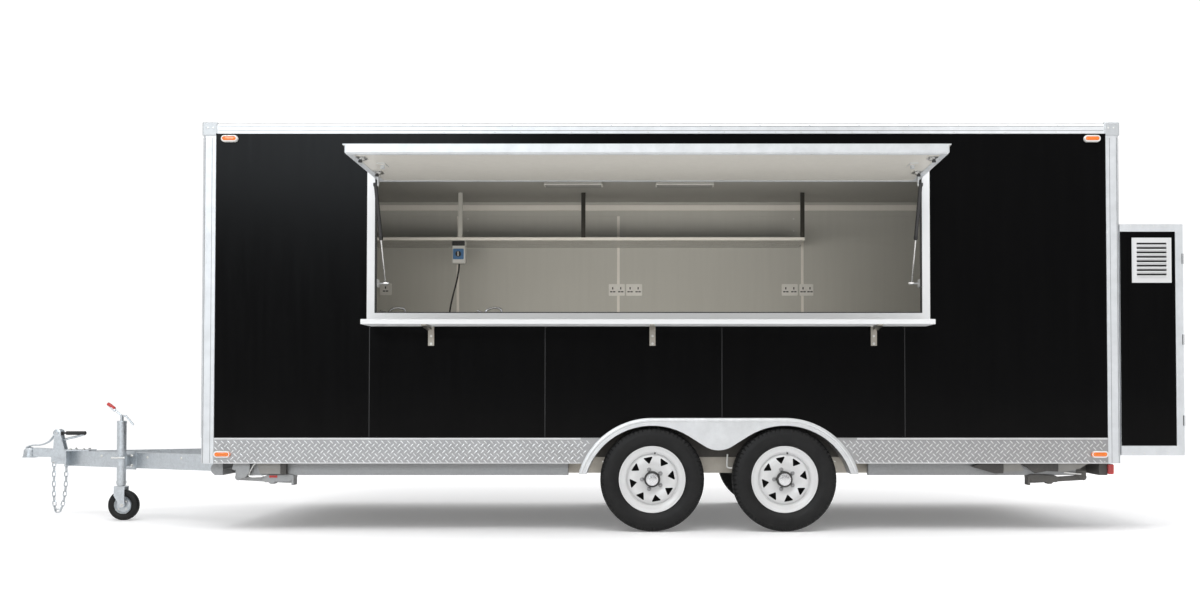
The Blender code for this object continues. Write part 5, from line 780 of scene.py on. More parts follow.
def make_tread_lugs():
    """Raised lugs of the kick plates, woven in two crossing directions, brightened as a painted
    highlight.
    """
    half_x, half_y, low, top = body_span()
    sheet = half_y - SKIN_INSET + 0.0029
    columns = int((2 * (half_x - POST_FACE) - 0.02) / LUG_PITCH) + 1
    for side, way in (("near", -1), ("far", 1)):
        bm = bmesh.new()
        for i in range(columns):
            for j in range(8):
                x = -half_x + POST_FACE + 0.014 + i * LUG_PITCH
                z = low + 0.0125 + j * LUG_PITCH
                under_lamp = abs(abs(x) - LAMP_X) < 0.058 and abs(z - LAMP_Z) < 0.028
                if (i + j) % 2 or z > 0.541 or under_lamp or not arch_clear(x, z, 0.016):
                    continue
                add_lug(bm, spot(x, way * sheet, z), REAR, FAR * way, 1 if j % 2 else -1)
        place_piece("tread_lugs_" + side, bm, "lug", smooth=60)
    bm = bmesh.new()
    front_low, front_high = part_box("kick_front")
    for i in range(int(1.88 / LUG_PITCH)):
        for j in range(7):
            z = front_low.z + 0.012 + j * LUG_PITCH
            if (i + j) % 2 or z > front_high.z - 0.012:
                continue
            add_lug(bm, Vector((front_low.x, MIDDLE_Y - 0.93 + i * LUG_PITCH, z)), FAR, FRONT,
                    1 if j % 2 else -1)
    place_piece("tread_lugs_front", bm, "lug", smooth=60)


def make_kick_edges():
    """Rivets of the side kick plates and the folds along their edges, their brightness a painted
    highlight.
    """
    half_x, half_y, low, top = body_span()
    rivets, folds = bmesh.new(), bmesh.new()
    for node, way in KICK_SIDES:
        box_low, box_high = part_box(node)
        front = "front" in node
        face = MIDDLE_Y + way * (half_y + 0.0004)
        start, end = box_low.x + 0.02, MIDDLE_X - 0.34
        if not front:
            start, end = MIDDLE_X + 1.02, box_high.x - 0.02
        for y, z, pitch in ((face, 0.547, 0.16), (face - way * 0.002, 0.414, 0.32)):
            rivet_row(rivets, (start, y, z), (end, y, z), (0, way, 0), pitch, 0.0038)
        start, end = box_low.x + 0.002, MIDDLE_X - 0.47
        if not front:
            start, end = MIDDLE_X + 1.15, box_high.x - 0.002
        add_slab(folds, (start, low + 0.0005), (end, low + 0.0060), face - way * 0.002,
                 way * 0.0022, 0.0008)
        add_slab(folds, (start, 0.5425), (end, 0.5526), face, way * 0.0016, 0.0006)
    place_piece("kick_rivets", rivets, "bolt")
    place_piece("kick_folds", folds, "lug")


def add_lens(bm, centre, out, along, width, height, proud):
    """Domed lens on an oval outline."""
    out, along = Vector(out).normalized(), Vector(along).normalized()
    up = out.cross(along)
    rings = []
    for share, rise in ((1.0, 0.0), (1.0, 0.55), (0.90, 0.85), (0.6, 1.0)):
        rings.append([bm.verts.new(centre + along * (u * share) + up * (v * share)
                                   + out * (proud * rise))
                      for u, v in rounded(width, height, height * 0.48)])
    skin_rings(bm, rings)
    cap_rings(bm, rings)


def add_bezel(bm, centre, out, along, width, height, border, depth):
    """Oval ring with a rounded face."""
    out, along = Vector(out).normalized(), Vector(along).normalized()
    up = out.cross(along)
    rings = []
    for grow, rise in ((0.0, 0.0), (0.0, 0.7), (-0.35, 1.0), (-0.75, 1.0), (-1.0, 0.75),
                       (-1.0, 0.3)):
        w, h = width + 2 * border * grow, height + 2 * border * grow
        rings.append([bm.verts.new(centre + along * u + up * v + out * (depth * rise))
                      for u, v in rounded(w, h, h * 0.48)])
    skin_rings(bm, rings + rings[:1])


def make_marker_lamps():
    """Amber side lamps: pale bezel and domed lens."""
    half_x, half_y, low, top = body_span()
    bezel, glass = bmesh.new(), bmesh.new()
    for way in (-1, 1):
        for end in (-1, 1):
            for x, z, depth in ((LAMP_X, LAMP_Z, 0.016),
                                (UPPER_LAMP_X, UPPER_LAMP_Z, 0.0235 if way < 0 else 0.016)):
                centre = spot(end * x, way * (half_y - SKIN_INSET), z)
                add_bezel(bezel, centre, FAR * way, REAR, 0.098, 0.040, 0.010, depth - 0.001)
                add_lens(glass, centre + FAR * way * (depth - 0.010), FAR * way, REAR, 0.079,
                         0.022, 0.011)
    place_piece("marker_bezels", bezel, "white_plastic")
    place_piece("marker_lenses", glass, "amber_lens")


def make_front_fittings():
    """Clear front marker lamps and the power inlet with its cover."""
    half_x, half_y, low, top = body_span()
    skin = SKIN_INSET - half_x
    bezel, glass = bmesh.new(), bmesh.new()
    for y in (-0.90, 0.90):
        centre = spot(skin, y, 2.29)
        add_bezel(bezel, centre, FRONT, FAR, 0.098, 0.040, 0.010, 0.012)
        add_lens(glass, centre + FRONT * 0.004, FRONT, FAR, 0.079, 0.022, 0.010)
    place_piece("front_bezels", bezel, "white_plastic")
    place_piece("front_lenses", glass, "clear_lens")
    bm = bmesh.new()
    centre = spot(skin, 0.72, 0.86)

    def on_front(u, v, out):
        return centre + Vector((-out, u, v))
    add_outline(bm, rounded(0.150, 0.170, 0.014), 0.0, 0.010, on_front)
    add_outline(bm, rounded(0.120, 0.140, 0.012), 0.010, 0.026, on_front)
    add_outline(bm, rounded(0.100, 0.016, 0.006), 0.026, 0.031,
                lambda u, v, out: on_front(u, v - 0.050, out))
    add_rod(bm, centre + Vector((-0.020, -0.055, 0.072)), centre + Vector((-0.020, 0.055, 0.072)),
            0.006)
    for u in (-0.062, 0.062):
        for v in (-0.074, 0.074):
            add_rivet(bm, centre + Vector((-0.010, u, v)), FRONT, 0.004)
    place_piece("power_inlet", bm, "white_plastic")


def make_window_seals():
    """Gasket inside the window frame, mitre lines at its upper corners, outer joints."""
    bm = bmesh.new()
    low_x, high_x, low_z, high_z = -1.6805, 1.5345, 1.285, 2.115
    face, line, side_line, wide = -1.062, 0.006, 0.011, 0.046
    for x in (low_x, high_x - side_line):
        add_block(bm, spot(x, face + 0.002, low_z), spot(x + side_line, face + 0.012, high_z),
                  0.001)
    for z in (low_z, high_z - line):
        add_block(bm, spot(low_x, face + 0.002, z), spot(high_x, face + 0.012, z + line), 0.001)
    for x, way in ((low_x, -1), (high_x, 1)):
        corner = spot(x, face - 0.0003, high_z)
        far = corner + Vector((way * wide, 0, wide))
        side = Vector((way, 0, -1)).normalized() * 0.0005
        bm.faces.new([bm.verts.new(p) for p in (corner - side, corner + side, far + side,
                                                far - side)])
    for x in (low_x - wide - 0.004, high_x + wide):
        add_block(bm, spot(x, -1.0475, 1.245), spot(x + 0.004, -1.0442, 2.161), 0.0004)
    place_piece("window_seals", bm, "rubber")


def make_roof_details():
    """Cover strips over the joints of the roof sheet, with their rivets."""
    half_x, half_y, low, top = body_span()
    skin = top - SKIN_INSET
    strip = skin + 0.0022
    bm = bmesh.new()
    for x in SEAM_PLACES:
        add_block(bm, spot(x - 0.020, 0.07 - half_y, skin), spot(x + 0.020, half_y - 0.07, strip),
                  0.0008)
        rivet_row(bm, spot(x, 0.10 - half_y, strip), spot(x, half_y - 0.10, strip), UP, 0.15)
    place_piece("roof_strips", bm, "trim")


# Running gear
WHEEL_SPOTS = (("near_front", NEAR), ("near_rear", NEAR), ("far_front", FAR), ("far_rear", FAR))
TREAD_BLOCKS = 68
GROOVE_SHARES = (0.0, 0.09, 0.18, 0.59)
GROOVE_DEPTHS = {"plain": 0.0, "notch": 0.0058, "rib": 0.0026, "sipe": 0.0026}
# Height and radius of the tyre's outline, as shares of its half width and its radius
SIDEWALL = ((0.66, 0.600), (0.70, 0.640), (0.80, 0.652), (0.845, 0.672), (0.870, 0.690),
            (0.905, 0.702), (0.920, 0.712), (0.965, 0.745), (0.990, 0.780), (1.000, 0.815),
            (0.992, 0.850), (0.972, 0.880), (0.965, 0.884), (0.960, 0.898), (0.945, 0.915))
SHOULDER = ((0.915, 0.935), (0.880, 0.955), (0.830, 0.974), (0.760, 0.987), (0.690, 0.9925),
            (0.600, 0.9945))


def wheel_middle(label):
    """Centre, radius and half width of a road tyre."""
    low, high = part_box("tyre_" + label)
    return (low + high) / 2, (high.z - low.z) / 2, (high.y - low.y) / 2


def tyre_section(radius, half):
    """Height, radius and kind of each point from the inner bead to the outer one."""
    side = [(h, r, "plain") for h, r in SIDEWALL] + [(h, r, "notch") for h, r in SHOULDER]
    deep, wall = 0.022, 0.015
    crown = [(0.262, 0.9975, "rib")]
    for outer, inner in ((0.560, 0.470), (0.250, 0.160)):
        crown += [(outer, 0.9955, "plain"), (outer - wall, 0.9955 - deep, "plain"),
                  (inner + wall, 0.9965 - deep, "plain"), (inner, 0.9975, "rib")]
    crown.sort(key=lambda point: -point[0])
    near_half = side + crown
    middle = [(-0.10, 0.9985, "sipe"), (0.0, 1.0, "sipe"), (0.10, 0.9985, "sipe")]
    whole = [(-h, r, kind) for h, r, kind in near_half] + middle + near_half[::-1]
    return [(h * half, r * radius, kind) for h, r, kind in whole]


def make_tyres():
    """Road tyres: round carcass, grooved ribs, notched shoulders and a rim guard."""
    for label, out in WHEEL_SPOTS:
        centre, radius, half = wheel_middle(label)
        section = tyre_section(radius, half)
        bm = bmesh.new()
        rings = []
        for block in range(TREAD_BLOCKS):
            for n, share in enumerate(GROOVE_SHARES):
                ring = []
                for h, r, kind in section:
                    lean = abs(h) / half * 0.35 if kind in ("rib", "sipe") else 0.0
                    angle = 2 * pi * (block + share + lean) / TREAD_BLOCKS
                    deep = GROOVE_DEPTHS[kind] if n == 1 else 0.0
                    ring.append(bm.verts.new(centre + out * h + on_circle(angle) * (r - deep)))
                rings.append(ring)
        skin_rings(bm, rings + rings[:1])
        piece = place_piece("road_tyre_" + label, bm, "tyre", body="road_wheel_" + label,
                            smooth=32)
        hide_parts("tyre_" + label)


WHEEL_SECTION = (
    (0.0300, 0.0430), (0.0500, 0.0440), (0.0750, 0.0440), (0.0840, 0.0455), (0.0980, 0.0535),
    (0.1125, 0.0570), (0.1270, 0.0545), (0.1385, 0.0480), (0.1450, 0.0440), (0.1466, 0.0390),
    (0.1500, 0.0385), (0.1515, 0.0430), (0.1530, 0.0500), (0.1575, 0.0575), (0.1650, 0.0622),
    (0.1735, 0.0640), (0.1800, 0.0665), (0.1865, 0.0715), (0.1915, 0.0750), (0.1945, 0.0757),
    (0.1965, 0.0738), (0.1965, 0.0700), (0.1945, 0.0680), (0.1932, 0.0640), (0.1830, 0.0630),
    (0.1815, -0.0640), (0.1955, -0.0645), (0.1955, -0.0720), (0.1900, -0.0750),
    (0.1800, -0.0700), (0.1760, -0.0660), (0.1720, -0.0550), (0.1600, -0.0300),
    (0.1520, -0.0220), (0.1520, 0.0200), (0.1480, 0.0340), (0.1385, 0.0410), (0.1270, 0.0480),
    (0.1125, 0.0505), (0.0980, 0.0470), (0.0840, 0.0385), (0.0500, 0.0375), (0.0300, 0.0365),
    (0.0300, 0.0430))
WINDOW_TURN = radians(11)
STUD_RING = 0.060


def pressed_wheel():
    """Steel wheel about the origin, its outer face towards Z, with eight windows."""
    bm = bmesh.new()
    add_turned(bm, WHEEL_SECTION, (0, 0, 0), UP, 96)
    bmesh.ops.remove_doubles(bm, verts=bm.verts, dist=1e-6)
    bmesh.ops.recalc_face_normals(bm, faces=bm.faces)
    cutter = bmesh.new()
    for i in range(8):
        turn = WINDOW_TURN + pi / 4 * i
        add_outline(cutter, window_outline(), 0.02, 0.08, lambda r, u, h: Vector(
            (r * cos(turn) - u * sin(turn), r * sin(turn) + u * cos(turn), h)))
    bmesh.ops.recalc_face_normals(cutter, faces=cutter.faces)
    objects = []
    for name, shape in (("wheel_blank", bm), ("window_cutter", cutter)):
        mesh = bpy.data.meshes.new(name)
        shape.to_mesh(mesh)
        shape.free()
        objects.append(link_new(name, mesh))
    blank, tool = objects
    cut = blank.modifiers.new("windows", "BOOLEAN")
    cut.operation = "DIFFERENCE"
    cut.solver = "EXACT"
    cut.object = tool
    bpy.context.view_layer.update()
    whole = blank.evaluated_get(bpy.context.evaluated_depsgraph_get())
    result = bpy.data.meshes.new_from_object(whole)
    for made in objects:
        bpy.data.objects.remove(made, do_unlink=True)
    return result


def window_outline():
    """Rounded triangle that points at the hub, as radius and width pairs."""
    corners = ((0.1272, 0.0215), (0.1272, -0.0215), (0.0975, 0.0))
    around = ((125, 0), (0, -125), (-125, -235))
    outline = []
    soft = 0.0042
    for (r, u), (start, end) in zip(corners, around):
        for k in range(5):
            angle = radians(start + (end - start) * k / 4)
            outline.append((r + soft * cos(angle), u + soft * sin(angle)))
    return outline


def make_steel_wheels():
    """Pressed steel wheels with round rims and eight windows, and the drums behind."""
    blank = pressed_wheel()
    for label, out in WHEEL_SPOTS:
        centre, radius, half = wheel_middle(label)
        turn = Matrix((REAR, out.cross(REAR), out)).transposed().to_4x4()
        bm = bmesh.new()
        bm.from_mesh(blank)
        bmesh.ops.transform(bm, matrix=Matrix.Translation(centre) @ turn, verts=bm.verts)
        piece = place_piece("steel_wheel_" + label, bm, "white_wheel",
                            body="road_wheel_" + label)
        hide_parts("wheel_" + label)
        # Brake drum behind the windows, near-black: its own dark steel with painted shade.
        bm = bmesh.new()
        add_turned(bm, [(0, 0.029), (0.105, 0.029), (0.112, 0.025), (0.138, 0.021),
                        (0.146, 0.016), (0.1475, 0.010), (0.1475, -0.014), (0.140, -0.0185),
                        (0.060, -0.021), (0, -0.021)], centre, out, 64)
        place_piece("brake_drum_" + label, bm, "drum", body="road_wheel_" + label)


def make_wheel_fittings():
    """Studs with nuts, black hub ring, bright cap and valve."""
    for label, out in WHEEL_SPOTS:
        centre, radius, half = wheel_middle(label)
        body = "road_wheel_" + label
        face = centre + out * 0.043
        bm = bmesh.new()
        for i in range(5):
            foot = face - out * 0.001 + on_circle(pi + 2 * pi * i / 5) * STUD_RING
            add_turned(bm, [(0.0125, 0), (0.0125, 0.002), (0.0098, 0.004)], foot, out, 16)
            add_turned(bm, [(0.0102, 0.003), (0.0102, 0.012), (0.0088, 0.0145), (0.0052, 0.0150),
                            (0.0052, 0.0185), (0.0040, 0.0195), (0, 0.0195)], foot, out, 6)
        place_piece("wheel_nuts_" + label, bm, "stud", body=body)
        bm = bmesh.new()
        add_turned(bm, [(0.0475, -0.001), (0.0478, 0.004), (0.0466, 0.0285), (0.0445, 0.0312),
                        (0.0380, 0.0318), (0.0368, 0.0300)], face, out, 40)
        place_piece("hub_ring_" + label, bm, "black_plastic", body=body)
        bm = bmesh.new()
        add_turned(bm, [(0.0372, 0.0295), (0.0368, 0.0385), (0.0345, 0.0418), (0.0300, 0.0424),
                        (0.0270, 0.0421), (0.0250, 0.0428), (0.0120, 0.0436), (0, 0.0437)],
                   face, out, 40)
        for i in range(3):
            add_rivet(bm, face + out * 0.0424 + on_circle(pi / 2 + 2 * pi * i / 3) * 0.031, out,
                      0.0022, 0.0012)
        place_piece("hub_cap_" + label, bm, "hub_cap", body=body)
        bm = bmesh.new()
        spoke = on_circle(radians(84))
        foot = face - out * 0.010 + spoke * 0.166
        lean = out * 0.9 - spoke * 0.35
        add_turned(bm, [(0.0078, 0), (0.0078, 0.006), (0.0052, 0.010), (0.0046, 0.026),
                        (0.0040, 0.027)], foot, lean, 12)
        add_turned(bm, [(0.0042, 0.026), (0.0046, 0.027), (0.0046, 0.036), (0.0038, 0.0375),
                        (0, 0.0375)], foot, lean, 8)
        place_piece("valve_" + label, bm, "rubber", body=body)


def outer_arch(radius):
    """Points over both arches of a twin mudguard and the level between them."""
    points = []
    for centre, begin in zip(ARCH_PLACES, (186, 90)):
        for i in range(49):
            angle = radians(begin - 96 * i / 48)
            points.append((centre + radius * cos(angle), ARCH_HEIGHT + radius * sin(angle)))
    return points


# Radius and rise of the mudguard's rolled lip, from its outer edge inwards
LIP_SECTION = ((0.4462, 0.0), (0.4446, 0.0032), (0.4412, 0.0054), (0.4358, 0.0062),
               (0.4304, 0.0052), (0.4272, 0.0028), (0.4258, 0.0))


def make_guard_trim():
    """Rolled edge and rivets of the twin mudguards."""
    for label, way in (("near", -1), ("far", 1)):
        low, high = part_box("mudguard_" + label)
        face = low.y if way < 0 else high.y

        def arch(radius, rise=0.0):
            return [Vector((MIDDLE_X + x, face + way * rise, z)) for x, z in outer_arch(radius)
                    if z > low.z + 0.004]
        bm = bmesh.new()
        add_tube(bm, arch(0.4465), 0.0034, 8)
        place_piece("guard_bead_" + label, bm, "guard", smooth=60)
        bm = bmesh.new()
        bands = [arch(radius, rise) for radius, rise in LIP_SECTION]
        shortest = min(len(band) for band in bands)
        rings = [[bm.verts.new(point) for point in band[:shortest]] for band in bands]
        skin_rings(bm, rings + rings[:1], around=False)
        for i in (0, -1):
            bm.faces.new([ring[i] for ring in rings])
        place_piece("guard_lip_" + label, bm, "guard", smooth=60)
        bm = bmesh.new()
        for i, (x, z) in enumerate(outer_arch(0.4165)):
            if i % 6 == 3 and z > low.z + 0.02:
                add_rivet(bm, Vector((MIDDLE_X + x, face, z)), (0, way, 0), 0.0042)
        place_piece("guard_rivets_" + label, bm, "bolt")


def make_axle_fittings():
    """Bolts on both axles' clamps and the brake cables that run to the drawbar."""
    bolts, cable = bmesh.new(), bmesh.new()
    for label in ("front", "rear"):
        wheel, radius, half = wheel_middle("near_" + label)
        for way in (-1, 1):
            for dx in (-0.034, 0.034):
                add_bolt(bolts, Vector((wheel.x + dx, MIDDLE_Y + way * 0.735, 0.395)), UP, 0.008,
                         0.007)
            drum = Vector((wheel.x, MIDDLE_Y + way * 0.83, wheel.z + 0.06))
            route = smooth_route([drum, drum + Vector((-0.05, -way * 0.06, 0.05)),
                                  Vector((wheel.x - 0.10, MIDDLE_Y + way * 0.60, 0.385)),
                                  Vector((wheel.x - 0.30, MIDDLE_Y + way * 0.25, 0.375)),
                                  Vector((wheel.x - 0.62, MIDDLE_Y + way * 0.03, 0.375))])
            add_tube(cable, route, 0.0045, 8)
    place_piece("axle_bolts", bolts, "bolt")
    place_piece("brake_cables", cable, "rubber", smooth=60)


# Hatch, shelf and the service window
HATCH_LEAN = radians(1.0)
HATCH_UNDER = 0.0502  # underside of the hatch, below its top skin
HATCH_WALL = 0.006
HINGE_EDGE = 1.05  # the hinge's line, from the centre plane
INNER_WALL = 1.0057  # the far wall's lining, from the centre plane


def from_hatch():
    """Turns x, reach from the hinge edge and drop below the top skin into places."""
    low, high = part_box("hatch")
    origin = Vector((0, MIDDLE_Y - HINGE_EDGE, 2.110))
    out = Vector((0, -cos(HATCH_LEAN), sin(HATCH_LEAN)))
    down = Vector((0, -sin(HATCH_LEAN), -cos(HATCH_LEAN)))
    turn = Matrix((REAR, out, down)).transposed().to_4x4()
    return Matrix.Translation(origin) @ turn, low.x + 0.015, high.x - 0.015, 0.814


def place_on_hatch(name, bm, finish, turn):
    """Turns a mesh from the hatch's own measures into place and lets it ride there."""
    bmesh.ops.transform(bm, matrix=turn, verts=bm.verts)
    place_piece(name, bm, finish, body="hatch")


def make_hatch_details():
    """Border rails under the hatch with their rivets, and the lip along its edge."""
    turn, start, end, reach = from_hatch()
    wide = 0.034
    under, skin = HATCH_UNDER, HATCH_UNDER + 0.0024
    bm = bmesh.new()
    for y in (reach - wide, HATCH_WALL):
        add_block(bm, (start, y, under), (end, y + wide, skin), 0.0008)
    for x in (start, end - wide):
        add_block(bm, (x, HATCH_WALL + wide, under), (x + wide, reach - wide, skin), 0.0008)
    place_on_hatch("hatch_border", bm, "trim", turn)
    bm = bmesh.new()
    count = 24
    for i in range(count):
        x = start + 0.05 + (end - start - 0.10) * i / (count - 1)
        for y in (HATCH_WALL + wide / 2, reach - wide / 2):
            add_rivet(bm, (x, y, skin), UP, 0.004)
    for i in range(1, 6):
        for x in (start + wide / 2, end - wide / 2):
            add_rivet(bm, (x, reach * i / 6, skin), UP, 0.004)
    place_on_hatch("hatch_rivets", bm, "bolt", turn)
    bm = bmesh.new()
    add_block(bm, (start - 0.0155, reach + 0.0001, 0.0004), (end + 0.0155, reach + 0.0011, 0.0060),
              0.0003)
    place_on_hatch("hatch_lip_edge", bm, "bracket", turn)


def make_hatch_latches():
    """Cam latches near the hatch's side edges, with their round keeper knobs."""
    turn, start, end, reach = from_hatch()
    plates, knobs = bmesh.new(), bmesh.new()
    under = HATCH_UNDER
    for x, way in ((start + 0.062, 1), (end - 0.062, -1)):
        for y in (0.700, 0.300):
            add_outline(plates, rounded(0.048, 0.090, 0.008), under, under + 0.004,
                        lambda u, v, out: Vector((x + u, y + v, out)))
            add_turned(plates, [(0.015, 0), (0.015, 0.010), (0.011, 0.013), (0, 0.013)],
                       (x, y, under + 0.003), UP, 20)
            add_block(plates, (x - 0.005, y - 0.004, under + 0.014),
                      (x + 0.005, y + 0.052, under + 0.0185), 0.0016)
            add_turned(knobs, [(0.006, 0), (0.006, 0.004), (0.0105, 0.007), (0.0115, 0.012),
                               (0.0095, 0.0165), (0, 0.018)], (x, y + 0.045, under + 0.017), UP, 16)
            for dv in (-0.036, 0.036):
                add_rivet(knobs, (x + way * 0.012, y + dv, under + 0.004), UP, 0.0034)
    place_on_hatch("hatch_latches", plates, "stainless", turn)
    place_on_hatch("latch_knobs", knobs, "black_plastic", turn)


def make_hatch_hinge():
    """Long knuckled hinge along the top of the window."""
    low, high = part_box("hatch")
    bm = bmesh.new()
    count = 46
    start, end = low.x + 0.01, high.x - 0.01
    step = (end - start) / count
    y, z = MIDDLE_Y - HINGE_EDGE - 0.0045, 2.1205
    for i in range(count):
        add_rod(bm, (start + step * i + 0.0009, y, z), (start + step * (i + 1) - 0.0009, y, z),
                0.0048, 10)
    face = MIDDLE_Y - 1.0457
    add_block(bm, (start, face - 0.0016, z + 0.002), (end, face - 0.0002, z + 0.032), 0.0004)
    rivet_row(bm, (start + 0.03, face - 0.0016, z + 0.022), (end - 0.03, face - 0.0016, z + 0.022),
              NEAR, 0.12, 0.0036)
    place_piece("hatch_hinge_knuckles", bm, "trim")


STUD_SECTION = ((0.0115, 0.0125), (0.0115, 0.0155), (0.0070, 0.0165), (0.0070, 0.0190),
                (0, 0.0205))


def make_strut_ends():
    """Studs at both ends of each gas strut and the collar at the tube's mouth."""
    feet = bmesh.new()
    for label, way in (("front", 1), ("rear", -1)):
        tube_low, tube_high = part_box("strut_tube_" + label)
        rod_low, rod_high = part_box("strut_rod_" + label)
        x = (tube_low.x + tube_high.x) / 2
        lower = Vector((x, rod_high.y - 0.011, rod_low.z + 0.011))
        upper = Vector((x, MIDDLE_Y - 1.25, 2.010))
        add_turned(feet, STUD_SECTION, lower, REAR * way, 14)
        stud = bmesh.new()
        add_turned(stud, STUD_SECTION, upper, REAR * way, 14)
        place_piece("strut_stud_" + label, stud, "bolt", body="hatch")
        collar = bmesh.new()
        axis = (upper - lower).normalized()
        add_turned(collar, [(0.0055, -0.006), (0.0100, -0.005), (0.0117, 0.0), (0.0117, 0.020),
                            (0.0110, 0.021)], upper - axis * 0.330, axis, 20)
        place_piece("strut_collar_" + label, collar, "rubber", body="strut_tube_" + label)
    place_piece("strut_foot_studs", feet, "bolt")


def make_shelf_details():
    """Bright nosing of the serving shelf and the bolts of its folding brackets."""
    low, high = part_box("serving_shelf")
    foot, head = high.z - 0.0285, high.z - 0.0015
    bm = bmesh.new()
    for x0, x1, y0, y1 in (
            (low.x + 0.002, high.x - 0.002, low.y - 0.0012, low.y + 0.003),
            (low.x - 0.0012, low.x + 0.002, low.y + 0.003, high.y - 0.012),
            (high.x - 0.002, high.x + 0.0012, low.y + 0.003, high.y - 0.012)):
        add_block(bm, (x0, y0, foot), (x1, y1, head), 0.0008)
    place_piece("shelf_nosing", bm, "white_powder", body="serving_shelf")
    bm = bmesh.new()
    for x in (-1.349, -0.049, 1.251):
        for z in (1.205, 1.150, 1.105):
            add_bolt(bm, (MIDDLE_X + x, NEAR_SKIN - 0.006, z), NEAR, 0.0055, 0.004)
    place_piece("bracket_bolts", bm, "bolt")


# Inside the cabin
def add_socket(bm, holes, centre, width, gangs):
    """Wall socket plate with rockers and pin holes, facing the window."""
    def on_wall(u, v, out):
        return centre + Vector((u, -out, v))
    add_outline(bm, rounded(width, 0.088, 0.006), 0.0, 0.007, on_wall)
    add_outline(bm, rounded(width - 0.006, 0.082, 0.005), 0.007, 0.010, on_wall)
    for g in range(gangs):
        middle = (g - (gangs - 1) / 2) * (width / gangs)
        add_outline(bm, rounded(0.016, 0.022, 0.002), 0.010, 0.0135,
                    lambda u, v, out: on_wall(u + middle + 0.014, v + 0.026, out))
        # Pin holes as black patches on the plate: painted shade in the holes.
        for u, v, w, h in ((0.0, 0.012, 0.0045, 0.009), (-0.011, -0.014, 0.009, 0.0045),
                           (0.011, -0.014, 0.009, 0.0045)):
            add_block(holes, centre + Vector((middle + u - w, -0.0106, v - h)),
                      centre + Vector((middle + u + w, -0.0095, v + h)))
    for u in (-width / 2 + 0.006, width / 2 - 0.006):
        add_rivet(bm, centre + Vector((u, -0.010, 0)), NEAR, 0.0026, 0.0010)


def make_sockets():
    """Wall sockets above the far worktop and the one beside the window."""
    inner = MIDDLE_Y + INNER_WALL
    plates, holes = bmesh.new(), bmesh.new()
    for x, z, width, gangs in ((-0.330, 1.587, 0.120, 2), (-0.200, 1.587, 0.120, 2),
                               (0.965, 1.587, 0.120, 2), (1.090, 1.587, 0.104, 2),
                               (-2.060, 1.592, 0.088, 1)):
        add_socket(plates, holes, Vector((MIDDLE_X + x, inner, z)), width, gangs)
    place_piece("wall_sockets", plates, "white_plastic")
    place_piece("socket_holes", holes, "black_plastic")


def make_coving():
    """Coving under the far wall's ceiling edge, strips over the wall and ceiling joints."""
    face = MIDDLE_Y + INNER_WALL - 0.0004
    start, end, low, high = MIDDLE_X - 2.6537, MIDDLE_X + 2.6537, 2.140, 2.2255
    # The coving and, below, the joint strips take the lining's white brightened: painted highlight.
    bm = bmesh.new()
    add_slab(bm, (start, low + 0.042), (end, high), face, -0.0086, 0.002)
    place_piece("coving", bm, "coving")
    bm = bmesh.new()
    add_slab(bm, (start, low), (end, low + 0.0418), face, -0.0026, 0.001)
    place_piece("coving_skirt", bm, "white_lining")
    bm = bmesh.new()
    for x in (-1.52, -0.318, 1.060, 2.02):
        add_slab(bm, (MIDDLE_X + x - 0.010, 1.347), (MIDDLE_X + x + 0.010, 2.176), face, -0.0024,
                 0.0008)
    place_piece("joint_strips", bm, "coving")
    # The ceiling strips take the ceiling's painted shade.
    bm = bmesh.new()
    for x in (-1.8, 1.8):
        add_block(bm, spot(x - 0.012, -0.95, 2.2440), spot(x + 0.012, 0.95, 2.2454), 0.0006)
    place_piece("ceiling_strips", bm, "ceiling")


def make_ceiling_lights():
    """Ribbed diffusers of the two ceiling lights in their white trays."""
    trays, glow = bmesh.new(), bmesh.new()
    for x, y in ((-0.594, 0.105), (0.162, 0.105)):
        middle = spot(x, y, 2.2457)

        def under(u, v, drop):
            return middle + Vector((u, v, -0.0215 - drop))
        add_outline(trays, rounded(0.398, 0.118, 0.012), -0.004, 0.0015, under)
        add_outline(glow, rounded(0.376, 0.096, 0.010), 0.0015, 0.0075, under)
        add_outline(glow, rounded(0.360, 0.080, 0.010), 0.0075, 0.0098, under)
    place_piece("light_trays", trays, "white_plastic")
    place_piece("light_diffusers", glow, "diffuser")


def make_shelf_supports():
    """Rolled nosing of the wall shelf, bright white as a painted highlight, and the bolts of its
    hangers.
    """
    bm = bmesh.new()
    add_block(bm, spot(-2.100, 0.5336, 1.9036), spot(1.025, 0.5348, 1.9248), 0.0004)
    place_piece("wall_shelf_nosing", bm, "coving")
    bm = bmesh.new()
    for x in (-1.445, -0.568, 0.995):
        for z in (1.945, 2.03, 2.12):
            add_bolt(bm, spot(x, INNER_WALL - 0.006, z), NEAR, 0.0050, 0.004)
    place_piece("hanger_bolts", bm, "bolt")


def make_switch_details():
    """Breaker window with its levers and the rotary knob on the switch box."""
    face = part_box("switch_box")[0].y
    centre_x = MIDDLE_X - 1.442
    dark, blue, pale = bmesh.new(), bmesh.new(), bmesh.new()

    def on_box(u, v, out):
        return Vector((centre_x + u, face - out, v))
    add_outline(dark, [(u, v + 1.882) for u, v in rounded(0.090, 0.034, 0.004)], 0.0, 0.004,
                on_box)
    add_outline(blue, [(u, v + 1.806) for u, v in rounded(0.076, 0.076, 0.006)], 0.0, 0.005,
                on_box)
    for i in range(4):
        u = -0.030 + 0.020 * i
        add_block(dark, Vector((centre_x + u - 0.006, face - 0.0065, 1.873)),
                  Vector((centre_x + u + 0.006, face - 0.003, 1.892)), 0.0006)
    add_turned(dark, [(0.020, 0.004), (0.020, 0.016), (0.017, 0.019), (0, 0.019)],
               Vector((centre_x, face, 1.806)), NEAR, 28)
    add_block(pale, Vector((centre_x - 0.003, face - 0.022, 1.790)),
              Vector((centre_x + 0.003, face - 0.018, 1.822)), 0.001)
    place_piece("breaker_window", dark, "black_plastic")
    place_piece("breaker_levers", pale, "white_plastic")
    place_piece("switch_knob", blue, "blue_plastic")


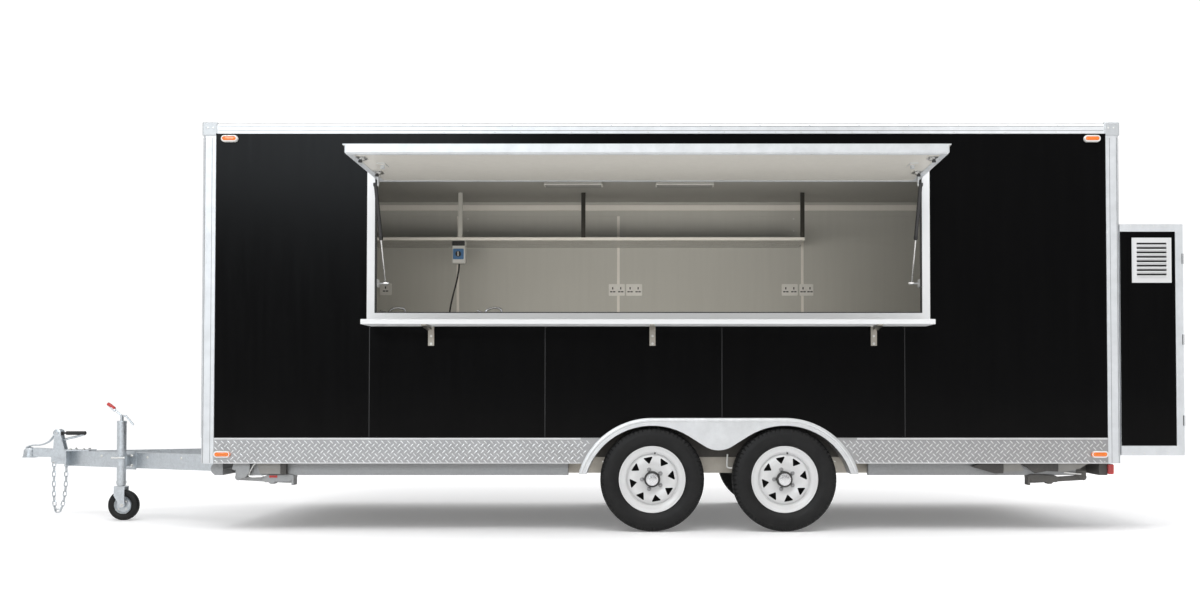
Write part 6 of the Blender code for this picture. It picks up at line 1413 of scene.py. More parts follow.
def make_tap():
    """Mixer taps and basin rims on the near worktop."""
    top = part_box("worktop_near")[1].z
    bm = bmesh.new()
    for x in (-1.700, -1.096):
        foot = Vector((MIDDLE_X + x, MIDDLE_Y - 0.58, top))
        add_turned(bm, [(0.024, 0), (0.024, 0.006), (0.017, 0.010), (0.017, 0.042),
                        (0.013, 0.048), (0, 0.050)], foot, UP, 20)
        spout = ((0.0, 0, 0.040), (0.012, 0, 0.068), (0.050, 0.01, 0.082), (0.092, 0.02, 0.076),
                 (0.100, 0.022, 0.050))
        add_tube(bm, smooth_route([foot + Vector(p) for p in spout]), 0.0070, 12)
        add_rod(bm, foot + Vector((0, 0, 0.046)), foot + Vector((-0.052, -0.004, 0.066)), 0.0045)
        basin = foot + Vector((0.080, 0.215, 0))
        outer, inner = rounded(0.400, 0.300, 0.050), rounded(0.372, 0.272, 0.040)
        rings = [[bm.verts.new(basin + Vector((u, v, h))) for u, v in line]
                 for line, h in ((outer, 0.0003), (outer, 0.0024), (inner, 0.0024),
                                 (inner, 0.0003))]
        skin_rings(bm, rings + rings[:1])
    place_piece("mixer_taps", bm, "hub_cap")


def make_cupboards():
    """Cupboard fronts under both worktops and their handles."""
    fronts, pulls = bmesh.new(), bmesh.new()
    count = 6
    for label, way in (("near", 1), ("far", -1)):
        low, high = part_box("worktop_" + label)
        face = high.y if label == "near" else low.y
        start, end = low.x + 0.03, high.x - 0.03
        width = (end - start) / count
        out = FAR * way * 0.016
        for i in range(count):
            x = start + width * i
            add_slab(fronts, (x + 0.003, low.z + 0.10), (x + width - 0.003, high.z - 0.075),
                     face + way * 0.0002, way * 0.0040, 0.0012)
            centre = Vector((x + width / 2, face + way * 0.0042, high.z - 0.120))
            add_rod(pulls, centre - REAR * 0.07 + out, centre + REAR * 0.07 + out, 0.0045)
            for dx in (-0.058, 0.058):
                add_rod(pulls, centre + REAR * dx, centre + REAR * dx + out, 0.0038)
    place_piece("cupboard_fronts", fronts, "stainless_upright")
    place_piece("cupboard_pulls", pulls, "bolt")


def make_floor_sheet():
    """Speckled sheet that covers the floor between the worktops."""
    near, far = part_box("worktop_near")[1].y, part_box("worktop_far")[0].y
    low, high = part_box("floor")
    bm = bmesh.new()
    add_block(bm, (low.x + 0.012, near + 0.012, high.z - 0.0002),
              (high.x - 0.012, far - 0.012, high.z + 0.0026), 0.0006)
    place_piece("floor_covering", bm, "vinyl")


# Drawbar, jack and chain
BEAM_LEAN = atan2(0.620, 1.245)
BEAM_AHEAD = Vector((cos(BEAM_LEAN), -sin(BEAM_LEAN), 0))
BEAM_OUT = Vector((-sin(BEAM_LEAN), -cos(BEAM_LEAN), 0))


def beam_side(along, drop, proud=0.0):
    """Place on the near beam's outer face: distance from the apex, drop below its top."""
    return spot(-3.945, 0, 0.430 - drop) + BEAM_AHEAD * along + BEAM_OUT * proud


def make_coupling_details():
    """Coupling's bolts, the strap over its ball cup, the lever's brace and its grip."""
    bm = bmesh.new()
    for x in (-3.925, -3.835):
        for y in (-0.042, 0.042):
            add_bolt(bm, spot(x, y, 0.4383), UP, 0.0085, 0.008)
    for side in (-1, 1):
        add_bolt(bm, spot(-4.022, side * 0.0285, 0.545), (0, side, 0), 0.0080, 0.006)
        for x in (-4.052, -3.970):
            add_bolt(bm, spot(x, side * 0.0105, 0.352), (0, side, 0), 0.0055, 0.004)
    place_piece("coupling_bolts", bm, "bolt")
    bm = bmesh.new()
    route = route_at(0, ((-4.236, 0.452), (-4.200, 0.466), (-4.140, 0.470), (-4.085, 0.492),
                         (-4.052, 0.532), (-4.022, 0.552)), 7)
    rings = []
    last = len(route) - 1
    for i, point in enumerate(route):
        half = 0.016 - 0.004 * i / last
        ahead = route[min(i + 1, last)] - route[max(i - 1, 0)]
        up = Vector((-ahead.z, 0, ahead.x)).normalized() * 0.0045
        rings.append([bm.verts.new(point + FAR * (s * half) + up * t)
                      for s, t in ((-1, -0.6), (-0.8, -1), (0.8, -1), (1, -0.6), (1, 0.6),
                                   (0.8, 1), (-0.8, 1), (-1, 0.6))])
    skin_rings(bm, rings)
    cap_rings(bm, rings)
    place_piece("coupling_strap", bm, "zinc")
    bm = bmesh.new()
    add_tube(bm, route_at(0, ((-4.010, 0.492), (-3.985, 0.503), (-3.950, 0.514), (-3.905, 0.524),
                              (-3.853, 0.540)), 6), 0.0075)
    for side in (-1, 1):
        add_turned(bm, [(0.026, 0), (0.026, 0.002), (0.022, 0.0035), (0.013, 0.0045),
                        (0.011, 0.007), (0, 0.007)], spot(-4.022, side * 0.0285, 0.548),
                   (0, side, 0), 28)
    place_piece("lever_brace", bm, "zinc")
    bm = bmesh.new()
    add_turned(bm, [(0, 0), (0.0095, 0.001), (0.0122, 0.006), (0.0122, 0.120), (0.0135, 0.124),
                    (0.0135, 0.129), (0.0100, 0.133), (0, 0.134)], spot(-3.975, 0, 0.548), REAR,
               20)
    for i in range(9):
        add_turned(bm, [(0.0120, 0), (0.0131, 0.0012), (0.0131, 0.0048), (0.0120, 0.006)],
                   spot(-3.965 + i * 0.0122, 0, 0.548), REAR, 20)
    place_piece("handle_grips", bm, "rubber")


def make_clamp_details():
    """Bolts of the jack's clamp, its locking handle and the bands round the tube."""
    bm = bmesh.new()
    for along in (0.462, 0.585):
        for drop in (0.020, 0.082):
            add_bolt(bm, beam_side(along, drop, 0.0068), BEAM_OUT, 0.0085, 0.007)
    place_piece("clamp_bolts", bm, "bolt")
    low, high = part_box("jack_tube")
    centre = (low + high) / 2
    bm = bmesh.new()
    grip = Vector((centre.x, low.y - 0.004, 0.402))
    add_rod(bm, grip + Vector((0, 0.004, 0)), grip + Vector((0, -0.022, 0)), 0.006)
    add_rod(bm, grip + Vector((-0.036, -0.020, 0)), grip + Vector((0.036, -0.020, 0)), 0.005)
    for way in (-1, 1):
        add_turned(bm, [(0, 0), (0.007, 0.001), (0.0075, 0.005), (0.007, 0.009), (0, 0.010)],
                   grip + Vector((way * 0.033, -0.020, 0)), (way, 0, 0), 12)
    place_piece("clamp_handle", bm, "bolt")
    bm = bmesh.new()
    add_turned(bm, [(0.0292, 0), (0.0305, 0.001), (0.0305, 0.011), (0.0292, 0.012)],
               Vector((centre.x, centre.y, 0.622)), UP, 28)
    add_turned(bm, [(0.0292, 0), (0.0312, 0.001), (0.0312, 0.015), (0.0292, 0.016)],
               Vector((centre.x, centre.y, 0.235)), UP, 28)
    place_piece("jack_bands", bm, "zinc")


def make_jack_wheel():
    """Ribbed solid tyre of the jack, bolted rim halves and fork bolts."""
    low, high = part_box("jack_tyre")
    centre, radius, half = (low + high) / 2, (high.z - low.z) / 2, (high.y - low.y) / 2
    side = [(-0.70, 0.590), (-0.80, 0.640), (-0.96, 0.720), (-1.0, 0.800), (-0.96, 0.880),
            (-0.82, 0.945), (-0.62, 0.985), (-0.46, 0.992), (-0.40, 0.962), (-0.30, 0.962),
            (-0.24, 0.998), (-0.06, 1.0)]
    section = side + [(0.0, 0.972)] + [(-h, r) for h, r in reversed(side)] + side[:1]
    bm = bmesh.new()
    add_turned(bm, [(r * radius, h * half) for h, r in section], centre, FAR, 72)
    piece = place_piece("jack_wheel_tyre", bm, "tyre", body="jack_wheel", smooth=32)
    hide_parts("jack_tyre")
    bm = bmesh.new()
    for way in (-1, 1):
        for i in range(4):
            angle = pi / 4 + pi / 2 * i
            foot = centre + Vector((cos(angle) * 0.034, way * 0.0245, sin(angle) * 0.034))
            add_bolt(bm, foot, (0, way, 0), 0.0042, 0.0035)
    place_piece("jack_rim_bolts", bm, "bolt", body="jack_wheel")
    bm = bmesh.new()
    for way in (-1, 1):
        foot = Vector((centre.x, centre.y + way * 0.0362, centre.z))
        add_bolt(bm, foot, (0, way, 0), 0.0085, 0.006)
    place_piece("fork_bolts", bm, "bolt", body="jack_fork")


def make_crank_grip():
    """Red grip of the jack's crank."""
    low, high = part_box("jack_crank")
    middle_y = (low.y + high.y) / 2
    bm = bmesh.new()
    start = Vector((-2.9195, middle_y, 0.7135))
    end = Vector((-2.9640, middle_y, 0.7475))
    add_turned(bm, [(0, -0.002), (0.0095, -0.001), (0.0118, 0.004), (0.0112, 0.016),
                    (0.0122, 0.032), (0.0112, 0.050), (0.0090, 0.0575), (0, 0.059)],
               start, end - start, 20)
    place_piece("crank_grip", bm, "red_plastic")


def make_beam_bolts():
    """Bolts along the drawbar's near beam."""
    bm = bmesh.new()
    for along in (0.30, 0.72, 1.02):
        add_bolt(bm, beam_side(along, 0.028), BEAM_OUT, 0.0070, 0.005)
    place_piece("beam_bolts", bm, "bolt")


# Parts that hang below the skirt: name, finish, slot, depth and their outlines, given
# from the body's middle and the ground; they stand on the side beams' outer faces
BEAM_FACE = 0.990
UNDER_PARTS = (
    ("under_brackets", "bracket_grey", "galvanised", 0.022, (
        ((-2.385, 0.424), (-2.240, 0.424), (-2.240, 0.338), (-2.360, 0.342)),
        ((2.018, 0.420), (2.192, 0.420), (2.192, 0.404), (2.120, 0.398), (2.140, 0.356),
         (2.018, 0.352)),
        ((2.340, 0.424), (2.555, 0.424), (2.470, 0.372), (2.370, 0.350), (2.340, 0.356)))),
    ("under_gear", "black_steel", "black_steel", 0.030, (
        ((-2.238, 0.424), (-2.205, 0.424), (-2.205, 0.338), (-2.238, 0.338)),
        ((1.828, 0.382), (1.920, 0.420), (2.014, 0.420), (2.014, 0.344), (1.964, 0.342)),
        ((2.120, 0.398), (2.196, 0.402), (2.202, 0.424), (2.336, 0.424), (2.336, 0.354),
         (2.270, 0.356), (2.205, 0.344), (2.176, 0.364)))),
    ("under_knuckles", "dark_zinc", "galvanised", 0.026, (
        ((-2.512, 0.424), (-2.420, 0.424), (-2.420, 0.352), (-2.446, 0.318), (-2.474, 0.312),
         (-2.492, 0.330), (-2.500, 0.360), (-2.524, 0.366)),)),
)


def soften(bm, edges, offset):
    """Cuts a narrow chamfer along edges."""
    bmesh.ops.bevel(bm, geom=edges, offset=offset, segments=1, affect="EDGES",
                    clamp_overlap=True)


def make_under_parts():
    """Brackets, gear, bolts, pipes and rods seen under the skirt."""
    bolts = bmesh.new()
    for way in (-1, 1):
        for x in (-2.29, -2.24):
            add_bolt(bolts, spot(x, way * 0.960, 0.372), (0, way, 0), 0.008, 0.006)
    place_piece("bracket_bolts_under", bolts, "bolt")
    for name, finish, slot, depth, shapes in UNDER_PARTS:
        bm = bmesh.new()
        for outline in shapes:
            for way in (-1, 1):
                inner, outer = sorted((way * BEAM_FACE, way * (BEAM_FACE + depth)))
                add_outline(bm, outline, inner, outer, lambda x, z, y: spot(x, y, z))
        soften(bm, [e for e in bm.edges if e.calc_face_angle(0) > 0.5], 0.0012)
        place_piece(name, bm, finish)
    rods = bmesh.new()
    for way in (-1, 1):
        y = way * (0.012 + BEAM_FACE)
        add_tube(rods, route_at(y, ((-2.335, 0.408), (-2.386, 0.404), (-2.412, 0.372),
                                    (-2.428, 0.334), (-2.405, 0.322), (-2.345, 0.325)), 5),
                 0.0052)
        add_rod(rods, spot(2.376, y, 0.348), spot(2.478, y, 0.338), 0.0050)
        add_tube(rods, route_at(y, ((0.393, 0.455), (0.390, 0.400), (0.394, 0.378),
                                    (0.420, 0.374)), 5), 0.0050)
    place_piece("under_rods", rods, "bolt")


# Side view of a steady's foot, inwards from its outer end, and heights above the ground
PAD_OUTLINE = ((-0.004, 0.331), (0.020, 0.337), (0.150, 0.333), (0.186, 0.318), (0.190, 0.301),
               (0.168, 0.288), (0.150, 0.289), (0.140, 0.279), (0.118, 0.278), (0.112, 0.291),
               (0.022, 0.294), (-0.002, 0.309))


def make_steady_pads():
    """Folded feet of the four steadies, with the catches that hold them up."""
    for label in ("near_front", "near_rear", "far_front", "far_rear"):
        low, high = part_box("steady_" + label)
        foot, inward, pad, catch = low.x, 1, "dull_steel", "dull_steel"
        if label.endswith("front"):
            foot, inward, pad, catch = high.x, -1, "dark_zinc", "red_plastic"
        bm = bmesh.new()
        add_outline(bm, [(foot + inward * u, v) for u, v in PAD_OUTLINE], low.y + 0.003,
                    high.y - 0.003, lambda x, z, y: Vector((x, y, z)))
        bmesh.ops.recalc_face_normals(bm, faces=bm.faces)
        soften(bm, list(bm.edges), 0.0025)
        place_piece("steady_pad_" + label, bm, pad, body="steady_" + label)
        bm = bmesh.new()
        middle = foot + inward * 0.120
        for y, way in ((low.y, -1), (high.y, 1)):
            add_slab(bm, (middle - 0.024, 0.316), (middle + 0.024, 0.329), y - way * 0.003,
                     way * 0.0025, 0.0008)
        place_piece("steady_catch_" + label, bm, catch, body="steady_" + label)


# Rear end
ENTRY_FACE = 3.2947  # outer face of the entry door's leaf
LOCKER_FACE = 3.663  # outer face of the locker door's leaf


def make_entry_details():
    """Lock and rubber seal of the entry door."""
    low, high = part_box("entry_door")
    seal = bmesh.new()
    face = min(high.x, ENTRY_FACE)
    outer = [(low.y + 0.010, low.z + 0.010), (high.y - 0.016, low.z + 0.010),
             (high.y - 0.016, high.z - 0.010), (low.y + 0.010, high.z - 0.010)]
    for (y0, z0), (y1, z1) in zip(outer, outer[1:] + outer[:1]):
        add_rod(seal, (face + 0.0008, y0, z0), (face + 0.0008, y1, z1), 0.0022, 8)
    place_piece("entry_seal", seal, "rubber", body="entry_door")
    lock = bmesh.new()
    y = low.y + 0.055
    add_outline(lock, rounded(0.052, 0.190, 0.010), 0.0, 0.008,
                lambda u, v, out: Vector((face + out, y + u, 1.290 + v)))
    add_turned(lock, [(0.011, 0.008), (0.011, 0.012), (0.009, 0.013), (0, 0.013)],
               Vector((face, y, 1.235)), REAR, 18)
    for v in (-0.084, 0.084):
        add_rivet(lock, Vector((face + 0.008, y, 1.290 + v)), REAR, 0.0034)
    place_piece("entry_lock", lock, "stainless", body="entry_door")


def make_locker_vent():
    """Gas louvre with its hooded slots, a black sheet behind them as painted shade in the slots,
    and the screws.
    """
    low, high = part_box("locker_vent")
    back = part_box("rear_locker")[0].y
    front = back - 0.006
    half_wide, slot_high, pitch, slots = 0.088, 0.0122, 0.026, 8
    middle = (low + high) / 2
    start, end = middle.x - half_wide, middle.x + half_wide
    first = middle.z - (slots - 1) / 2 * pitch + 0.0065
    edges = [low.z] + [first + i * pitch + way * slot_high / 2
                       for i in range(slots) for way in (-1, 1)] + [high.z]
    bm = bmesh.new()
    for z0, z1 in zip(edges[::2], edges[1::2]):
        add_block(bm, (start, front, z0), (end, back + 0.0005, z1))
        if z1 < high.z:
            add_outline(bm, ((front, z1 + 0.0006), (back - 0.0115, z1 - 0.0045),
                             (back - 0.0115, z1 - 0.0055), (front, z1 - 0.0020)),
                        start, end, lambda y, z, x: Vector((x, y, z)))
    for x0, x1 in ((low.x, start), (end, high.x)):
        add_block(bm, (x0, front, low.z), (x1, back + 0.0005, high.z))
    piece = place_piece("gas_louvre", bm, "louvre_white")
    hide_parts("locker_vent")
    # Painted shade: a black sheet behind the slots stands for the dark inside the locker.
    bm = bmesh.new()
    add_block(bm, (start - 0.006, back + 0.0006, edges[1] - 0.006),
              (end + 0.006, back + 0.0016, edges[-2] + 0.006))
    place_piece("louvre_mesh", bm, "rubber")
    bm = bmesh.new()
    for x in (low.x + 0.010, high.x - 0.010):
        for z in (low.z + 0.010, middle.z, high.z - 0.010):
            add_rivet(bm, (x, front, z), NEAR, 0.0034, 0.0014)
    place_piece("louvre_screws", bm, "bolt")


def make_locker_details():
    """Rivets and side sheet of the rear locker and the rails of its door."""
    low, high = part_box("rear_locker")
    bm = bmesh.new()
    rivet_row(bm, (high.x - 0.007, low.y, low.z + 0.05), (high.x - 0.007, low.y, high.z - 0.05),
              NEAR, (high.z - low.z - 0.10) / 9, 0.0036)
    for z in (low.z + 0.014, high.z - 0.012):
        rivet_row(bm, (low.x + 0.07, low.y, z), (high.x - 0.07, low.y, z), NEAR,
                  (high.x - low.x - 0.14) / 3, 0.0040)
    place_piece("locker_rivets", bm, "bolt")
    bm = bmesh.new()
    add_block(bm, (low.x + 0.0045, low.y - 0.0010, low.z + 0.0562),
              (low.x + 0.0490, low.y + 0.0006, high.z - 0.0442), 0.0004)
    place_piece("locker_side_sheet", bm, "black_panel")
    low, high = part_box("locker_door")
    bm = bmesh.new()
    rail, edge = 0.040, 0.001
    start, end = low.y + 0.004, high.y - edge
    for y0, y1, z0, z1 in ((start, end, high.z - rail, high.z - edge),
                           (start, end, low.z + edge, low.z + rail),
                           (start, low.y + rail, low.z + rail, high.z - rail),
                           (high.y - rail, end, low.z + rail, high.z - rail)):
        add_block(bm, (LOCKER_FACE - 0.0005, y0, z0), (LOCKER_FACE + 0.0022, y1, z1), 0.0008)
    place_piece("locker_door_rails", bm, "trim", body="locker_door")


def make_tail_details():
    """Amber and clear sections of the tail lamps."""
    amber, clear = bmesh.new(), bmesh.new()
    for label, way in (("near", 1), ("far", -1)):
        low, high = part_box("tail_lamp_" + label)
        edge = low.y if way > 0 else high.y
        for bm, start, end in ((amber, 0.004, 0.066), (clear, 0.150, 0.205)):
            y0, y1 = sorted((edge + way * start, edge + way * end))
            add_block(bm, (high.x - 0.001, y0, low.z + 0.005),
                      (high.x + 0.0022, y1, high.z - 0.005), 0.002)
    place_piece("tail_amber", amber, "amber_lens")
    place_piece("tail_clear", clear, "clear_lens")


# Finishes of the CAD nodes
def dress_body():
    """Skins outside, linings inside, trim along the edges."""
    half_x, half_y, low, top = body_span()
    dress("trim", "edge_frame")
    dress_faces("edge_frame", "trim_upright", lambda c, n: c.z < top - RAIL_FACE - 0.002)
    dress_faces("edge_frame", "cast_cap", lambda c, n: c.z > top - 0.088
                and abs(c.x - MIDDLE_X) > half_x - 0.088 and abs(c.y - MIDDLE_Y) > half_y - 0.088)
    dress("black_panel", "wall_near", "wall_far", "wall_front", "wall_rear")
    dress_faces("wall_near", "white_lining", lambda c, n: n.y > 0.5 or (
        c.y > NEAR_SKIN + 0.010 and abs(c.x - MIDDLE_X) < 2.0 and c.z > 0.8))
    for name, inward in (("wall_far", NEAR), ("wall_front", REAR), ("wall_rear", FRONT)):
        dress_faces(name, "white_lining", lambda c, n: n.dot(inward) > 0.5)
    dress_faces("wall_rear", "trim_upright", lambda c, n: c.x > REAR_SKIN - 0.0055 and n.x > -0.5
                and 0.03 < c.y - MIDDLE_Y < 0.91 and c.z < 2.225)
    dress("roof_sheet", "roof")
    # The ceiling faces take the darker copy of the lining: painted shade.
    dress_faces("roof", "ceiling", lambda c, n: c.z < 2.26)
    dress("plywood", "floor")
    dress_faces("floor", "vinyl", lambda c, n: n.z > 0.5)
    dress("stainless", "worktop_near", "worktop_far", "wall_shelf")
    dress_faces("wall_shelf", "dark_bracket", lambda c, n: c.z > 1.93
                and c.x > MIDDLE_X - 1.0)
    dress_faces("wall_shelf", "white_lining", lambda c, n: c.z > 1.93 and c.x < MIDDLE_X - 1.0)
    # The kick plates' sheet takes the darker copy of their metal: painted shade between the lugs,
    # over its dust.
    dress("tread", "kick_front")
    for name, _ in KICK_SIDES:
        dress("tread", name)
        dress_faces(name, "amber_lens", lambda c, n: (
            abs(c.y - MIDDLE_Y) > half_y + 0.001 and 0.43 < c.z < 0.482))
    dress_faces("wall_near", "amber_lens", lambda c, n: c.y < NEAR_SKIN - 0.005 and c.z > 2.2)
    dress("guard", "mudguard_near", "mudguard_far")


def dress_openings():
    """Hatch, window frame, shelf, doors, locker and switch box."""
    dress("hatch_edge", "hatch")
    dress_faces("hatch", "hatch_lining", lambda c, n: n.z < -0.9 and c.z > 2.05)
    dress_faces("hatch", "black_panel", lambda c, n: n.z > 0.9)
    dress("white_powder", "serving_frame", "serving_shelf", "locker_vent")
    dress_faces("serving_frame", "bracket", lambda c, n: c.z < 1.206)
    dress_faces("serving_shelf", "bracket", lambda c, n: c.z < 1.2065)
    dress("black_steel", "strut_tube_front", "strut_tube_rear")
    dress("stainless", "strut_rod_front", "strut_rod_rear")
    dress("white_powder", "entry_door")
    dress("trim_upright", "rear_locker")
    locker_low, locker_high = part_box("rear_locker")
    dress_faces("rear_locker", "black_panel", lambda c, n: (
        n.y < -0.5 and locker_low.y + 0.002 < c.y < locker_low.y + 0.008)
        or (n.y > 0.5 and c.y > locker_high.y - 0.002))
    dress("black_panel", "locker_door")
    dress_faces("locker_door", "trim_upright", lambda c, n: abs(n.x) < 0.5)
    dress("pale_plastic", "switch_box")
    dress_faces("switch_box", "rubber", lambda c, n: c.z < 1.735)


def dress_running_gear():
    """Wheels, axles, frame, drawbar, steadies and tail lamps."""
    for label, out in WHEEL_SPOTS:
        centre, radius, half = wheel_middle(label)
        name = "wheel_" + label
        dress("white_wheel", name)
        # Painted shade: the wheel's white barrel inboard of the disc is given black steel, for the
        # shade inside the wheel.
        dress_faces(name, "black_steel", lambda c, n: (
            (c - centre).dot(out) < 0.034 and hypot(c.x - centre.x, c.z - centre.z) < 0.179))
        dress("tyre", "tyre_" + label)
    dress("zinc", "chassis", "coupling", "jack_clamp", "jack_tube", "jack_leg", "jack_fork",
          "jack_rim", "jack_crank", "safety_chain", "axle_front", "axle_rear")
    dress("dark_zinc", "steady_near_front", "steady_far_front")
    dress("dull_steel", "steady_near_rear", "steady_far_rear")
    # Under the body the chassis takes darker finishes than the drawbar ahead of it, the darkest
    # towards the rear.
    dress_faces("chassis", "dark_zinc", lambda c, n: c.x > MIDDLE_X - 2.68)
    dress_faces("chassis", "dull_steel", lambda c, n: c.x > MIDDLE_X + 2.20)
    dress_faces("chassis", "bracket", lambda c, n: -0.44 < c.x - MIDDLE_X < 1.12)
    dress("rubber", "brake_lever")
    dress("tyre", "jack_tyre")
    dress("red_lens", "tail_lamp_near", "tail_lamp_far")


# Stage
WHITE = (1.0, 1.0, 1.0)
WARM, COOL = (1.0, 0.95, 0.86), (0.86, 0.94, 1.0)
# Name, place, target, width, height, power setting, gloss and colour
LAMPS = (
    ("top_lamp", (0.0, -4.2, 7.0), (0.0, 0.0, 0.8), 9.0, 5.0, "top_power", 0.7, WHITE),
    ("front_lamp", (-4.2, -9.5, 4.5), (0.0, 0.0, 1.2), 4.4, 2.4, "front_power", 0.8, COOL),
    ("rear_lamp", (5.0, 6.5, 5.0), (0.0, 0.5, 1.0), 6.0, 4.0, "rear_power", 0.7, WHITE),
    ("cabin_lamp", (-0.15, -0.45, 1.60), (-0.05, 1.0, 1.45), 3.2, 0.3, "cabin_power", 0.3, WARM))


def make_floor(look):
    """Pale studio floor under the trailer."""
    mesh = bpy.data.meshes.new("studio_floor")
    bm = bmesh.new()
    size = look.floor_size
    bm.faces.new([bm.verts.new(spot(x * size, y * size, -0.0005))
                  for x, y in ((-1, -1), (1, -1), (1, 1), (-1, 1))])
    bm.to_mesh(mesh)
    bm.free()
    floor = link_new("studio_floor", mesh)
    mesh.materials.append(start_material(
        "studio_floor", tuple(look.floor_colour), 0.9, Specular_IOR_Level=0.1,
        Emission_Color=(*WHITE, 1.0), Emission_Strength=look.floor_glow)[0])


def make_surround(look):
    """White to the camera; to the trailer, a studio that brightens towards its ceiling."""
    bpy.context.scene.view_settings.view_transform = "Standard"
    world = bpy.data.worlds.new("studio")
    bpy.context.scene.world = world
    world.use_nodes = True
    tree = world.node_tree
    seen = add_node(tree, "LightPath").outputs["Is Camera Ray"]
    way = add_node(tree, "TexCoord").outputs["Generated"]
    height = add_node(tree, "SeparateXYZ", {0: way}).outputs["Z"]
    glow = span(tree, height, look.surround_low, look.surround_high, -0.1, 0.8)
    strength = add_node(tree, "Mix", {"Factor": seen, "A": glow, "B": 1.05},
                        data_type="FLOAT").outputs[0]
    shade = tree.nodes["Background"]
    shade.inputs[0].default_value = (*WHITE, 1.0)
    tree.links.new(strength, shade.inputs[1])


def make_lamps(look):
    """Soft rectangular lamps that the camera doesn't see."""
    for name, place, target, width, height, power, gloss, colour in LAMPS:
        lamp = bpy.data.lights.new(name, "AREA")
        lamp.shape = "RECTANGLE"
        lamp.size, lamp.size_y = width, height
        lamp.energy = getattr(look, power)
        lamp.specular_factor = gloss
        lamp.color = colour
        holder = link_new(name, lamp)
        holder.location = spot(*place)
        holder.visible_camera = False
        holder.visible_diffuse = name != "front_lamp"
        holder.rotation_mode = "QUATERNION"
        holder.rotation_quaternion = (spot(*place) - spot(*target)).to_track_quat("Z", "Y")


def make_stage():
    """Floor, surround, lamps and the camera at the road side."""
    look = bpy.context.scene.trailer_stage
    make_floor(look)
    make_surround(look)
    make_lamps(look)
    data = bpy.data.cameras.new("road_side")
    data.lens = look.focal_length
    data.sensor_width = 36.0
    data.shift_x, data.shift_y = -0.0507, 0.0478
    data.clip_start, data.clip_end = 0.1, 200.0
    camera = link_new("road_side", data)
    camera.location = spot(0.0, -look.camera_distance, look.camera_height)
    camera.rotation_euler = (radians(91.4), 0.0, 0.0)
    bpy.context.scene.camera = camera


# Settings that a user may change
class TrailerFinish(bpy.types.PropertyGroup):
    """Colours and spacing of the trailer's own parts."""
    panel_colour: FloatVectorProperty(
        name="Panel colour", description="Colour of the laminated outer panels",
        subtype="COLOR", size=3, min=0.0, max=1.0, default=(0.0014, 0.0014, 0.0016))
    lamp_colour: FloatVectorProperty(
        name="Side lamp colour", description="Colour of the side marker lenses",
        subtype="COLOR", size=3, min=0.0, max=1.0, default=(0.90, 0.20, 0.015))
    rivet_pitch: FloatProperty(
        name="Rivet pitch", description="Distance between rivets along the rails",
        default=0.150, min=0.03, max=0.6, subtype="DISTANCE", unit="LENGTH")


class TrailerStage(bpy.types.PropertyGroup):
    """Floor, lamps and camera."""
    floor_colour: FloatVectorProperty(
        name="Floor colour", description="Colour of the studio floor",
        subtype="COLOR", size=3, min=0.0, max=1.0, default=(0.92, 0.92, 0.925))
    floor_size: FloatProperty(
        name="Floor size", description="Half the width of the studio floor",
        default=60.0, min=5.0, max=200.0, subtype="DISTANCE", unit="LENGTH")
    floor_glow: FloatProperty(
        name="Floor glow", description="Light that the floor gives back under the trailer",
        default=0.16, min=0.0)
    cabin_power: FloatProperty(
        name="Cabin lamp", description="Power of the lamp inside the cabin",
        default=11.0, min=0.0, unit="POWER")
    surround_low: FloatProperty(
        name="Low surround", description="Light that comes from the studio's sides",
        default=0.30, min=0.0)
    surround_high: FloatProperty(
        name="High surround", description="Light that comes from the studio's ceiling",
        default=1.10, min=0.0)
    top_power: FloatProperty(
        name="Top lamp", description="Power of the lamp above the serving side",
        default=380.0, min=0.0, unit="POWER")
    front_power: FloatProperty(
        name="Front lamp", description="Power of the lamp beside the camera",
        default=260.0, min=0.0, unit="POWER")
    rear_power: FloatProperty(
        name="Rear lamp", description="Power of the lamp behind the trailer",
        default=120.0, min=0.0, unit="POWER")
    focal_length: FloatProperty(
        name="Focal length", description="Camera lens in millimetres", default=38.34, min=10.0)
    camera_distance: FloatProperty(
        name="Camera distance", description="Camera's distance from the centre plane",
        default=8.55, min=3.0, max=40.0, subtype="DISTANCE", unit="LENGTH")
    camera_height: FloatProperty(
        name="Camera height", description="Camera's height above the ground",
        default=0.815, min=0.1, max=5.0, subtype="DISTANCE", unit="LENGTH")


class TRAILER_OT_dress_body(bpy.types.Operator):
    """Give walls, roof, openings and running gear their finishes"""
    bl_idname = "trailer.dress_body"
    bl_label = "Dress body"
    bl_options = {"REGISTER", "UNDO"}

    def execute(self, context):
        dress_body()
        dress_openings()
        dress_running_gear()
        return {"FINISHED"}


class TRAILER_OT_body_trim(bpy.types.Operator):
    """Make rivets, grooves, cap screws, seams and roof strips"""
    bl_idname = "trailer.body_trim"
    bl_label = "Body trim"
    bl_options = {"REGISTER", "UNDO"}

    def execute(self, context):
        make_rivets()
        make_rail_grooves()
        make_cap_screws()
        make_seams()
        make_roof_details()
        return {"FINISHED"}


class TRAILER_OT_tread_plate(bpy.types.Operator):
    """Make the lugs, rivets and folds of the kick plates"""
    bl_idname = "trailer.tread_plate"
    bl_label = "Tread plate"
    bl_options = {"REGISTER", "UNDO"}

    def execute(self, context):
        make_tread_lugs()
        make_kick_edges()
        return {"FINISHED"}


class TRAILER_OT_lamps(bpy.types.Operator):
    """Make side, front and tail lamp lenses and the power inlet"""
    bl_idname = "trailer.lamps"
    bl_label = "Lamps"
    bl_options = {"REGISTER", "UNDO"}

    def execute(self, context):
        make_marker_lamps()
        make_front_fittings()
        make_tail_details()
        return {"FINISHED"}


class TRAILER_OT_window(bpy.types.Operator):
    """Make seals, hatch details, strut ends and shelf trim"""
    bl_idname = "trailer.window"
    bl_label = "Serving window"
    bl_options = {"REGISTER", "UNDO"}

    def execute(self, context):
        make_window_seals()
        make_hatch_details()
        make_hatch_latches()
        make_hatch_hinge()
        make_strut_ends()
        make_shelf_details()
        return {"FINISHED"}


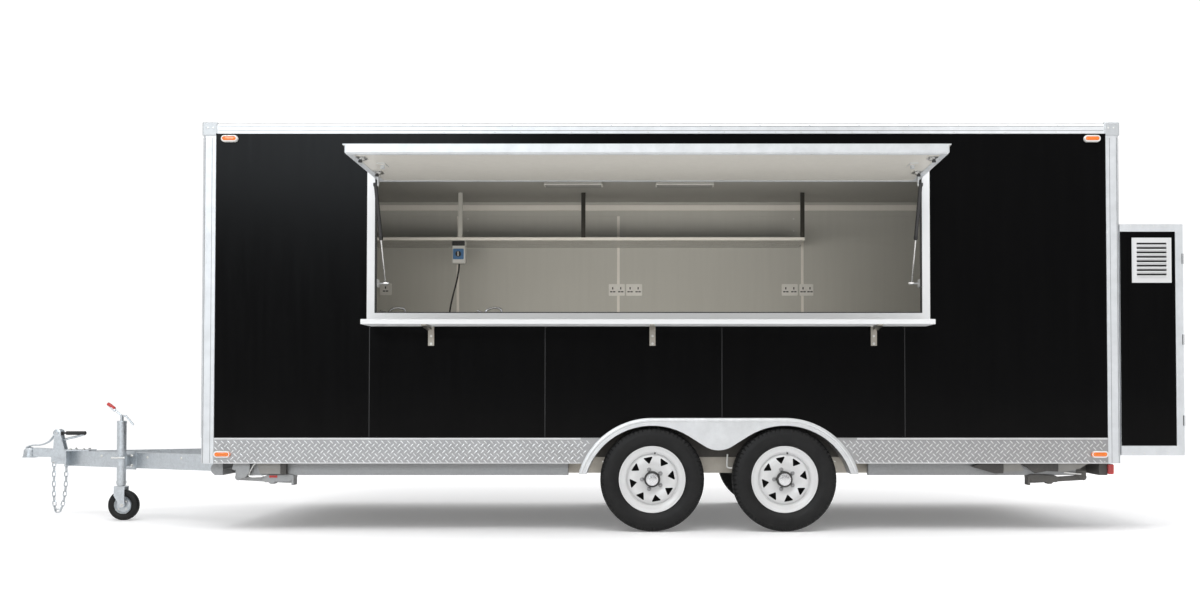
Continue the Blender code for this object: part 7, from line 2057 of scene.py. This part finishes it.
class TRAILER_OT_cabin(bpy.types.Operator):
    """Make sockets, coving, lights, taps, cupboards and floor sheet"""
    bl_idname = "trailer.cabin"
    bl_label = "Cabin"
    bl_options = {"REGISTER", "UNDO"}

    def execute(self, context):
        make_sockets()
        make_coving()
        make_ceiling_lights()
        make_shelf_supports()
        make_switch_details()
        make_tap()
        make_cupboards()
        make_floor_sheet()
        return {"FINISHED"}


class TRAILER_OT_road_wheels(bpy.types.Operator):
    """Make tyres, wheels, nuts, hub caps and mudguard trim"""
    bl_idname = "trailer.road_wheels"
    bl_label = "Road wheels"
    bl_options = {"REGISTER", "UNDO"}

    def execute(self, context):
        make_tyres()
        make_steel_wheels()
        make_wheel_fittings()
        make_guard_trim()
        return {"FINISHED"}


class TRAILER_OT_underside(bpy.types.Operator):
    """Make axle fittings, parts under the skirt and steady pads"""
    bl_idname = "trailer.underside"
    bl_label = "Underside"
    bl_options = {"REGISTER", "UNDO"}

    def execute(self, context):
        make_axle_fittings()
        make_under_parts()
        make_steady_pads()
        return {"FINISHED"}


class TRAILER_OT_drawbar(bpy.types.Operator):
    """Make coupling, clamp, jack and crank details"""
    bl_idname = "trailer.drawbar"
    bl_label = "Drawbar"
    bl_options = {"REGISTER", "UNDO"}

    def execute(self, context):
        make_coupling_details()
        make_clamp_details()
        make_jack_wheel()
        make_crank_grip()
        make_beam_bolts()
        return {"FINISHED"}


class TRAILER_OT_rear_end(bpy.types.Operator):
    """Make entry door, louvre and locker details"""
    bl_idname = "trailer.rear_end"
    bl_label = "Rear end"
    bl_options = {"REGISTER", "UNDO"}

    def execute(self, context):
        make_entry_details()
        make_locker_vent()
        make_locker_details()
        return {"FINISHED"}


class TRAILER_OT_stage(bpy.types.Operator):
    """Make the floor, the surround, the lamps and the camera"""
    bl_idname = "trailer.stage"
    bl_label = "Stage"
    bl_options = {"REGISTER", "UNDO"}

    def execute(self, context):
        make_stage()
        return {"FINISHED"}


OPERATORS = (
    TRAILER_OT_dress_body, TRAILER_OT_body_trim, TRAILER_OT_tread_plate, TRAILER_OT_lamps,
    TRAILER_OT_window, TRAILER_OT_cabin, TRAILER_OT_road_wheels, TRAILER_OT_underside,
    TRAILER_OT_drawbar, TRAILER_OT_rear_end, TRAILER_OT_stage)


class TRAILER_PT_build(bpy.types.Panel):
    """Lists the trailer's settings and making steps."""
    bl_label = "Food trailer"
    bl_idname = "TRAILER_PT_build"
    bl_space_type = "VIEW_3D"
    bl_region_type = "UI"
    bl_category = "Trailer"

    def draw(self, context):
        """Settings first, then a button for each step."""
        layout = self.layout
        for group in (context.scene.trailer_finish, context.scene.trailer_stage):
            for key in group.__annotations__:
                layout.prop(group, key)
        for made in OPERATORS:
            layout.operator(made.bl_idname)


CLASSES = (TrailerFinish, TrailerStage, *OPERATORS, TRAILER_PT_build)


def register():
    """Makes the settings and operators known to Blender."""
    for made in CLASSES:
        bpy.utils.register_class(made)
    bpy.types.Scene.trailer_finish = PointerProperty(type=TrailerFinish)
    bpy.types.Scene.trailer_stage = PointerProperty(type=TrailerStage)


def unregister():
    """Takes them away again."""
    del bpy.types.Scene.trailer_stage
    del bpy.types.Scene.trailer_finish
    for made in reversed(CLASSES):
        bpy.utils.unregister_class(made)


def main():
    """Makes every piece in order."""
    register()
    for made in OPERATORS:
        step = made.bl_idname.split(".")[1]
        getattr(bpy.ops.trailer, step)()


if __name__ == "__main__":
    main()
